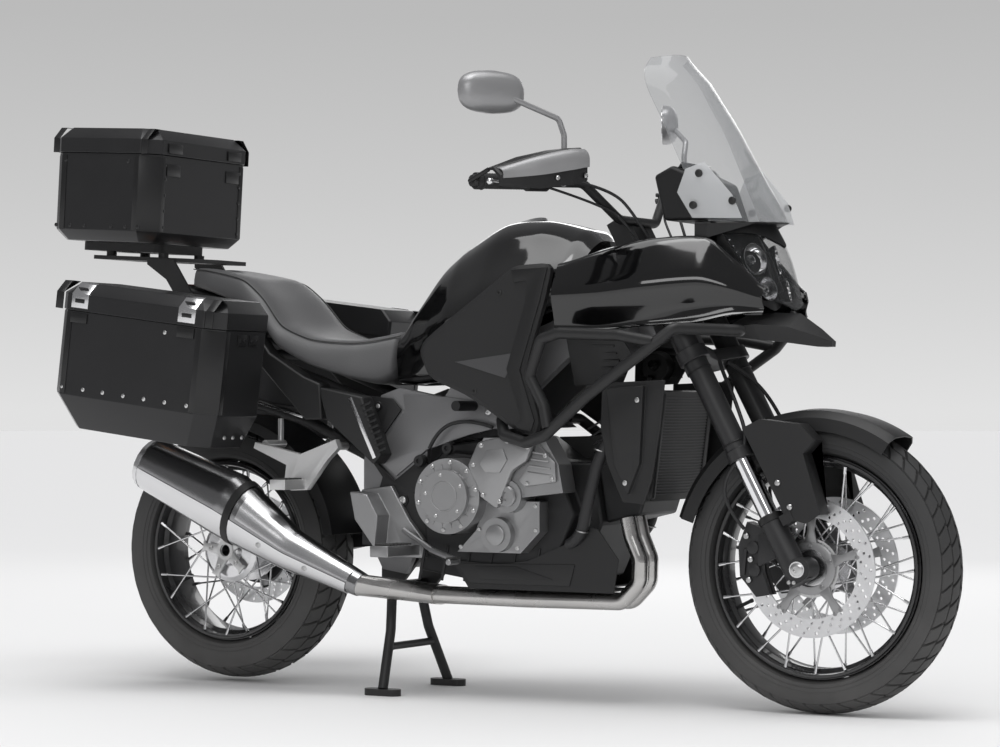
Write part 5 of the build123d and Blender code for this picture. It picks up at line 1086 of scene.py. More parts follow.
    def build(self) -> None:
        """Builds the wheel's pieces."""
        self.tyre()
        self.fittings()


class Brakes(Assembly):
    """Drilled discs, carriers, sensor rings, caliper bolts and hoses."""

    ROWS = 3

    def drilled(self, piece: Piece, centre: Vector, radius: float, band: float, thickness: float, count: int) -> None:
        """Adds one drilled disc band.

        Args:
            piece: the piece under construction.
            centre: middle of its inner face.
            radius: outer radius.
            band: width of the band.
            thickness: its thickness.
            count: holes in each row.
        """
        loops = [(centre, radius, 96), (centre, radius - band, 72)]
        for row in range(self.ROWS):
            reach = radius - band * (0.24 + 0.27 * row)
            for angle in turned(count, row * 0.33 * math.tau / count):
                loops.append((centre + on_wheel(angle, reach), 3.6, 10))
        piece.pierced(loops, (0, 1, 0), thickness)

    def front(self) -> None:
        """Builds both front discs with their carriers."""
        discs = Piece("front_discs_drilled")
        carriers = Piece("front_disc_carriers")
        for side in SIDES:
            inner = FRONT_AXLE + Vector((0, side * 67.0 - 2.5, 0))
            self.drilled(discs, inner, 155, 42, 5.0, 30)
            mid = FRONT_AXLE + Vector((0, side * 67.0, 0))
            carriers.lathe(mid, (0, side, 0), [(-7, 42), (-7, 60), (2, 60), (4, 56), (4, 42), (-7, 42)], 48)
            for angle in turned(5, 0.3):
                out, across = on_wheel(angle, 1), on_wheel(angle + math.pi / 2, 1)
                corners = ((56, -15), (84, -8), (118, -12), (118, 12), (84, 8), (56, 15))
                outline = [mid + out * reach + across * wide for reach, wide in corners]
                carriers.plate([p - Vector((0, 3, 0)) for p in outline], (0, 6, 0), 1.2)
                for lean in (-8, 8):
                    seat = mid + out * 116 + across * lean + Vector((0, side * 2.8, 0))
                    carriers.bolt(seat, (0, side, 0), 5.0, 1.8)
                carriers.bolt(mid + out * 51 + Vector((0, side * 4, 0)), (0, side, 0), 5.5, 3.5)
        discs.finish(self.kit, Look.DISC, "front_wheel", "disc_steel", ("front_discs",), 30)
        carriers.finish(self.kit, Look.COVER, "front_wheel", "disc_steel")
        sensor = Piece("front_sensor_ring")
        middle = FRONT_AXLE + Vector((0, -63.0, 0))
        loops = [(middle, 66, 72), (middle, 52, 60)]
        loops += [(middle + on_wheel(angle, 59), 2.4, 8) for angle in turned(44)]
        sensor.pierced(loops, (0, 1, 0), 1.2)
        sensor.finish(self.kit, Look.BOLT, "front_wheel", "disc_steel", (), 30)

    def rear(self) -> None:
        """Builds the rear disc with its carrier."""
        disc = Piece("rear_disc_drilled")
        centre = REAR_AXLE + Vector((0, 66.0, 0))
        self.drilled(disc, centre, 138, 40, 5.0, 27)
        disc.finish(self.kit, Look.DISC, "rear_wheel", "disc_steel", ("rear_disc",), 30)
        carrier = Piece("rear_disc_carrier")
        carrier.lathe(REAR_AXLE, (0, 1, 0), [(52, 30), (52, 50), (66, 56), (69, 56), (69, 30), (52, 30)], 48)
        for angle in turned(5):
            out, across = on_wheel(angle, 1), on_wheel(angle + math.pi / 2, 1)
            outline = [centre + out * r + across * w for r, w in ((50, -14), (104, -10), (104, 10), (50, 14))]
            carrier.plate(outline, (0, 4, 0), 1.0)
            carrier.bolt(centre + out * 100 + Vector((0, 4.6, 0)), (0, 1, 0), 5.0, 2.5)
        carrier.finish(self.kit, Look.COVER, "rear_wheel", "disc_steel")

    def calipers(self) -> None:
        """Builds the calipers' bolts, piston caps and bridges, and the brake hoses."""
        bolts = Piece("front_caliper_bolts")
        ribs = Piece("front_caliper_ribs")
        for x, z in ((706, 398), (716, 346), (712, 300)):
            bolts.bolt((x, -91.0, z), (0, -1, 0), 6.5, 3.5)
        for x, z in ((722, 372), (726, 322)):
            ribs.lathe((x, -90.0, z), (0, -1, 0), [(-2, 0), (-2, 14), (2.5, 14), (4, 11), (4, 0)], 28)
        ribs.block((700, -88, 340), (10, 8, 60), Matrix.Rotation(0.1, 3, "Y"), 2)
        bolts.mirrored()
        ribs.mirrored()
        bolts.finish(self.kit, Look.BOLT, "steering", "fork_black")
        ribs.finish(self.kit, Look.FORK, "steering", "fork_black")
        hoses = Piece("front_brake_hoses")
        for side in SIDES:
            low = sided(((704, 96, 414), (676, 112, 450), (660, 124, 520)), side)
            spots = ((80, 118, 640), (86, 96, 760), (72, 60, 830), (60, 20, 864))
            hoses.tube(low + [steer_point(ahead, side * y, up) for ahead, y, up in spots], 4.4)
        hoses.finish(self.kit, Look.HOSE, "steering", "fork_black")
        rear = Piece("rear_caliper_bolts")
        for x, z in ((-646, 330), (-622, 286)):
            rear.bolt((x, 94.6, z), (0, 1, 0), 6.0, 3.2)
        rear.finish(self.kit, Look.BOLT, "frame", "fork_black")

    def build(self) -> None:
        """Builds every brake piece."""
        self.front()
        self.rear()
        self.calipers()


# ------------------------------------------------------------------ steering
class ForkDetail(Assembly):
    """Caps, collars and bolts of the fork."""

    def build(self) -> None:
        """Builds the fork's small pieces."""
        collars = Piece("fork_collars")
        bright = Piece("fork_caps")
        bolts = Piece("fork_bolts")
        for side in SIDES:
            y = side * FORK_HALF
            top = steer_point(FORK_OFFSET, y, 1122)
            bright.lathe(top, STEER_UP, [(-2, 0), (-2, 22), (6, 22), (9, 19), (9, 9), (6, 9), (6, 0)], 32)
            for height in (622, 626.5, 660, 846):
                collars.ring(steer_point(FORK_OFFSET, y, height + 3), STEER_UP, 27.6, 1.8, 40, 8)
            lip = [(-14, 27), (-12, 30), (2, 30), (5, 24), (5, 21.8), (-14, 21.8), (-14, 27)]
            collars.lathe(steer_point(FORK_OFFSET, y, 478), STEER_UP, lip, 40)
        bolts.studs([(FRONT_AXLE.x, FRONT_AXLE.z)], 141.5, 15, 5)
        bolts.studs(((842, 300), (830, 300)), 134.5, 4.5, 3.5)
        bolts.studs(((800, 519), (829, 466)), 127.6, 6.5, 3.8)
        collars.finish(self.kit, Look.SATIN, "steering", "fork_black")
        bright.finish(self.kit, Look.BRIGHT, "steering", "fork_black")
        bolts.finish(self.kit, Look.BOLT, "steering", "fork_black")


class BarDetail(Assembly):
    """Levers, grip ribs, weights, buttons, cables, reservoirs, mirror glass and hand guard shields."""

    @staticmethod
    def along(side: int, share: float, forward: float = 0.0, lift: float = 0.0) -> Vector:
        """Point by share of the bar's outer run, 0 at its bend and 1 at its end."""
        start, end = Vector((352, side * 205, 1196)), Vector((232, side * 462, 1188))
        run = (end - start).normalized()
        ahead = Vector((0, 0, 1)).cross(run) * (-side)
        if ahead.x < 0:
            ahead = -ahead
        return start.lerp(end, share) + ahead * forward + Vector((0, 0, lift))

    def levers(self) -> None:
        """Builds the two hand levers."""
        piece = Piece("hand_levers")
        for side in SIDES:
            points = [self.along(side, 0.3, 34, 2), self.along(side, 0.45, 50, 0), self.along(side, 0.7, 48, -4)]
            points += [self.along(side, 0.9, 44, -5), self.along(side, 1.02, 48, -4)]
            for a, b, wide in zip(points, points[1:], (11, 9, 8, 7)):
                piece.rod(a, b, wide * 0.62, (wide - 1) * 0.62, 12)
            ball = self.along(side, 1.02, 48, -4)
            bmesh.ops.create_uvsphere(
                piece.bm, u_segments=16, v_segments=10, radius=8 * MM, matrix=Matrix.Translation(ball * MM)
            )
            piece.lathe(self.along(side, 0.3, 34, -10), (0, 0, 1), [(0, 0), (0, 11), (24, 11), (24, 0)], 24)
        piece.finish(self.kit, Look.BRIGHT, "steering", "hub_alloy")

    def grips(self) -> None:
        """Builds the ribs round the grips and the bar-end weights."""
        ribs = Piece("grip_ribs")
        ends = Piece("bar_end_weights")
        for side in SIDES:
            run = (self.along(side, 1.0) - self.along(side, 0.0)).normalized()
            for n in range(16):
                ribs.ring(self.along(side, 0.57 + n * 0.026), run, 16.8, 1.1, 28, 6)
            for share in (0.555, 0.985):
                ribs.ring(self.along(side, share), run, 17.6, 2.6, 32, 8)
            weight = [(0, 0), (0, 14), (14, 15.5), (22, 13), (22, 5), (19, 5), (19, 0)]
            ends.lathe(self.along(side, 1.0), run, weight, 32)
        ribs.finish(self.kit, Look.GRIP, "steering", "grip_rubber")
        ends.finish(self.kit, Look.BAR, "steering", "bar_black")

    def switches(self) -> None:
        """Builds the switch buttons, the fluid reservoir caps and the cables."""
        buttons = Piece("switch_buttons")
        for side in SIDES:
            for share, back, lift in ((0.36, -22, 10), (0.42, -24, -2), (0.33, -22, -8)):
                buttons.block(self.along(side, share, back, lift), (8, 14, 9), Matrix.Rotation(side * 0.43, 3, "Z"), 2)
        buttons.finish(self.kit, Look.PANEL_LIGHT, "steering", "plastic_black")
        cables = Piece("bar_cables")
        for side in SIDES:
            front = [self.along(side, 0.3, 30, 6), (390, side * 170, 1190), (440, side * 110, 1130)]
            cables.tube(front + [steer_point(60, side * 60, 1045)], 3.6)
            back = [self.along(side, 0.34, -6, -10), (372, side * 160, 1150), (410, side * 96, 1110)]
            cables.tube(back + [steer_point(50, side * 60, 1045)], 3.0)
        cables.finish(self.kit, Look.HOSE, "steering", "grip_rubber")
        reservoir = Piece("brake_reservoirs")
        for side in SIDES:
            seat = self.along(side, 0.24, 36, 22)
            reservoir.lathe(seat, (0, 0, 1), [(-18, 0), (-18, 17), (10, 19), (10, 21), (20, 21), (22, 18), (22, 0)], 32)
        reservoir.finish(self.kit, Look.SATIN, "steering", "plastic_black")

    def mirrors(self) -> None:
        """Builds the mirrors' glass, which faces the rider, and the nuts on their stems."""
        glass = Piece("mirror_glass")
        stems = Piece("mirror_stem_nuts")
        for side in SIDES:
            rim = mirror_rim(side, -12.2, 75, 40)
            glass.plate(rim, mirror_facing(side) * -1.4)
            stems.lathe(self.along(side, 0.2, 12, 20), (0, 0, 1), [(0, 0), (0, 10), (16, 10), (20, 7), (20, 0)], 6)
        glass.finish(self.kit, Look.MIRROR, "steering", "stanchion_chrome")
        stems.finish(self.kit, Look.BLACK_BOLT, "steering", "bar_black")

    def guards(self) -> None:
        """Builds the silver upper shields and the bolts of the hand guards."""
        caps = Piece("hand_guard_shields")
        bolts = Piece("hand_guard_bolts")
        stations = ((326, 433, 1262, 1190), (370, 418, 1258, 1178), (430, 372, 1240, 1168), (486, 304, 1214, 1172))
        for side in SIDES:
            rows = []
            for y, x, top, low in flow(stations, 20):
                tall = top - low
                line = [(x - 44, y - 12, top - 3), (x - 12, y, top + 2), (x + 3, y, top - tall * 0.2)]
                line.append((x + 2.4, y, low + tall * 0.42))
                rows.append(rounded([(a, side * b, c) for a, b, c in line], 2, False, 0.25))
            caps.loft(rows, closed=False)
            bolts.bolt((432.5, side * 338, 1200), (1, 0, 0), 6, 3)
            bolts.bolt((398, side * 404, 1192), (0.8, side * 0.6, 0), 5, 3)
        caps.thicken(2.2)
        caps.finish(self.kit, Look.GUARD, "steering", "guard_plastic")
        bolts.finish(self.kit, Look.BOLT, "steering", "guard_plastic")

    def build(self) -> None:
        """Builds the handlebar's small pieces."""
        self.levers()
        self.grips()
        self.switches()
        self.mirrors()
        self.guards()


# ------------------------------------------------------------------ front end
class NoseDetail(Assembly):
    """Headlamp, screen deflectors, screen bolts and the dash's glass."""

    @staticmethod
    def between(line: Sequence[Vector], start: float, end: float, count: int) -> list[Vector]:
        """Points spread evenly over part of a line.

        Args:
            line: the line's points.
            start: share of its length where the part starts.
            end: share of its length where the part ends.
            count: steps.

        Returns:
            The points, both ends included.
        """
        reach = [0.0]
        for a, b in zip(line, line[1:]):
            reach.append(reach[-1] + (b - a).length)
        spots = []
        for n in range(count + 1):
            goal = reach[-1] * (start + (end - start) * n / count)
            k = max(i for i in range(len(line) - 1) if reach[i] <= goal)
            spots.append(line[k].lerp(line[k + 1], min(1.0, (goal - reach[k]) / (reach[k + 1] - reach[k]))))
        return spots

    def lamp(self) -> None:
        """Builds the lens, the dark housing, the bright bowls and the lamps."""
        skins, brims = {}, {}
        for y, top_x, top_z, mid_x, mid_z, low_x, low_z in flow(LAMP_STATIONS, 24):
            line = rounded([(top_x, y, top_z), (mid_x, y, mid_z), (low_x, y, low_z)], 3, False, 0.25)
            brim = 0.03 + 0.27 * (1 - abs(y) / 106)
            skins[y] = self.between(line, brim, 1.0, 14)
            brims[y] = self.between(line, 0.0, brim, 5)
        lens = Piece("headlight_lens")
        lens.loft(list(skins.values()), closed=False).thicken(-3)
        lens.finish(self.kit, Look.LENS, "frame", "lamp_lens", ("headlight",), 60)
        brow = Piece("headlight_brow")
        brow.loft(list(brims.values()), closed=False).thicken(-6)
        brow.finish(self.kit, Look.SATIN, "frame", "gloss_black", (), 60)
        housing = Piece("headlight_housing")
        backs = [brims[y][:-1] + skins[y] for y in skins]
        housing.loft([[p + Vector((-52, -p.y * 0.04, 0)) for p in line] for line in backs], closed=False).thicken(-2)
        for side in SIDES:
            edge = skins[side * 106.0]
            outline = [(p.x, side * 105.5, p.z) for p in edge] + [(640, side * 105.5, 925), (640, side * 105.5, 1080)]
            housing.plate(outline, (0, -side * 3, 0))
        bowls = Piece("headlight_reflectors")
        lamps = Piece("headlight_projectors")
        facets = Piece("headlight_facets")
        for side in SIDES:
            for n in range(9):
                share = n / 8
                place = Vector((652 + 66 * share, side * (92 - 6 * share), 1058 - 106 * share))
                facets.block(place, (34, 3, 8), pitched(-16 + 5 * (n % 3)), 1)
            housing.block((708, side * 20, 985), (50, 4, 96), pitched(-22), 1.5)
        for side in SIDES:
            for y, z, x, wide in ((56, 1018, 718, 36), (50, 950, 748, 27)):
                axis = Vector((0.9, side * 0.3, 0.2)).normalized()
                centre = Vector((x - 16, side * y, z))
                waist, belly = wide * 0.55, wide * 0.86
                bowl = [(-22, 8), (-14, waist), (0, belly), (13, wide), (15, wide), (15, wide - 1)]
                sleeve = [(-24, 9), (-15, waist + 2), (0, belly + 2), (14, wide + 2), (14, wide + 0.5)]
                bowls.lathe(centre, axis, bowl, 40)
                housing.lathe(centre, axis, sleeve, 40)
                lamps.lathe(centre, axis, [(-24, 10), (-6, 13), (2, 12), (7, 8), (9, 0)], 28)
        housing.finish(self.kit, Look.CORNER, "frame", "plastic_black", (), 50)
        bowls.finish(self.kit, Look.REFLECTOR, "frame", "lamp_lens")
        facets.finish(self.kit, Look.FACET, "frame", "lamp_lens")
        lamps.finish(self.kit, Look.DIAL, "frame", "lamp_lens")

    def screen(self) -> None:
        """Builds the side deflectors and the screen's bolts."""
        wings = Piece("screen_deflectors")
        for side in SIDES:
            wings.plate(sided(WING_OUTLINE, side), (0, -side * 3, 0), 0.8)
        wings.finish(self.kit, Look.WING, "frame", "screen")
        bolts = Piece("screen_bolts")
        for side in SIDES:
            for x, y, z in ((621, 158.0, 1211), (700, 150.5, 1147), (606, 157.5, 1140)):
                bolts.lathe((x, side * (y - 1), z), (0, side, 0), [(-3, 0), (-3, 9), (1, 9), (2.5, 7), (2.5, 0)], 20)
        bolts.finish(self.kit, Look.BLACK_BOLT, "frame", "screen")

    def dash(self) -> None:
        """Builds the dash's glass."""
        low, high = (v * 1000 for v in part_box("instrument_panel"))
        tilt = pitched(-52)
        middle = Vector((low.x + 38, 0, high.z - 26))
        glass = Piece("dash_display")
        glass.block(middle, (86, 150, 3), tilt, 1.2)
        glass.finish(self.kit, Look.DIAL, "frame", "plastic_black")

    def build(self) -> None:
        """Builds the front end's small pieces."""
        self.lamp()
        self.screen()
        self.dash()


# ------------------------------------------------------------------ painted shells
TANK_STATIONS = (
    (-212, 878, 66, 862, 104, 806, 96, 742),
    (-156, 947, 84, 920, 124, 850, 110, 738),
    (-100, 1018, 92, 985, 150, 880, 112, 740),
    (-43, 1062, 100, 1026, 172, 910, 112, 740),
    (67, 1119, 106, 1082, 196, 950, 112, 806),
    (177, 1123, 104, 1094, 206, 985, 112, 866),
    (284, 1098, 96, 1072, 178, 1004, 112, 907),
    (316, 1073, 84, 1054, 146, 1004, 104, 913),
)
FAIRING_STATIONS = (
    (289, 206, 1012, 240, 930, 226, 862),
    (407, 196, 1043, 236, 930, 222, 860),
    (509, 176, 1064, 226, 940, 214, 868),
    (634, 142, 1066, 190, 950, 184, 876),
    (700, 124, 1010, 160, 940, 156, 890),
    (760, 112, 950, 124, 924, 122, 892),
)
SCREEN_STATIONS = (
    (1104, 768, 722, 636, 74, 138),
    (1231, 692, 656, 578, 84, 156),
    (1330, 632, 600, 532, 86, 158),
    (1430, 566, 536, 480, 82, 148),
    (1498, 506, 490, 462, 60, 104),
)
LAMP_STATIONS = (
    (-106, 650, 1082.2, 708, 1006, 748, 936),
    (-60, 700, 1099.7, 752, 1012, 776, 920),
    (0, 728, 1099.7, 774, 1020, 786, 905),
    (60, 700, 1099.7, 752, 1012, 776, 920),
    (106, 650, 1082.2, 708, 1006, 748, 936),
)
WING_OUTLINE = (
    (720, 142, 1108), (700, 150, 1160), (634, 157, 1236), (588, 158, 1222), (566, 156, 1170), (600, 148, 1112),
)
GUIDE_OUTLINE = ((290, 176, 856), (430, 172, 852), (452, 150, 800), (420, 140, 742), (300, 150, 736))
HORN_PROFILE = (
    (-16, 0), (-16, 34), (4, 40), (8, 40), (8, 34), (4, 31), (4, 22), (8, 20), (8, 9), (11, 7), (11, 0),
)
BORDER_OUTLINE = (
    (182, 1002), (278, 1006), (258, 930), (205, 772), (244, 656), (234, 629),
    (196, 640), (208, 664), (170, 774), (220, 928), (222, 976), (190, 972),
)
PANEL_OUTLINE = (
    (-70, 815), (-56, 846), (146, 984), (186, 1012), (286, 1016), (266, 931),
    (213, 772), (252, 658), (239, 619), (192, 632), (66, 712), (-43, 755),
)


class PaintedShells(Assembly):
    """Tank, fairings, side panels, screen and mirror housings with flowing surfaces, and the horns."""

    def tank(self) -> None:
        """Builds the fuel tank."""
        rows = []
        for x, top, sh_y, sh_z, waist_y, waist_z, low_y, low_z in flow(TANK_STATIONS, 46):
            half = [
                (0, top + 2), (sh_y * 0.55, top + 1), (sh_y + 2, sh_z + 4), (sh_y + 33, (sh_z * 2 + waist_z) / 3 + 2),
                (waist_y + 1, waist_z), (waist_y - 4, waist_z - (waist_z - low_z) * 0.35), (low_y, low_z), (0, low_z),
            ]
            loop = [(x, -y, z) for y, z in half] + [(x, y, z) for y, z in reversed(half[1:-1])]
            rows.append(rounded(loop, 3, True, 0.22))
        piece = Piece("fuel_tank_shell")
        piece.loft(rows)
        piece.finish(self.kit, Look.GLOSS, "frame", "gloss_black", ("fuel_tank",), 55)

    def fairings(self) -> None:
        """Builds both side fairings with their sculpted lower half."""
        piece = Piece("side_fairing_shells")
        for side in SIDES:
            rows = []
            for x, top_y, top_z, mid_y, mid_z, low_y, low_z in flow(FAIRING_STATIONS, 40):
                rise, drop = top_z - mid_z, mid_z - low_z
                line = [
                    (top_y - 12, top_z - 3), (top_y, top_z), (top_y + (mid_y - top_y) * 0.62, mid_z + rise * 0.52),
                    (mid_y, mid_z + rise * 0.2), (mid_y - 5, mid_z - drop * 0.1), (mid_y - 14, mid_z - drop * 0.5),
                    (low_y - 6, low_z + drop * 0.12), (low_y, low_z),
                ]
                rows.append(rounded([(x, side * y, z) for y, z in line], 2, False, 0.22))
            piece.loft(rows, closed=False)
        piece.thicken(-4)
        piece.finish(self.kit, Look.GLOSS, "frame", "gloss_black", ("side_fairings",), 50)

    def side_panels(self) -> None:
        """Builds the matt panels beside the tank, with a raised border."""
        piece = Piece("tank_side_shells")
        outline = rounded([(x, z, 0) for x, z in PANEL_OUTLINE], 2, True, 0.16)
        for side in SIDES:
            corners = [piece.bm.verts.new(Vector((p.x, side * 214, p.y)) * MM) for p in outline]
            face = piece.bm.faces.new(corners)
            grown = bmesh.ops.extrude_face_region(piece.bm, geom=[face], use_keep_orig=True)
            moved = [g for g in grown["geom"] if isinstance(g, bmesh.types.BMVert)]
            outer = [g for g in grown["geom"] if isinstance(g, bmesh.types.BMFace)]
            bmesh.ops.translate(piece.bm, verts=moved, vec=(0, side * 15 * MM, 0))
            bmesh.ops.recalc_face_normals(piece.bm, faces=piece.bm.faces[:])
            bmesh.ops.inset_region(piece.bm, faces=outer, thickness=10 * MM, depth=6.5 * MM)
        piece.finish(self.kit, Look.PANEL, "frame", "matt_panel", ("tank_side_panels",), 24)
        supports = Piece("side_panel_supports")
        for side in SIDES:
            for x, z in ((20, 690), (150, 724)):
                supports.rod((x, side * 128, z), (x, side * 215, z), 12, sides=28)
        supports.finish(self.kit, Look.SATIN, "frame", "matt_panel")

    def screen(self) -> None:
        """Builds the tall clear screen."""
        piece = Piece("windscreen_shell")
        rows = []
        for z, centre_x, mid_x, edge_x, mid_y, edge_y in flow(SCREEN_STATIONS, 30):
            top = max(0.0, (z - 1448) / 50.0)
            tuck = 1 - 0.22 * top**2.2
            line = [
                (edge_x, -edge_y * tuck, z - 12 * top), (mid_x + 6, -mid_y * tuck, z - 3 * top), (centre_x, 0, z),
                (mid_x + 6, mid_y * tuck, z - 3 * top), (edge_x, edge_y * tuck, z - 12 * top),
            ]
            rows.append(rounded(line, 3, False, 0.25))
        piece.loft(rows, closed=False)
        piece.thicken(-3.2)
        piece.finish(self.kit, Look.SCREEN, "frame", "screen", ("windscreen",), 60)

    def mirrors(self) -> None:
        """Builds the rounded mirror housings over their stems."""
        piece = Piece("mirror_housings")
        bulge = ((-12.6, 0.93), (-11, 1.0), (-2, 1.004), (8, 0.96), (17, 0.83), (23, 0.6), (26, 0.3), (27, 0.02))
        for side in SIDES:
            piece.loft([mirror_rim(side, reach, 84 * share, 47 * share) for reach, share in bulge])
        piece.finish(self.kit, Look.MIRROR_BACK, "steering", "plastic_black", (), 60)

    def horn(self) -> None:
        """Builds the horns and the ribbed air guides behind the crash bars."""
        piece = Piece("horn")
        for side in SIDES:
            piece.lathe((366, side * 140, 781), (0, side, 0), HORN_PROFILE, 48)
            piece.rod((366, side * 104, 790), (366, side * 130, 781), 9, sides=16)
        piece.finish(self.kit, Look.HORN, "frame", "plastic_black")
        guide = Piece("air_guides")
        for side in SIDES:
            guide.plate(sided(GUIDE_OUTLINE, side), (0, -side * 3, 0), 0.8)
            for n in range(6):
                place = (352 + n * 4, side * (170 - n * 5), 846 - n * 17)
                guide.block(place, (112, 8, 5), Matrix.Rotation(0.05, 3, "Y"), 1.4)
        guide.finish(self.kit, Look.SATIN, "frame", "matt_panel")

    def build(self) -> None:
        """Builds every shell."""
        self.tank()
        self.fairings()
        self.side_panels()
        self.screen()
        self.mirrors()
        self.horn()


# ------------------------------------------------------------------ tank, seat and side panels
SEAT_STATIONS = (
    (-826, 1040, 986, 86, 98),
    (-760, 1034, 972, 112, 126),
    (-640, 1010, 936, 128, 150),
    (-580, 962, 900, 132, 158),
    (-520, 892, 832, 140, 170),
    (-429, 858, 786, 142, 172),
    (-320, 852, 750, 122, 150),
    (-262, 862, 738, 96, 122),
    (-218, 872, 760, 70, 100),
)


class Saddle(Assembly):
    """Two-level padded seat with its seams."""

    STEPS = 44
    CURVE = 0.55
    FILL = 0.92
    SEAM = 4

    def section(self, row: tuple[float, ...]) -> list[Vector]:
        """Points round one section, from the bottom right over the top to the bottom left."""
        x, top, bottom, top_y, low_y = row
        tall = top - bottom
        half = [
            (low_y - 4, bottom + 1),
            (low_y, bottom + tall * 0.14),
            (low_y * 0.99, bottom + tall * 0.4),
            (top_y + (low_y - top_y) * 0.52, bottom + tall * 0.72),
            (top_y + (low_y - top_y) * 0.12, top - tall * 0.11),
            (top_y * 0.86, top - tall * 0.02),
            (top_y * 0.6, top - 0.5),
            (top_y * 0.3, top - 2.5),
            (0.0, top - 3.5),
        ]
        right = [Vector((x, -y, z)) for y, z in half]
        left = [Vector((x, y, z)) for y, z in reversed(half[:-1])]
        return right + left

    def build(self) -> None:
        """Builds the cushion and its seams."""
        rows = flow(SEAT_STATIONS, self.STEPS, self.CURVE)
        cushion = Piece("seat_cushion")
        grid = [[cushion.bm.verts.new(p * MM) for p in self.section(row)] for row in rows]
        for a, b in zip(grid, grid[1:]):
            for k in range(len(a) - 1):
                cushion.bm.faces.new((a[k], a[k + 1], b[k + 1], b[k]))
            cushion.bm.faces.new((a[-1], a[0], b[0], b[-1]))
        cushion.bm.faces.new(grid[0])
        cushion.bm.faces.new(list(reversed(grid[-1])))
        made = cushion.finish(self.kit, Look.VINYL, "frame", "seat_vinyl", ("seat",), 60)
        padding = made.modifiers.new("padding", "SUBSURF")
        padding.levels = 1
        padding.render_levels = 1
        seams = Piece("seat_seams")
        for side in SIDES:
            line = []
            for row in rows[::2]:
                points = self.section(row)
                point = points[self.SEAM] if side < 0 else points[-1 - self.SEAM]
                line.append(point + Vector((0, side * 0.6, 0.6)))
            seams.tube(line, 1.5, 6)
        seams.finish(self.kit, Look.STITCH, "frame", "seat_vinyl")


class BodyDetail(Assembly):
    """Filler cap, panel insets and bolts, louvres, trims, tail lamp ribs and rear indicators."""

    def tank(self) -> None:
        """Builds the filler cap with its ring and screws."""
        cap = Piece("filler_cap")
        up = Vector((-0.34, 0, 0.94)).normalized()
        seat = Vector((92, 0, 1119))
        cap.lathe(seat, up, [(-6, 0), (-6, 48), (1.5, 48), (3, 46), (3, 37), (1, 36), (5, 34), (6, 30), (6, 0)], 56)
        turn = up.to_track_quat("Z", "Y").to_matrix()
        for angle in turned(6):
            cap.bolt(seat + turn @ Vector((42 * math.cos(angle), 42 * math.sin(angle), 2.5)), up, 2.6, 1.4)
        cap.finish(self.kit, Look.COVER, "frame", "gloss_black")

    def insets(self) -> None:
        """Builds the lighter triangle, the raised border and the bolts of both side panels."""
        inset = Piece("side_panel_insets").panels([(31, 792), (165, 754), (205, 813)], 235.4, 1.2, 0.4)
        border = Piece("side_panel_borders").panels(BORDER_OUTLINE, 235.0, 4.5, 1.8)
        bolts = Piece("side_panel_bolts").studs(((150, 950), (84, 724)), 235.4, 6.0, 2.6)
        inset.finish(self.kit, Look.PANEL_LIGHT, "frame", "matt_panel", (), 30)
        border.finish(self.kit, Look.SATIN, "frame", "matt_panel")
        bolts.finish(self.kit, Look.BLACK_BOLT, "frame", "matt_panel")

    def covers(self) -> None:
        """Builds the louvres and the bright trims of the side covers."""
        louvres = Piece("side_cover_louvres")
        lean = pitched(-20)
        for side in SIDES:
            for n in range(9):
                share = n / 8
                louvres.block((-250 + 44 * share, side * 181.6, 694 - 108 * share), (30, 3.4, 6), lean, 1.2)
        trim = Piece("side_cover_trims")
        trim.panels([(-299, 708), (-290, 712), (-220, 568), (-229, 564)], 181.8, 2.2, 0.6)
        trim.panels([(-573, 700), (-573, 705), (-432, 666), (-432, 661)], 180, 2.4, 0.5)
        louvres.finish(self.kit, Look.SATIN, "frame", "matt_panel")
        trim.finish(self.kit, Look.BRIGHT, "frame", "matt_panel")

    def tail(self) -> None:
        """Builds the tail lamp's ribs and the rear indicators."""
        low, high = (v * 1000 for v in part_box("tail_light"))
        ribs = Piece("tail_lamp_ribs")
        for n in range(7):
            y = -48 + 16 * n
            ribs.block((low.x + 2.2, y, (low.z + high.z) / 2), (3, 2.5, high.z - low.z - 10), None, 0.8)
        ribs.finish(self.kit, Look.TAIL_LENS, "frame", "tail_lens")
        lamps = Piece("rear_indicators")
        stalks = Piece("rear_indicator_stalks")
        for side in SIDES:
            stalks.rod((-860, side * 78, 900), (-880, side * 128, 892), 7, 6, 16)
            lamps.block((-886, side * 146, 892), (34, 46, 26), Matrix.Rotation(side * 0.2, 3, "Z"), 8)
        stalks.finish(self.kit, Look.SATIN, "frame", "plastic_black")
        lamps.finish(self.kit, Finish("indicator_lens", (0.75, 0.28, 0.03), 0.15, coat=1.0), "frame", "tail_lens")

    def build(self) -> None:
        """Builds the body's small pieces."""
        self.tank()
        self.insets()
        self.covers()
        self.tail()


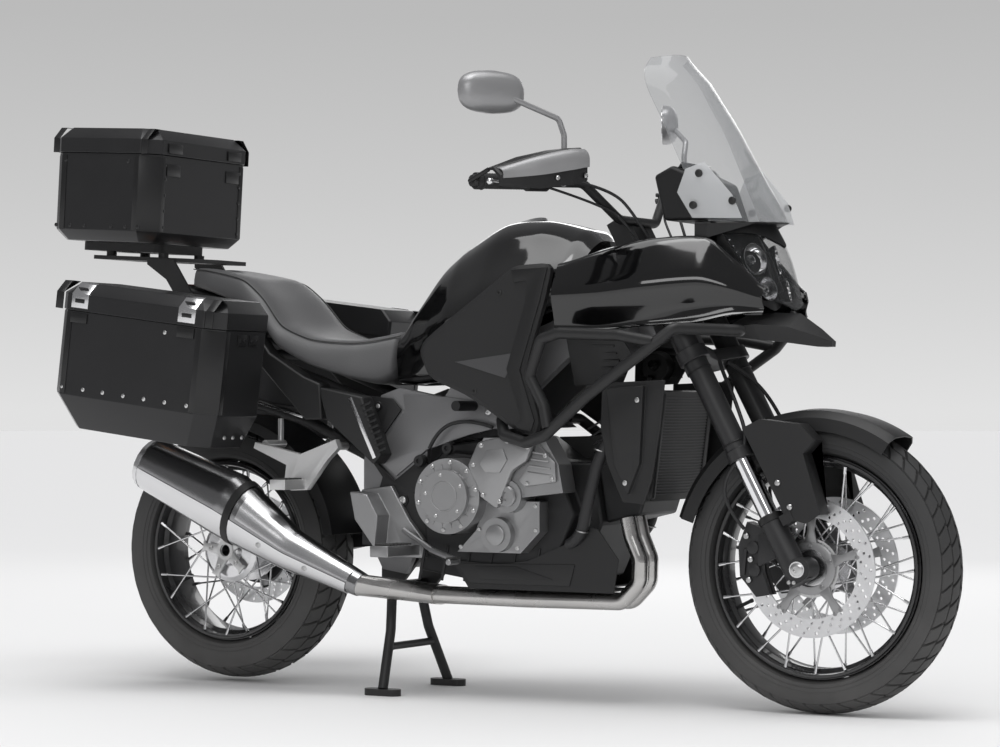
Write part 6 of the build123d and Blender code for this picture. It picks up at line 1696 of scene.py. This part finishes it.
# ------------------------------------------------------------------ engine
class EngineDetail(Assembly):
    """Cover bolts and caps, ribs, hoses, radiator fins and the damper's spring."""

    CLUTCH = (4, 480)
    BOLT_RINGS = ((79, 10, 0.2, 227.9, 5.2, 3.6), (50, 5, 0.5, 241.8, 4.2, 2.6))
    SHIELD = ((60, 552), (88, 607), (168, 622), (236, 604), (218, 563), (180, 540), (140, 452), (100, 476))
    WELL = ((96, 556), (114, 588), (158, 592), (170, 566), (150, 536), (112, 536))
    SIDE_PLATE = ((240, 604), (287, 562), (290, 516), (206, 504), (190, 520), (220, 563))
    HOSE_PATH = ((470, 118, 640), (420, 158, 630), (377, 168, 589), (346, 172, 470), (325, 166, 384), (286, 150, 372))

    def covers(self) -> None:
        """Builds the bolts, caps and raised plates of both engine covers."""
        x, z = self.CLUTCH
        bolts = Piece("engine_cover_bolts")
        for reach, count, start, out, radius, height in self.BOLT_RINGS:
            circle = [(x + reach * math.cos(angle), z + reach * math.sin(angle)) for angle in turned(count, start)]
            bolts.studs(circle, out, radius, height)
        bolts.studs(((78, 553), (99, 598), (168, 609), (222, 596), (148, 470), (104, 484)), 232.0, 5.4, 3.8)
        bolts.studs(((262, 576), (280, 522), (214, 512)), 220.0, 5.2, 3.6)
        bolts.studs(((20, 362), (172, 362), (220, 404), (220, 460), (70, 404)), 190.0, 5.2, 3.6)
        caps = Piece("engine_cover_caps")
        large = [(-1, 0), (-1, 25), (5, 25), (8, 22), (8, 10), (4, 9), (4, 0)]
        small = [(-1, 0), (-1, 24), (4, 24), (6, 20), (6, 0)]
        for side in SIDES:
            caps.ring((x, side * 242.0, z), (0, 1, 0), 34, 2.0, 48, 8)
            caps.lathe((160, side * 220.0, 482), (0, side, 0), large, 36)
            caps.lathe((126, side * 212.0, 392), (0, side, 0), small, 36)
            for n in range(4):
                place = (248, side * 220.6, 534 + n * 16)
                caps.block(place, (66 - n * 9, 3, 5), Matrix.Rotation(0.12, 3, "Y"), 1.2)
            for angle in turned(18):
                rib = (x + 69 * math.cos(angle), side * 228.6, z + 69 * math.sin(angle))
                caps.block(rib, (12, 2.4, 3), Matrix.Rotation(-angle, 3, "Y"), 0.8)
        caps.panels(self.SHIELD, 211.0, 21, 7).panels(self.WELL, 231.5, 4, 2.5).panels(self.SIDE_PLATE, 211.0, 9, 4)
        bolts.finish(self.kit, Look.BOLT, "frame", "cover_silver")
        caps.finish(self.kit, Look.COVER, "frame", "cover_silver")

    def block(self) -> None:
        """Builds the ribs and plugs of the crankcase and the ribs of the cylinders."""
        ribs = Piece("crankcase_ribs")
        for side in SIDES:
            for n in range(7):
                x = -110 + n * 62
                ribs.block((x, side * 150.6, 320), (7, 5, 84), pitched(12), 1.5)
            for x, z in ((-30, 400), (-100, 430), (-118, 560), (-40, 590), (320, 350), (330, 430)):
                ribs.lathe((x, side * 149.5, z), (0, side, 0), [(0, 0), (0, 15), (8, 13), (8, 6), (4, 5), (4, 0)], 24)
        ribs.finish(self.kit, Look.ENGINE, "frame", "engine_dark")
        fins = Piece("cylinder_ribs")
        for side in SIDES:
            for n in range(6):
                front, back = (pitched(lean) for lean in (-30, 18))
                fins.block((360 - n * 6, side * 94.4, 560 + n * 18), (60, 3, 5), front, 1.0)
                fins.block((-20, side * 94.4, 600 + n * 18), (80, 3, 5), back, 1.0)
        fins.finish(self.kit, Look.ENGINE, "frame", "engine_dark")

    def hoses(self) -> None:
        """Builds the coolant hoses with their clamps and the wiring."""
        hoses = Piece("coolant_hoses")
        clamps = Piece("hose_clamps")
        for side in SIDES:
            path = sided(self.HOSE_PATH, side)
            hoses.tube(path, 14, 10)
            clamps.ring((377, side * 168, 589), (Vector(path[3]) - Vector(path[2])).normalized(), 14.4, 1.6, 28, 6)
            clamps.ring((330, side * 167.6, 404), (Vector(path[4]) - Vector(path[3])).normalized(), 14.4, 1.6, 28, 6)
            wire_path = ((-90, 152, 590), (-60, 160, 640), (20, 150, 660), (80, 146, 640))
            vent_path = ((230, 140, 640), (270, 146, 680), (330, 120, 720), (360, 112, 760))
            for line, radius in ((wire_path, 4.5), (vent_path, 6.0)):
                hoses.tube(sided(line, side), radius, 6)
        hoses.finish(self.kit, Look.HOSE, "frame", "engine_dark")
        clamps.finish(self.kit, Look.BOLT, "frame", "engine_dark")

    def radiator(self) -> None:
        """Builds the radiator's fins, its side tanks and the screws of its cowls."""
        top, foot = Vector((516, 0, 722)), Vector((484, 0, 474))
        rise = (foot - top).normalized()
        ahead = Vector((-rise.z, 0, rise.x)).normalized()
        if ahead.x < 0:
            ahead = -ahead
        fins = Piece("radiator_fins")
        length = (foot - top).length
        turn = Matrix((ahead, Vector((0, 1, 0)), rise)).transposed()
        for n in range(34):
            spot = top + rise * (14 + (length - 28) * n / 33) + ahead * 0.8
            fins.block(spot, (2.2, 222, 2.6), turn)
        fins.finish(self.kit, Look.PANEL_LIGHT, "frame", "radiator_black")
        tanks = Piece("radiator_tanks")
        for side in SIDES:
            tanks.block(top.lerp(foot, 0.5) + ahead * -4 + Vector((0, side * 121, 0)), (18, 20, length - 8), turn, 5)
        tanks.finish(self.kit, Look.SATIN, "frame", "radiator_black")
        screws = Piece("cowl_meshes").studs(((485, 703), (454, 516)), 195.0, 6.0, 2.8)
        screws.finish(self.kit, Look.BOLT, "frame", "matt_panel")

    def shock(self) -> None:
        """Builds the coil spring round the rear damper and its two end plates."""
        foot, top = Vector((-326, 0, 440.3)), Vector((-262, 0, 690))
        run = (top - foot).normalized()
        turn = run.to_track_quat("Z", "Y").to_matrix()
        coil = Piece("shock_spring")
        turns, steps, line = 7, 18, []
        for n in range(turns * steps + 1):
            angle = n * math.tau / steps
            along = run * (46 + 128 * n / (turns * steps))
            line.append(foot + along + turn @ Vector((34 * math.cos(angle), 34 * math.sin(angle), 0)))
        coil.tube(line, 5.5, 8)
        coil.finish(self.kit, Look.BRIGHT, "frame", "shock_steel")
        seats = Piece("shock_seats")
        for reach in (40, 178):
            seats.lathe(foot + run * reach, run, [(-5, 16), (-5, 38), (4, 38), (4, 16), (-5, 16)], 36)
        seats.finish(self.kit, Look.BAR, "frame", "shock_steel")

    def build(self) -> None:
        """Builds the engine's small pieces."""
        self.covers()
        self.block()
        self.hoses()
        self.radiator()
        self.shock()


# ------------------------------------------------------------------ exhaust and frame
class ExhaustDetail(Assembly):
    """Heat shields, the upper front one partly a painted highlight, straps, band, outlet and bolts of the silencer."""

    STATIONS = ((-868, 551, 60, 58), (-850, 545, 66, 64), (-614, 447, 82, 72), (-437, 345, 50, 46), (-238, 266, 29, 29))
    FORWARD = Vector((1, 0, -0.42)).normalized()
    UP = Vector((0.42, 0, 1)).normalized()

    def at(self, x: float) -> tuple[float, float, float]:
        """Height, half height and half width of the silencer at a place along it."""
        for a, b in zip(self.STATIONS, self.STATIONS[1:]):
            if a[0] <= x <= b[0]:
                share = (x - a[0]) / (b[0] - a[0])
                return tuple(a[k] + (b[k] - a[k]) * share for k in (1, 2, 3))
        return self.STATIONS[-1][1:]

    def wrap(self, piece: Piece, x: float, start: float, end: float, lift: float, count: int) -> list:
        """Row of vertices on the silencer's skin, lifted off it.

        Args:
            piece: the piece under construction.
            x: place along the silencer.
            start: first angle, 0 outwards and 90 up, in degrees.
            end: last angle.
            lift: distance off the skin.
            count: steps.

        Returns:
            The row's vertices.
        """
        z, tall, wide = self.at(x)
        row = []
        for k in range(count + 1):
            angle = math.radians(start + (end - start) * k / count)
            y = -218 - (wide + lift) * math.cos(angle)
            row.append(piece.bm.verts.new((Vector((x, y, z)) + self.UP * (tall + lift) * math.sin(angle)) * MM))
        return row

    def skin(self, piece: Piece, places: Sequence[float], start: float, end: float, lift: float, wall: float) -> None:
        """Adds a sheet that follows the silencer's skin.

        Args:
            piece: the piece under construction.
            places: stations along it.
            start: first angle in degrees.
            end: last angle in degrees.
            lift: distance off the skin.
            wall: sheet thickness.
        """
        rows = [self.wrap(piece, x, start, end, lift, 18) for x in places]
        faces = []
        for a, b in zip(rows, rows[1:]):
            for k in range(len(a) - 1):
                faces.append(piece.bm.faces.new((a[k], a[k + 1], b[k + 1], b[k])))
        bmesh.ops.recalc_face_normals(piece.bm, faces=faces)
        bmesh.ops.solidify(piece.bm, geom=faces, thickness=wall * MM)

    def build(self) -> None:
        """Builds the exhaust's small pieces."""
        shield_and_highlight = Piece("heat_shield")
        self.skin(shield_and_highlight, [-862 + n * 24 for n in range(26)], -86, -6, 2.4, 1.6)
        # painted highlight: this bright sheet over the silencer's upper front stands for the bright reflection on a
        # black cover, so it is partly real and partly painted light
        self.skin(shield_and_highlight, [-560 + n * 15 for n in range(21)], 2, 52, 3.4, 1.6)
        shield_and_highlight.finish(self.kit, Look.SHIELD, "frame", "pipe_steel")
        strap = Piece("silencer_straps")
        self.skin(strap, [-866, -852], -178, 178, 3.0, 2.2)
        strap.finish(self.kit, Look.SHIELD, "frame", "pipe_steel")
        band = Piece("silencer_band")
        self.skin(band, [-590, -574], -88, 175, 5.0, 1.8)
        band.finish(self.kit, Look.SATIN, "frame", "silencer_black")
        cap = Piece("silencer_outlet")
        lip = [(-4, 0), (-4, 26), (4, 26), (4, 21), (-1, 20), (-1, 0)]
        cap.lathe((-868, -218, 551), -self.FORWARD, lip, 36)
        cap.finish(self.kit, Look.BRIGHT, "frame", "silencer_black")
        bolts = Piece("silencer_bolts")
        for x in (-376, -500):
            z, tall, wide = self.at(x)
            bolts.bolt((x, -218 - (wide + 3.6) * 0.9, z - tall * 0.4), (0, -0.9, -0.4), 6.5, 3.4)
        bolts.finish(self.kit, Look.BOLT, "frame", "silencer_black")


class ChassisDetail(Assembly):
    """Frame plates, bolts, footrest rubbers, rear hub star and the skid plate's facets."""

    BOLTS = (
        (-174, 137.5, 466, 9), (-118, 137.5, 562, 7), (-232, 137.5, 398, 12), (60, 133.4, 676, 8),
        (380, 128, 880, 10), (180, 128, 800, 7), (-244, 137.5, 690, 6),
    )
    PIVOT_OUTLINE = (
        (-283, 716), (-206, 708), (-180, 681), (-246, 600), (-243, 552), (-198, 513), (-114, 573), (-100, 537),
        (-145, 484), (-90, 392), (-128, 356), (-215, 356), (-262, 438), (-233, 520), (-269, 565),
    )
    UPPER_OUTLINE = (
        (-176, 718), (-61, 712), (77, 697), (94, 640), (8, 622),
        (-109, 586), (-196, 522), (-236, 556), (-238, 596), (-170, 680),
    )
    PLUGS = ((-174, 466, 17), (-232, 398, 21), (-118, 562, 12), (-244, 690, 12))
    STAR_LOBE = ((18, -14), (60, -9), (70, -15), (70, 15), (60, 9), (18, 14))

    def frame_plates(self) -> None:
        """Builds the frame's bolts, black pivot plates, silver upper plates and plugs."""
        bolts = Piece("frame_bolts")
        pivot = Piece("pivot_panels").panels(self.PIVOT_OUTLINE, 129, 7, 2.6)
        upper = Piece("upper_frame_plates").panels(self.UPPER_OUTLINE, 128.4, 5, 2.2)
        for side in SIDES:
            for x, y, z, r in self.BOLTS:
                bolts.bolt((x, side * (y - 0.6), z), (0, side, 0), r, r * 0.45)
            for x, z, r in self.PLUGS:
                plug = [(-1, 0), (-1, r), (4, r - 2), (4, r - 6), (1, r - 7), (1, 0)]
                pivot.lathe((x, side * 135, z), (0, side, 0), plug, 32)
        bolts.finish(self.kit, Look.BOLT, "frame", "frame_grey")
        pivot.finish(self.kit, Look.SATIN, "frame", "matt_panel")
        upper.finish(self.kit, Look.FRAME, "frame", "frame_grey")

    def rear_hub(self) -> None:
        """Builds the five-lobed star and its bolts on the rear hub."""
        star = Piece("rear_hub_star")
        face, out = REAR_AXLE + Vector((0, -61.5, 0)), (0, -1, 0)
        for angle in turned(5, 0.5):
            reach, across = on_wheel(angle, 1), on_wheel(angle + math.pi / 2, 1)
            star.plate([face + reach * r + across * w for r, w in self.STAR_LOBE], (0, -6, 0), 2)
            star.bolt(REAR_AXLE + Vector((0, -67.3, 0)) + reach * 44, out, 6.5, 4.5)
        star.lathe(REAR_AXLE + Vector((0, -61, 0)), out, [(0, 15), (0, 27), (8, 24), (8, 15), (0, 15)], 40)
        star.finish(self.kit, Look.PEG_PLATE, "rear_wheel", "hub_alloy")

    def skid_plate(self) -> None:
        """Builds the facets on the skid plate's sides."""
        wings = Piece("skid_plate_facets")
        wings.panels(((-10, 322), (26, 276), (292, 276), (306, 326)), 157.6, 3, 1.6)
        wings.panels(((40, 316), (58, 286), (250, 290), (150, 318)), 160.2, 2.2, 1)
        wings.finish(self.kit, Look.PANEL, "frame", "matt_panel")

    def footrests(self) -> None:
        """Builds the rubbers of the rider's and the passenger's footrests."""
        rubbers = Piece("footrest_rubbers")
        pegs = Piece("passenger_peg_rubbers")
        for side in SIDES:
            for n in range(7):
                rubbers.block((-144, side * (182 + n * 15), 364.4), (42, 7, 5), None, 1.4)
            rubbers.block((40, side * 258, 338.6), (16, 44, 5), None, 1.4)
            for n in range(5):
                pegs.block((-436, side * (208 + n * 15), 515), (36, 7, 5), None, 1.4)
        rubbers.finish(self.kit, Look.PEG_RUBBER, "frame", "grip_rubber")
        pegs.finish(self.kit, Look.PEG_RUBBER, "frame", "grip_rubber")

    def build(self) -> None:
        """Builds the chassis's small pieces."""
        self.frame_plates()
        self.rear_hub()
        self.skid_plate()
        self.footrests()
        pan = Piece("skid_plate_bolts").studs(((40, 290), (150, 286), (270, 300)), 157.4, 6.0, 3.0)
        pan.finish(self.kit, Look.BOLT, "frame", "matt_panel")


# ------------------------------------------------------------------ luggage
class CaseDetail(Assembly):
    """Corner guards, rivets, latches, straps and handle of the three cases."""

    SIDE_TURN = pitched(7.24)
    TOP_TURN = pitched(3.4)
    TOP_LONG, TOP_HALF = 325, 213
    SIDE_LONG, SIDE_HALF = 484, 477
    GUARD_REACH, GUARD_BEVEL, GUARD_OUT, GUARD_IN = 56, 41, 1.6, 1.0

    @staticmethod
    def top(along: float, y: float, up: float) -> Vector:
        """Point in the top case's own directions, in mm."""
        return Vector((-1198 + along * 0.99824 + up * 0.0593, y, 1117 - along * 0.0593 + up * 0.99824))

    @staticmethod
    def side(along: float, y: float, up: float) -> Vector:
        """Point in the pannier's own directions, in mm."""
        return Vector((-990 + along * 0.99203 + up * 0.12603, y, 646 - along * 0.12603 + up * 0.99203))

    def rivets(self) -> None:
        """Builds the rivets of the cases."""
        top = Piece("top_case_rivets")
        shape = [(-1, 0), (-1, 5), (1, 5), (2.2, 3.4), (2.6, 0)]
        for side in SIDES:
            for along in (30, 75, 120, 205, 250, 290):
                top.lathe(self.top(along, side * 212.8, 36), (0, side, 0), shape, 16)
            for along in (52, 250):
                top.lathe(self.top(along, side * 212.8, 200), (0, side, 0), shape, 16)
            for up in (40, 80, 120, 160, 196):
                top.lathe(self.top(325, side * 158, up), (0.998, 0, -0.0593), shape, 16)
        top.finish(self.kit, Look.CASE, "frame", "case_alloy")
        low = Piece("pannier_rivets")
        for side in SIDES:
            for along in (46, 110, 170, 232, 294, 356, 420):
                low.lathe(self.side(along, side * 476.8, 98), (0, side, 0), shape, 16)
            for along in (66, 336):
                low.lathe(self.side(along, side * 476.8, 262), (0, side, 0), shape, 16)
            for y in (330, 366, 400):
                low.lathe(self.side(484, side * y, 30), (0.992, 0, -0.126), shape, 16)
        low.finish(self.kit, Look.BOLT, "frame", "case_alloy")

    def bent(
        self,
        piece: Piece,
        place: Callable[[float, float, float], Vector],
        path: Sequence[tuple[float, float]],
        along: float,
        wide: float,
        wall: float,
        side: int,
    ) -> None:
        """Adds a strap bent round a case, from its path across and up.

        Args:
            piece: the piece under construction.
            place: the case's own point function.
            path: distance out and height of each bend.
            along: place of the strap's near edge along the case.
            wide: its width.
            wall: its thickness.
            side: 1 for the left and -1 for the right.
        """
        line = [Vector((out, up)) for out, up in path]
        inner = [p - Vector((wall, wall * 0.4)) for p in line]
        loop = line + list(reversed(inner))
        outline = [place(along, side * p.x, p.y) for p in loop]
        push = place(along + wide, 0, 0) - place(along, 0, 0)
        piece.plate(outline, push, 0.5)

    def side_latches(self) -> None:
        """Builds the latches, keeps and corner straps of the panniers."""
        for body, side in (("pannier_lid_right", -1), ("pannier_lid_left", 1)):
            straps = Piece(f"{body}_latches")
            slots = Piece(f"{body}_latch_slots")
            marks = Piece(f"{body}_corner_straps")
            for along in (52, 372):
                hasp = [(480.6, 292), (480.6, 326), (456, 350), (448, 354.5)]
                self.bent(straps, self.side, hasp, along, 50, 2.2, side)
                for up, out, lean in ((309, 480.9, 0.0), (338, 469.5, 0.8)):
                    centre = self.side(along + 25, side * out, up)
                    turn = self.SIDE_TURN @ Matrix.Rotation(-side * lean, 3, "X")
                    slots.block(centre, (28, 1.8, 10), turn, 0.5)
            for along in (4, 452):
                brace = [(480.4, 286), (480.4, 326), (452.6, 353.6), (420, 353.6)]
                self.bent(marks, self.side, brace, along, 22, 2.0, side)
            for piece, look in ((straps, Look.BRIGHT), (slots, Look.CORNER), (marks, Look.CORNER)):
                piece.finish(self.kit, look, body, "case_alloy")
        keeps = Piece("pannier_latch_keeps")
        for side in SIDES:
            for along in (52, 372):
                centre = self.side(along + 25, side * 478.4, 268)
                keeps.block(centre, (50, 3.4, 24), self.SIDE_TURN, 1.0)
            for y in (325, 372):
                centre = self.side(485.4, side * y, 262)
                keeps.block(centre, (3, 34, 26), self.SIDE_TURN, 1.0)
                for off in (-9, 9):
                    keeps.bolt(self.side(486.6, side * (y + off), 262), (0.992, 0, -0.126), 4.2, 2.4)
        keeps.finish(self.kit, Look.CORNER, "frame", "case_alloy")

    def top_latches(self) -> None:
        """Builds the hinge leaves and the corner straps of the top case."""
        hasps = Piece("top_case_lid_latches")
        marks = Piece("top_case_lid_straps")
        for y in (-126, 126):
            hasps.block(self.top(330.6, y, 238), (3.4, 56, 24), self.TOP_TURN, 1.4)
        for side in SIDES:
            for along in (14, 292):
                brace = [(217.6, 220), (217.6, 256), (189.6, 284), (168, 284)]
                self.bent(marks, self.top, brace, along, 18, 2.0, side)
        hasps.finish(self.kit, Look.CORNER, "top_case_lid", "case_alloy")
        marks.finish(self.kit, Look.CORNER, "top_case_lid", "case_alloy")
        keeps = Piece("top_case_latch_keeps")
        for y in (-126, 126):
            keeps.block(self.top(326.4, y, 184), (3, 56, 30), self.TOP_TURN, 1.2)
        keeps.finish(self.kit, Look.CORNER, "frame", "case_alloy")

    def guard(
        self,
        piece: Piece,
        place: Callable[[float, float, float], Vector],
        corner: tuple[float, float],
        turn: tuple[int, int],
        low: float,
        high: float,
    ) -> None:
        """Adds a guard wrapped round one bevelled upright corner.

        Args:
            piece: the piece under construction.
            place: the case's own point function.
            corner: where the two sides would meet, along and across.
            turn: direction from the corner into the case, along and across.
            low: its lower end.
            high: its upper end.
        """
        (a, y), (da, dy) = corner, turn
        far, near, out, inner = self.GUARD_REACH, self.GUARD_BEVEL, self.GUARD_OUT, self.GUARD_IN
        skin = [(a + da * far, y - dy * out), (a + da * (near - 0.4), y - dy * out)]
        skin += [(a - da * out, y + dy * (near - 0.4)), (a - da * out, y + dy * far)]
        under = [(a + da * far, y + dy * inner), (a + da * near, y + dy * inner)]
        under += [(a + da * inner, y + dy * near), (a + da * inner, y + dy * far)]
        outline = [place(p, q, low) for p, q in skin + list(reversed(under))]
        piece.plate(outline, place(0, 0, high) - place(0, 0, low), 0.5)

    def corners(self) -> None:
        """Builds the corner guards of the cases."""
        top = Piece("top_case_corners")
        for side in SIDES:
            for along, da in ((0, 1), (self.TOP_LONG, -1)):
                self.guard(top, self.top, (along, side * self.TOP_HALF), (da, -side), 28, 214)
        top.finish(self.kit, Look.CORNER, "frame", "case_alloy")
        low = Piece("pannier_corners")
        for side in SIDES:
            for along, da in ((0, 1), (self.SIDE_LONG, -1)):
                self.guard(low, self.side, (along, side * self.SIDE_HALF), (da, -side), 84, 280)
        low.finish(self.kit, Look.CORNER, "frame", "case_alloy")

    def handles(self) -> None:
        """Builds the top case's lid handle."""
        top = Piece("top_case_handle")
        line = ((110, 281), (112, 286), (160, 288), (210, 286), (212, 281))
        top.tube([self.top(along, 0, up) for along, up in line], 6, 8)
        top.finish(self.kit, Look.CORNER, "top_case_lid", "case_alloy")

    def build(self) -> None:
        """Builds the cases' small pieces."""
        self.rivets()
        self.side_latches()
        self.top_latches()
        self.corners()
        self.handles()


# ------------------------------------------------------------------ studio
class Studio:
    """Pale floor and sky, both with painted shade, and soft lamps."""

    # painted shade: backdrop grey by height, darker towards the top where less light reaches
    PAINTED_SKY_SHADE = ((0.0, 0.755), (0.0386, 0.665), (0.0737, 0.597), (0.1088, 0.539), (0.137, 0.497), (0.3, 0.42))

    def __init__(self) -> None:
        """Keeps the scene that it lights."""
        self.scene = bpy.context.scene

    def floor(self) -> None:
        """Lays the pale floor, its colour darker near the bike: painted shade that offsets the lamps' pool of light
        there.
        """
        bpy.ops.mesh.primitive_circle_add(vertices=64, radius=90, fill_type="NGON", location=(0, 0, 0))
        floor = bpy.context.object
        floor.name = "studio_floor_painted_shade"
        made = bpy.data.materials.new("studio_floor_painted_shade")
        made.use_nodes = True
        body = made.node_tree.nodes["Principled BSDF"]
        tree = made.node_tree
        place = add_node(tree, "TexCoord")
        reach = add_node(tree, "VectorMath", "LENGTH")
        # painted shade: the floor's colour darkens towards the bike to offset the lamps' brighter light near it
        painted_shade_tone = add_node(tree, "MapRange", "", {"From Min": 0.6, "From Max": 7.0, "To Min": 0.72, "To Max": 0.862})
        wire(
            tree,
            (place.outputs["Object"], reach.inputs[0]),
            (reach.outputs["Value"], painted_shade_tone.inputs["Value"]),
            (painted_shade_tone.outputs["Result"], body.inputs["Base Color"]),
        )
        body.inputs["Roughness"].default_value = 0.85
        body.inputs["Specular IOR Level"].default_value = 0.15
        floor.data.materials.append(made)

    def sky(self) -> None:
        """Gives the world a pale vertical gradient for camera rays, darker towards the top: painted shade of the light
        falling off on the backdrop.
        """
        world = bpy.data.worlds.new("studio_sky")
        self.scene.world = world
        world.use_nodes = True
        tree = world.node_tree
        tree.nodes.clear()
        out = add_node(tree, "OutputWorld")
        shown = add_node(tree, "Background")
        lit = add_node(tree, "Background", "", {"Color": (0.86, 0.86, 0.87, 1), "Strength": 0.72})
        mirrored = add_node(tree, "Background", "", {"Color": (0.22, 0.22, 0.224, 1)})
        mix = add_node(tree, "MixShader")
        unseen = add_node(tree, "MixShader")
        path = add_node(tree, "LightPath")
        place = add_node(tree, "TexCoord")
        split = add_node(tree, "SeparateXYZ")
        either = add_node(tree, "Math", "MAXIMUM")
        ramp = add_node(tree, "ValToRGB")
        stops = ramp.color_ramp.elements
        for stop, (height, painted_shade_tone) in zip(stops, (self.PAINTED_SKY_SHADE[0], self.PAINTED_SKY_SHADE[-1])):
            stop.position = height
            stop.color = (painted_shade_tone, painted_shade_tone, painted_shade_tone, 1)
        for height, painted_shade_tone in self.PAINTED_SKY_SHADE[1:-1]:
            stops.new(height).color = (painted_shade_tone, painted_shade_tone, painted_shade_tone, 1)
        wire(
            tree,
            (place.outputs["Generated"], split.inputs[0]),
            (split.outputs["Z"], ramp.inputs["Fac"]),
            (ramp.outputs["Color"], shown.inputs["Color"]),
            (path.outputs["Is Camera Ray"], either.inputs[0]),
            (path.outputs["Is Transmission Ray"], either.inputs[1]),
            (either.outputs[0], mix.inputs["Fac"]),
            (path.outputs["Is Glossy Ray"], unseen.inputs["Fac"]),
            (lit.outputs[0], unseen.inputs[1]),
            (mirrored.outputs[0], unseen.inputs[2]),
            (unseen.outputs[0], mix.inputs[1]),
            (shown.outputs[0], mix.inputs[2]),
            (mix.outputs[0], out.inputs["Surface"]),
        )

    def lamp(
        self, name: str, place: Sequence[float], aim: Sequence[float], size: tuple[float, float], power: float
    ) -> None:
        """Hangs one soft rectangular lamp.

        Args:
            name: the lamp's name.
            place: where it hangs, in metres.
            aim: what it faces.
            size: its two sides.
            power: its power in watts.
        """
        light = bpy.data.lights.new(name, "AREA")
        light.shape = "RECTANGLE"
        light.size, light.size_y = size
        light.energy = power
        holder = bpy.data.objects.new(name, light)
        holder.location = place
        holder.rotation_euler = (Vector(aim) - Vector(place)).to_track_quat("-Z", "Y").to_euler()
        self.scene.collection.objects.link(holder)

    def build(self) -> None:
        """Sets the floor, the sky and the lamps."""
        self.floor()
        self.sky()
        self.lamp("overhead", (0.2, -0.4, 4.2), (0, 0, 0.4), (4.2, 2.2), 62)
        self.lamp("near_side", (1.6, -5.2, 3.0), (0, 0, 0.6), (3.6, 1.2), 46)
        self.lamp("far_side", (-2.0, 5.0, 2.8), (0, 0, 0.6), (3.6, 1.2), 34)
        sun = bpy.data.lights.new("soft_sun", "SUN")
        sun.energy = 1.1
        sun.angle = math.radians(35)
        holder = bpy.data.objects.new("soft_sun", sun)
        holder.rotation_euler = (math.radians(18), math.radians(6), 0)
        self.scene.collection.objects.link(holder)
        self.scene.view_settings.view_transform = "Standard"


class Viewer:
    """The fixed camera."""

    PLACE = (3.45013, -5.88629, 0.67920)
    TURN = math.radians(30.2726)
    RISE = math.radians(-0.7453)
    LENS = 102.576

    def build(self) -> None:
        """Places the camera."""
        camera = bpy.data.cameras.new("camera")
        camera.lens = self.LENS
        camera.sensor_width = 36.0
        holder = bpy.data.objects.new("camera", camera)
        level = math.cos(self.RISE)
        ahead = Vector((-math.sin(self.TURN) * level, math.cos(self.TURN) * level, -math.sin(self.RISE)))
        holder.location = self.PLACE
        holder.rotation_euler = ahead.to_track_quat("-Z", "Y").to_euler()
        bpy.context.scene.collection.objects.link(holder)
        bpy.context.scene.camera = holder


def main() -> None:
    """Builds and dresses every group of pieces."""
    logging.basicConfig(level=logging.INFO, format="%(name)s %(message)s")
    kit = ShaderKit()
    CarriedSolids(kit).build()
    PaintedShells(kit).build()
    for size in (FRONT_WHEEL, REAR_WHEEL):
        Wheel(kit, size).build()
    for group in (Brakes, ForkDetail, BarDetail, NoseDetail, Saddle, BodyDetail):
        group(kit).build()
    for group in (EngineDetail, ExhaustDetail, ChassisDetail, CaseDetail):
        group(kit).build()
    Studio().build()
    Viewer().build()


if __name__ == "__main__":
    main()
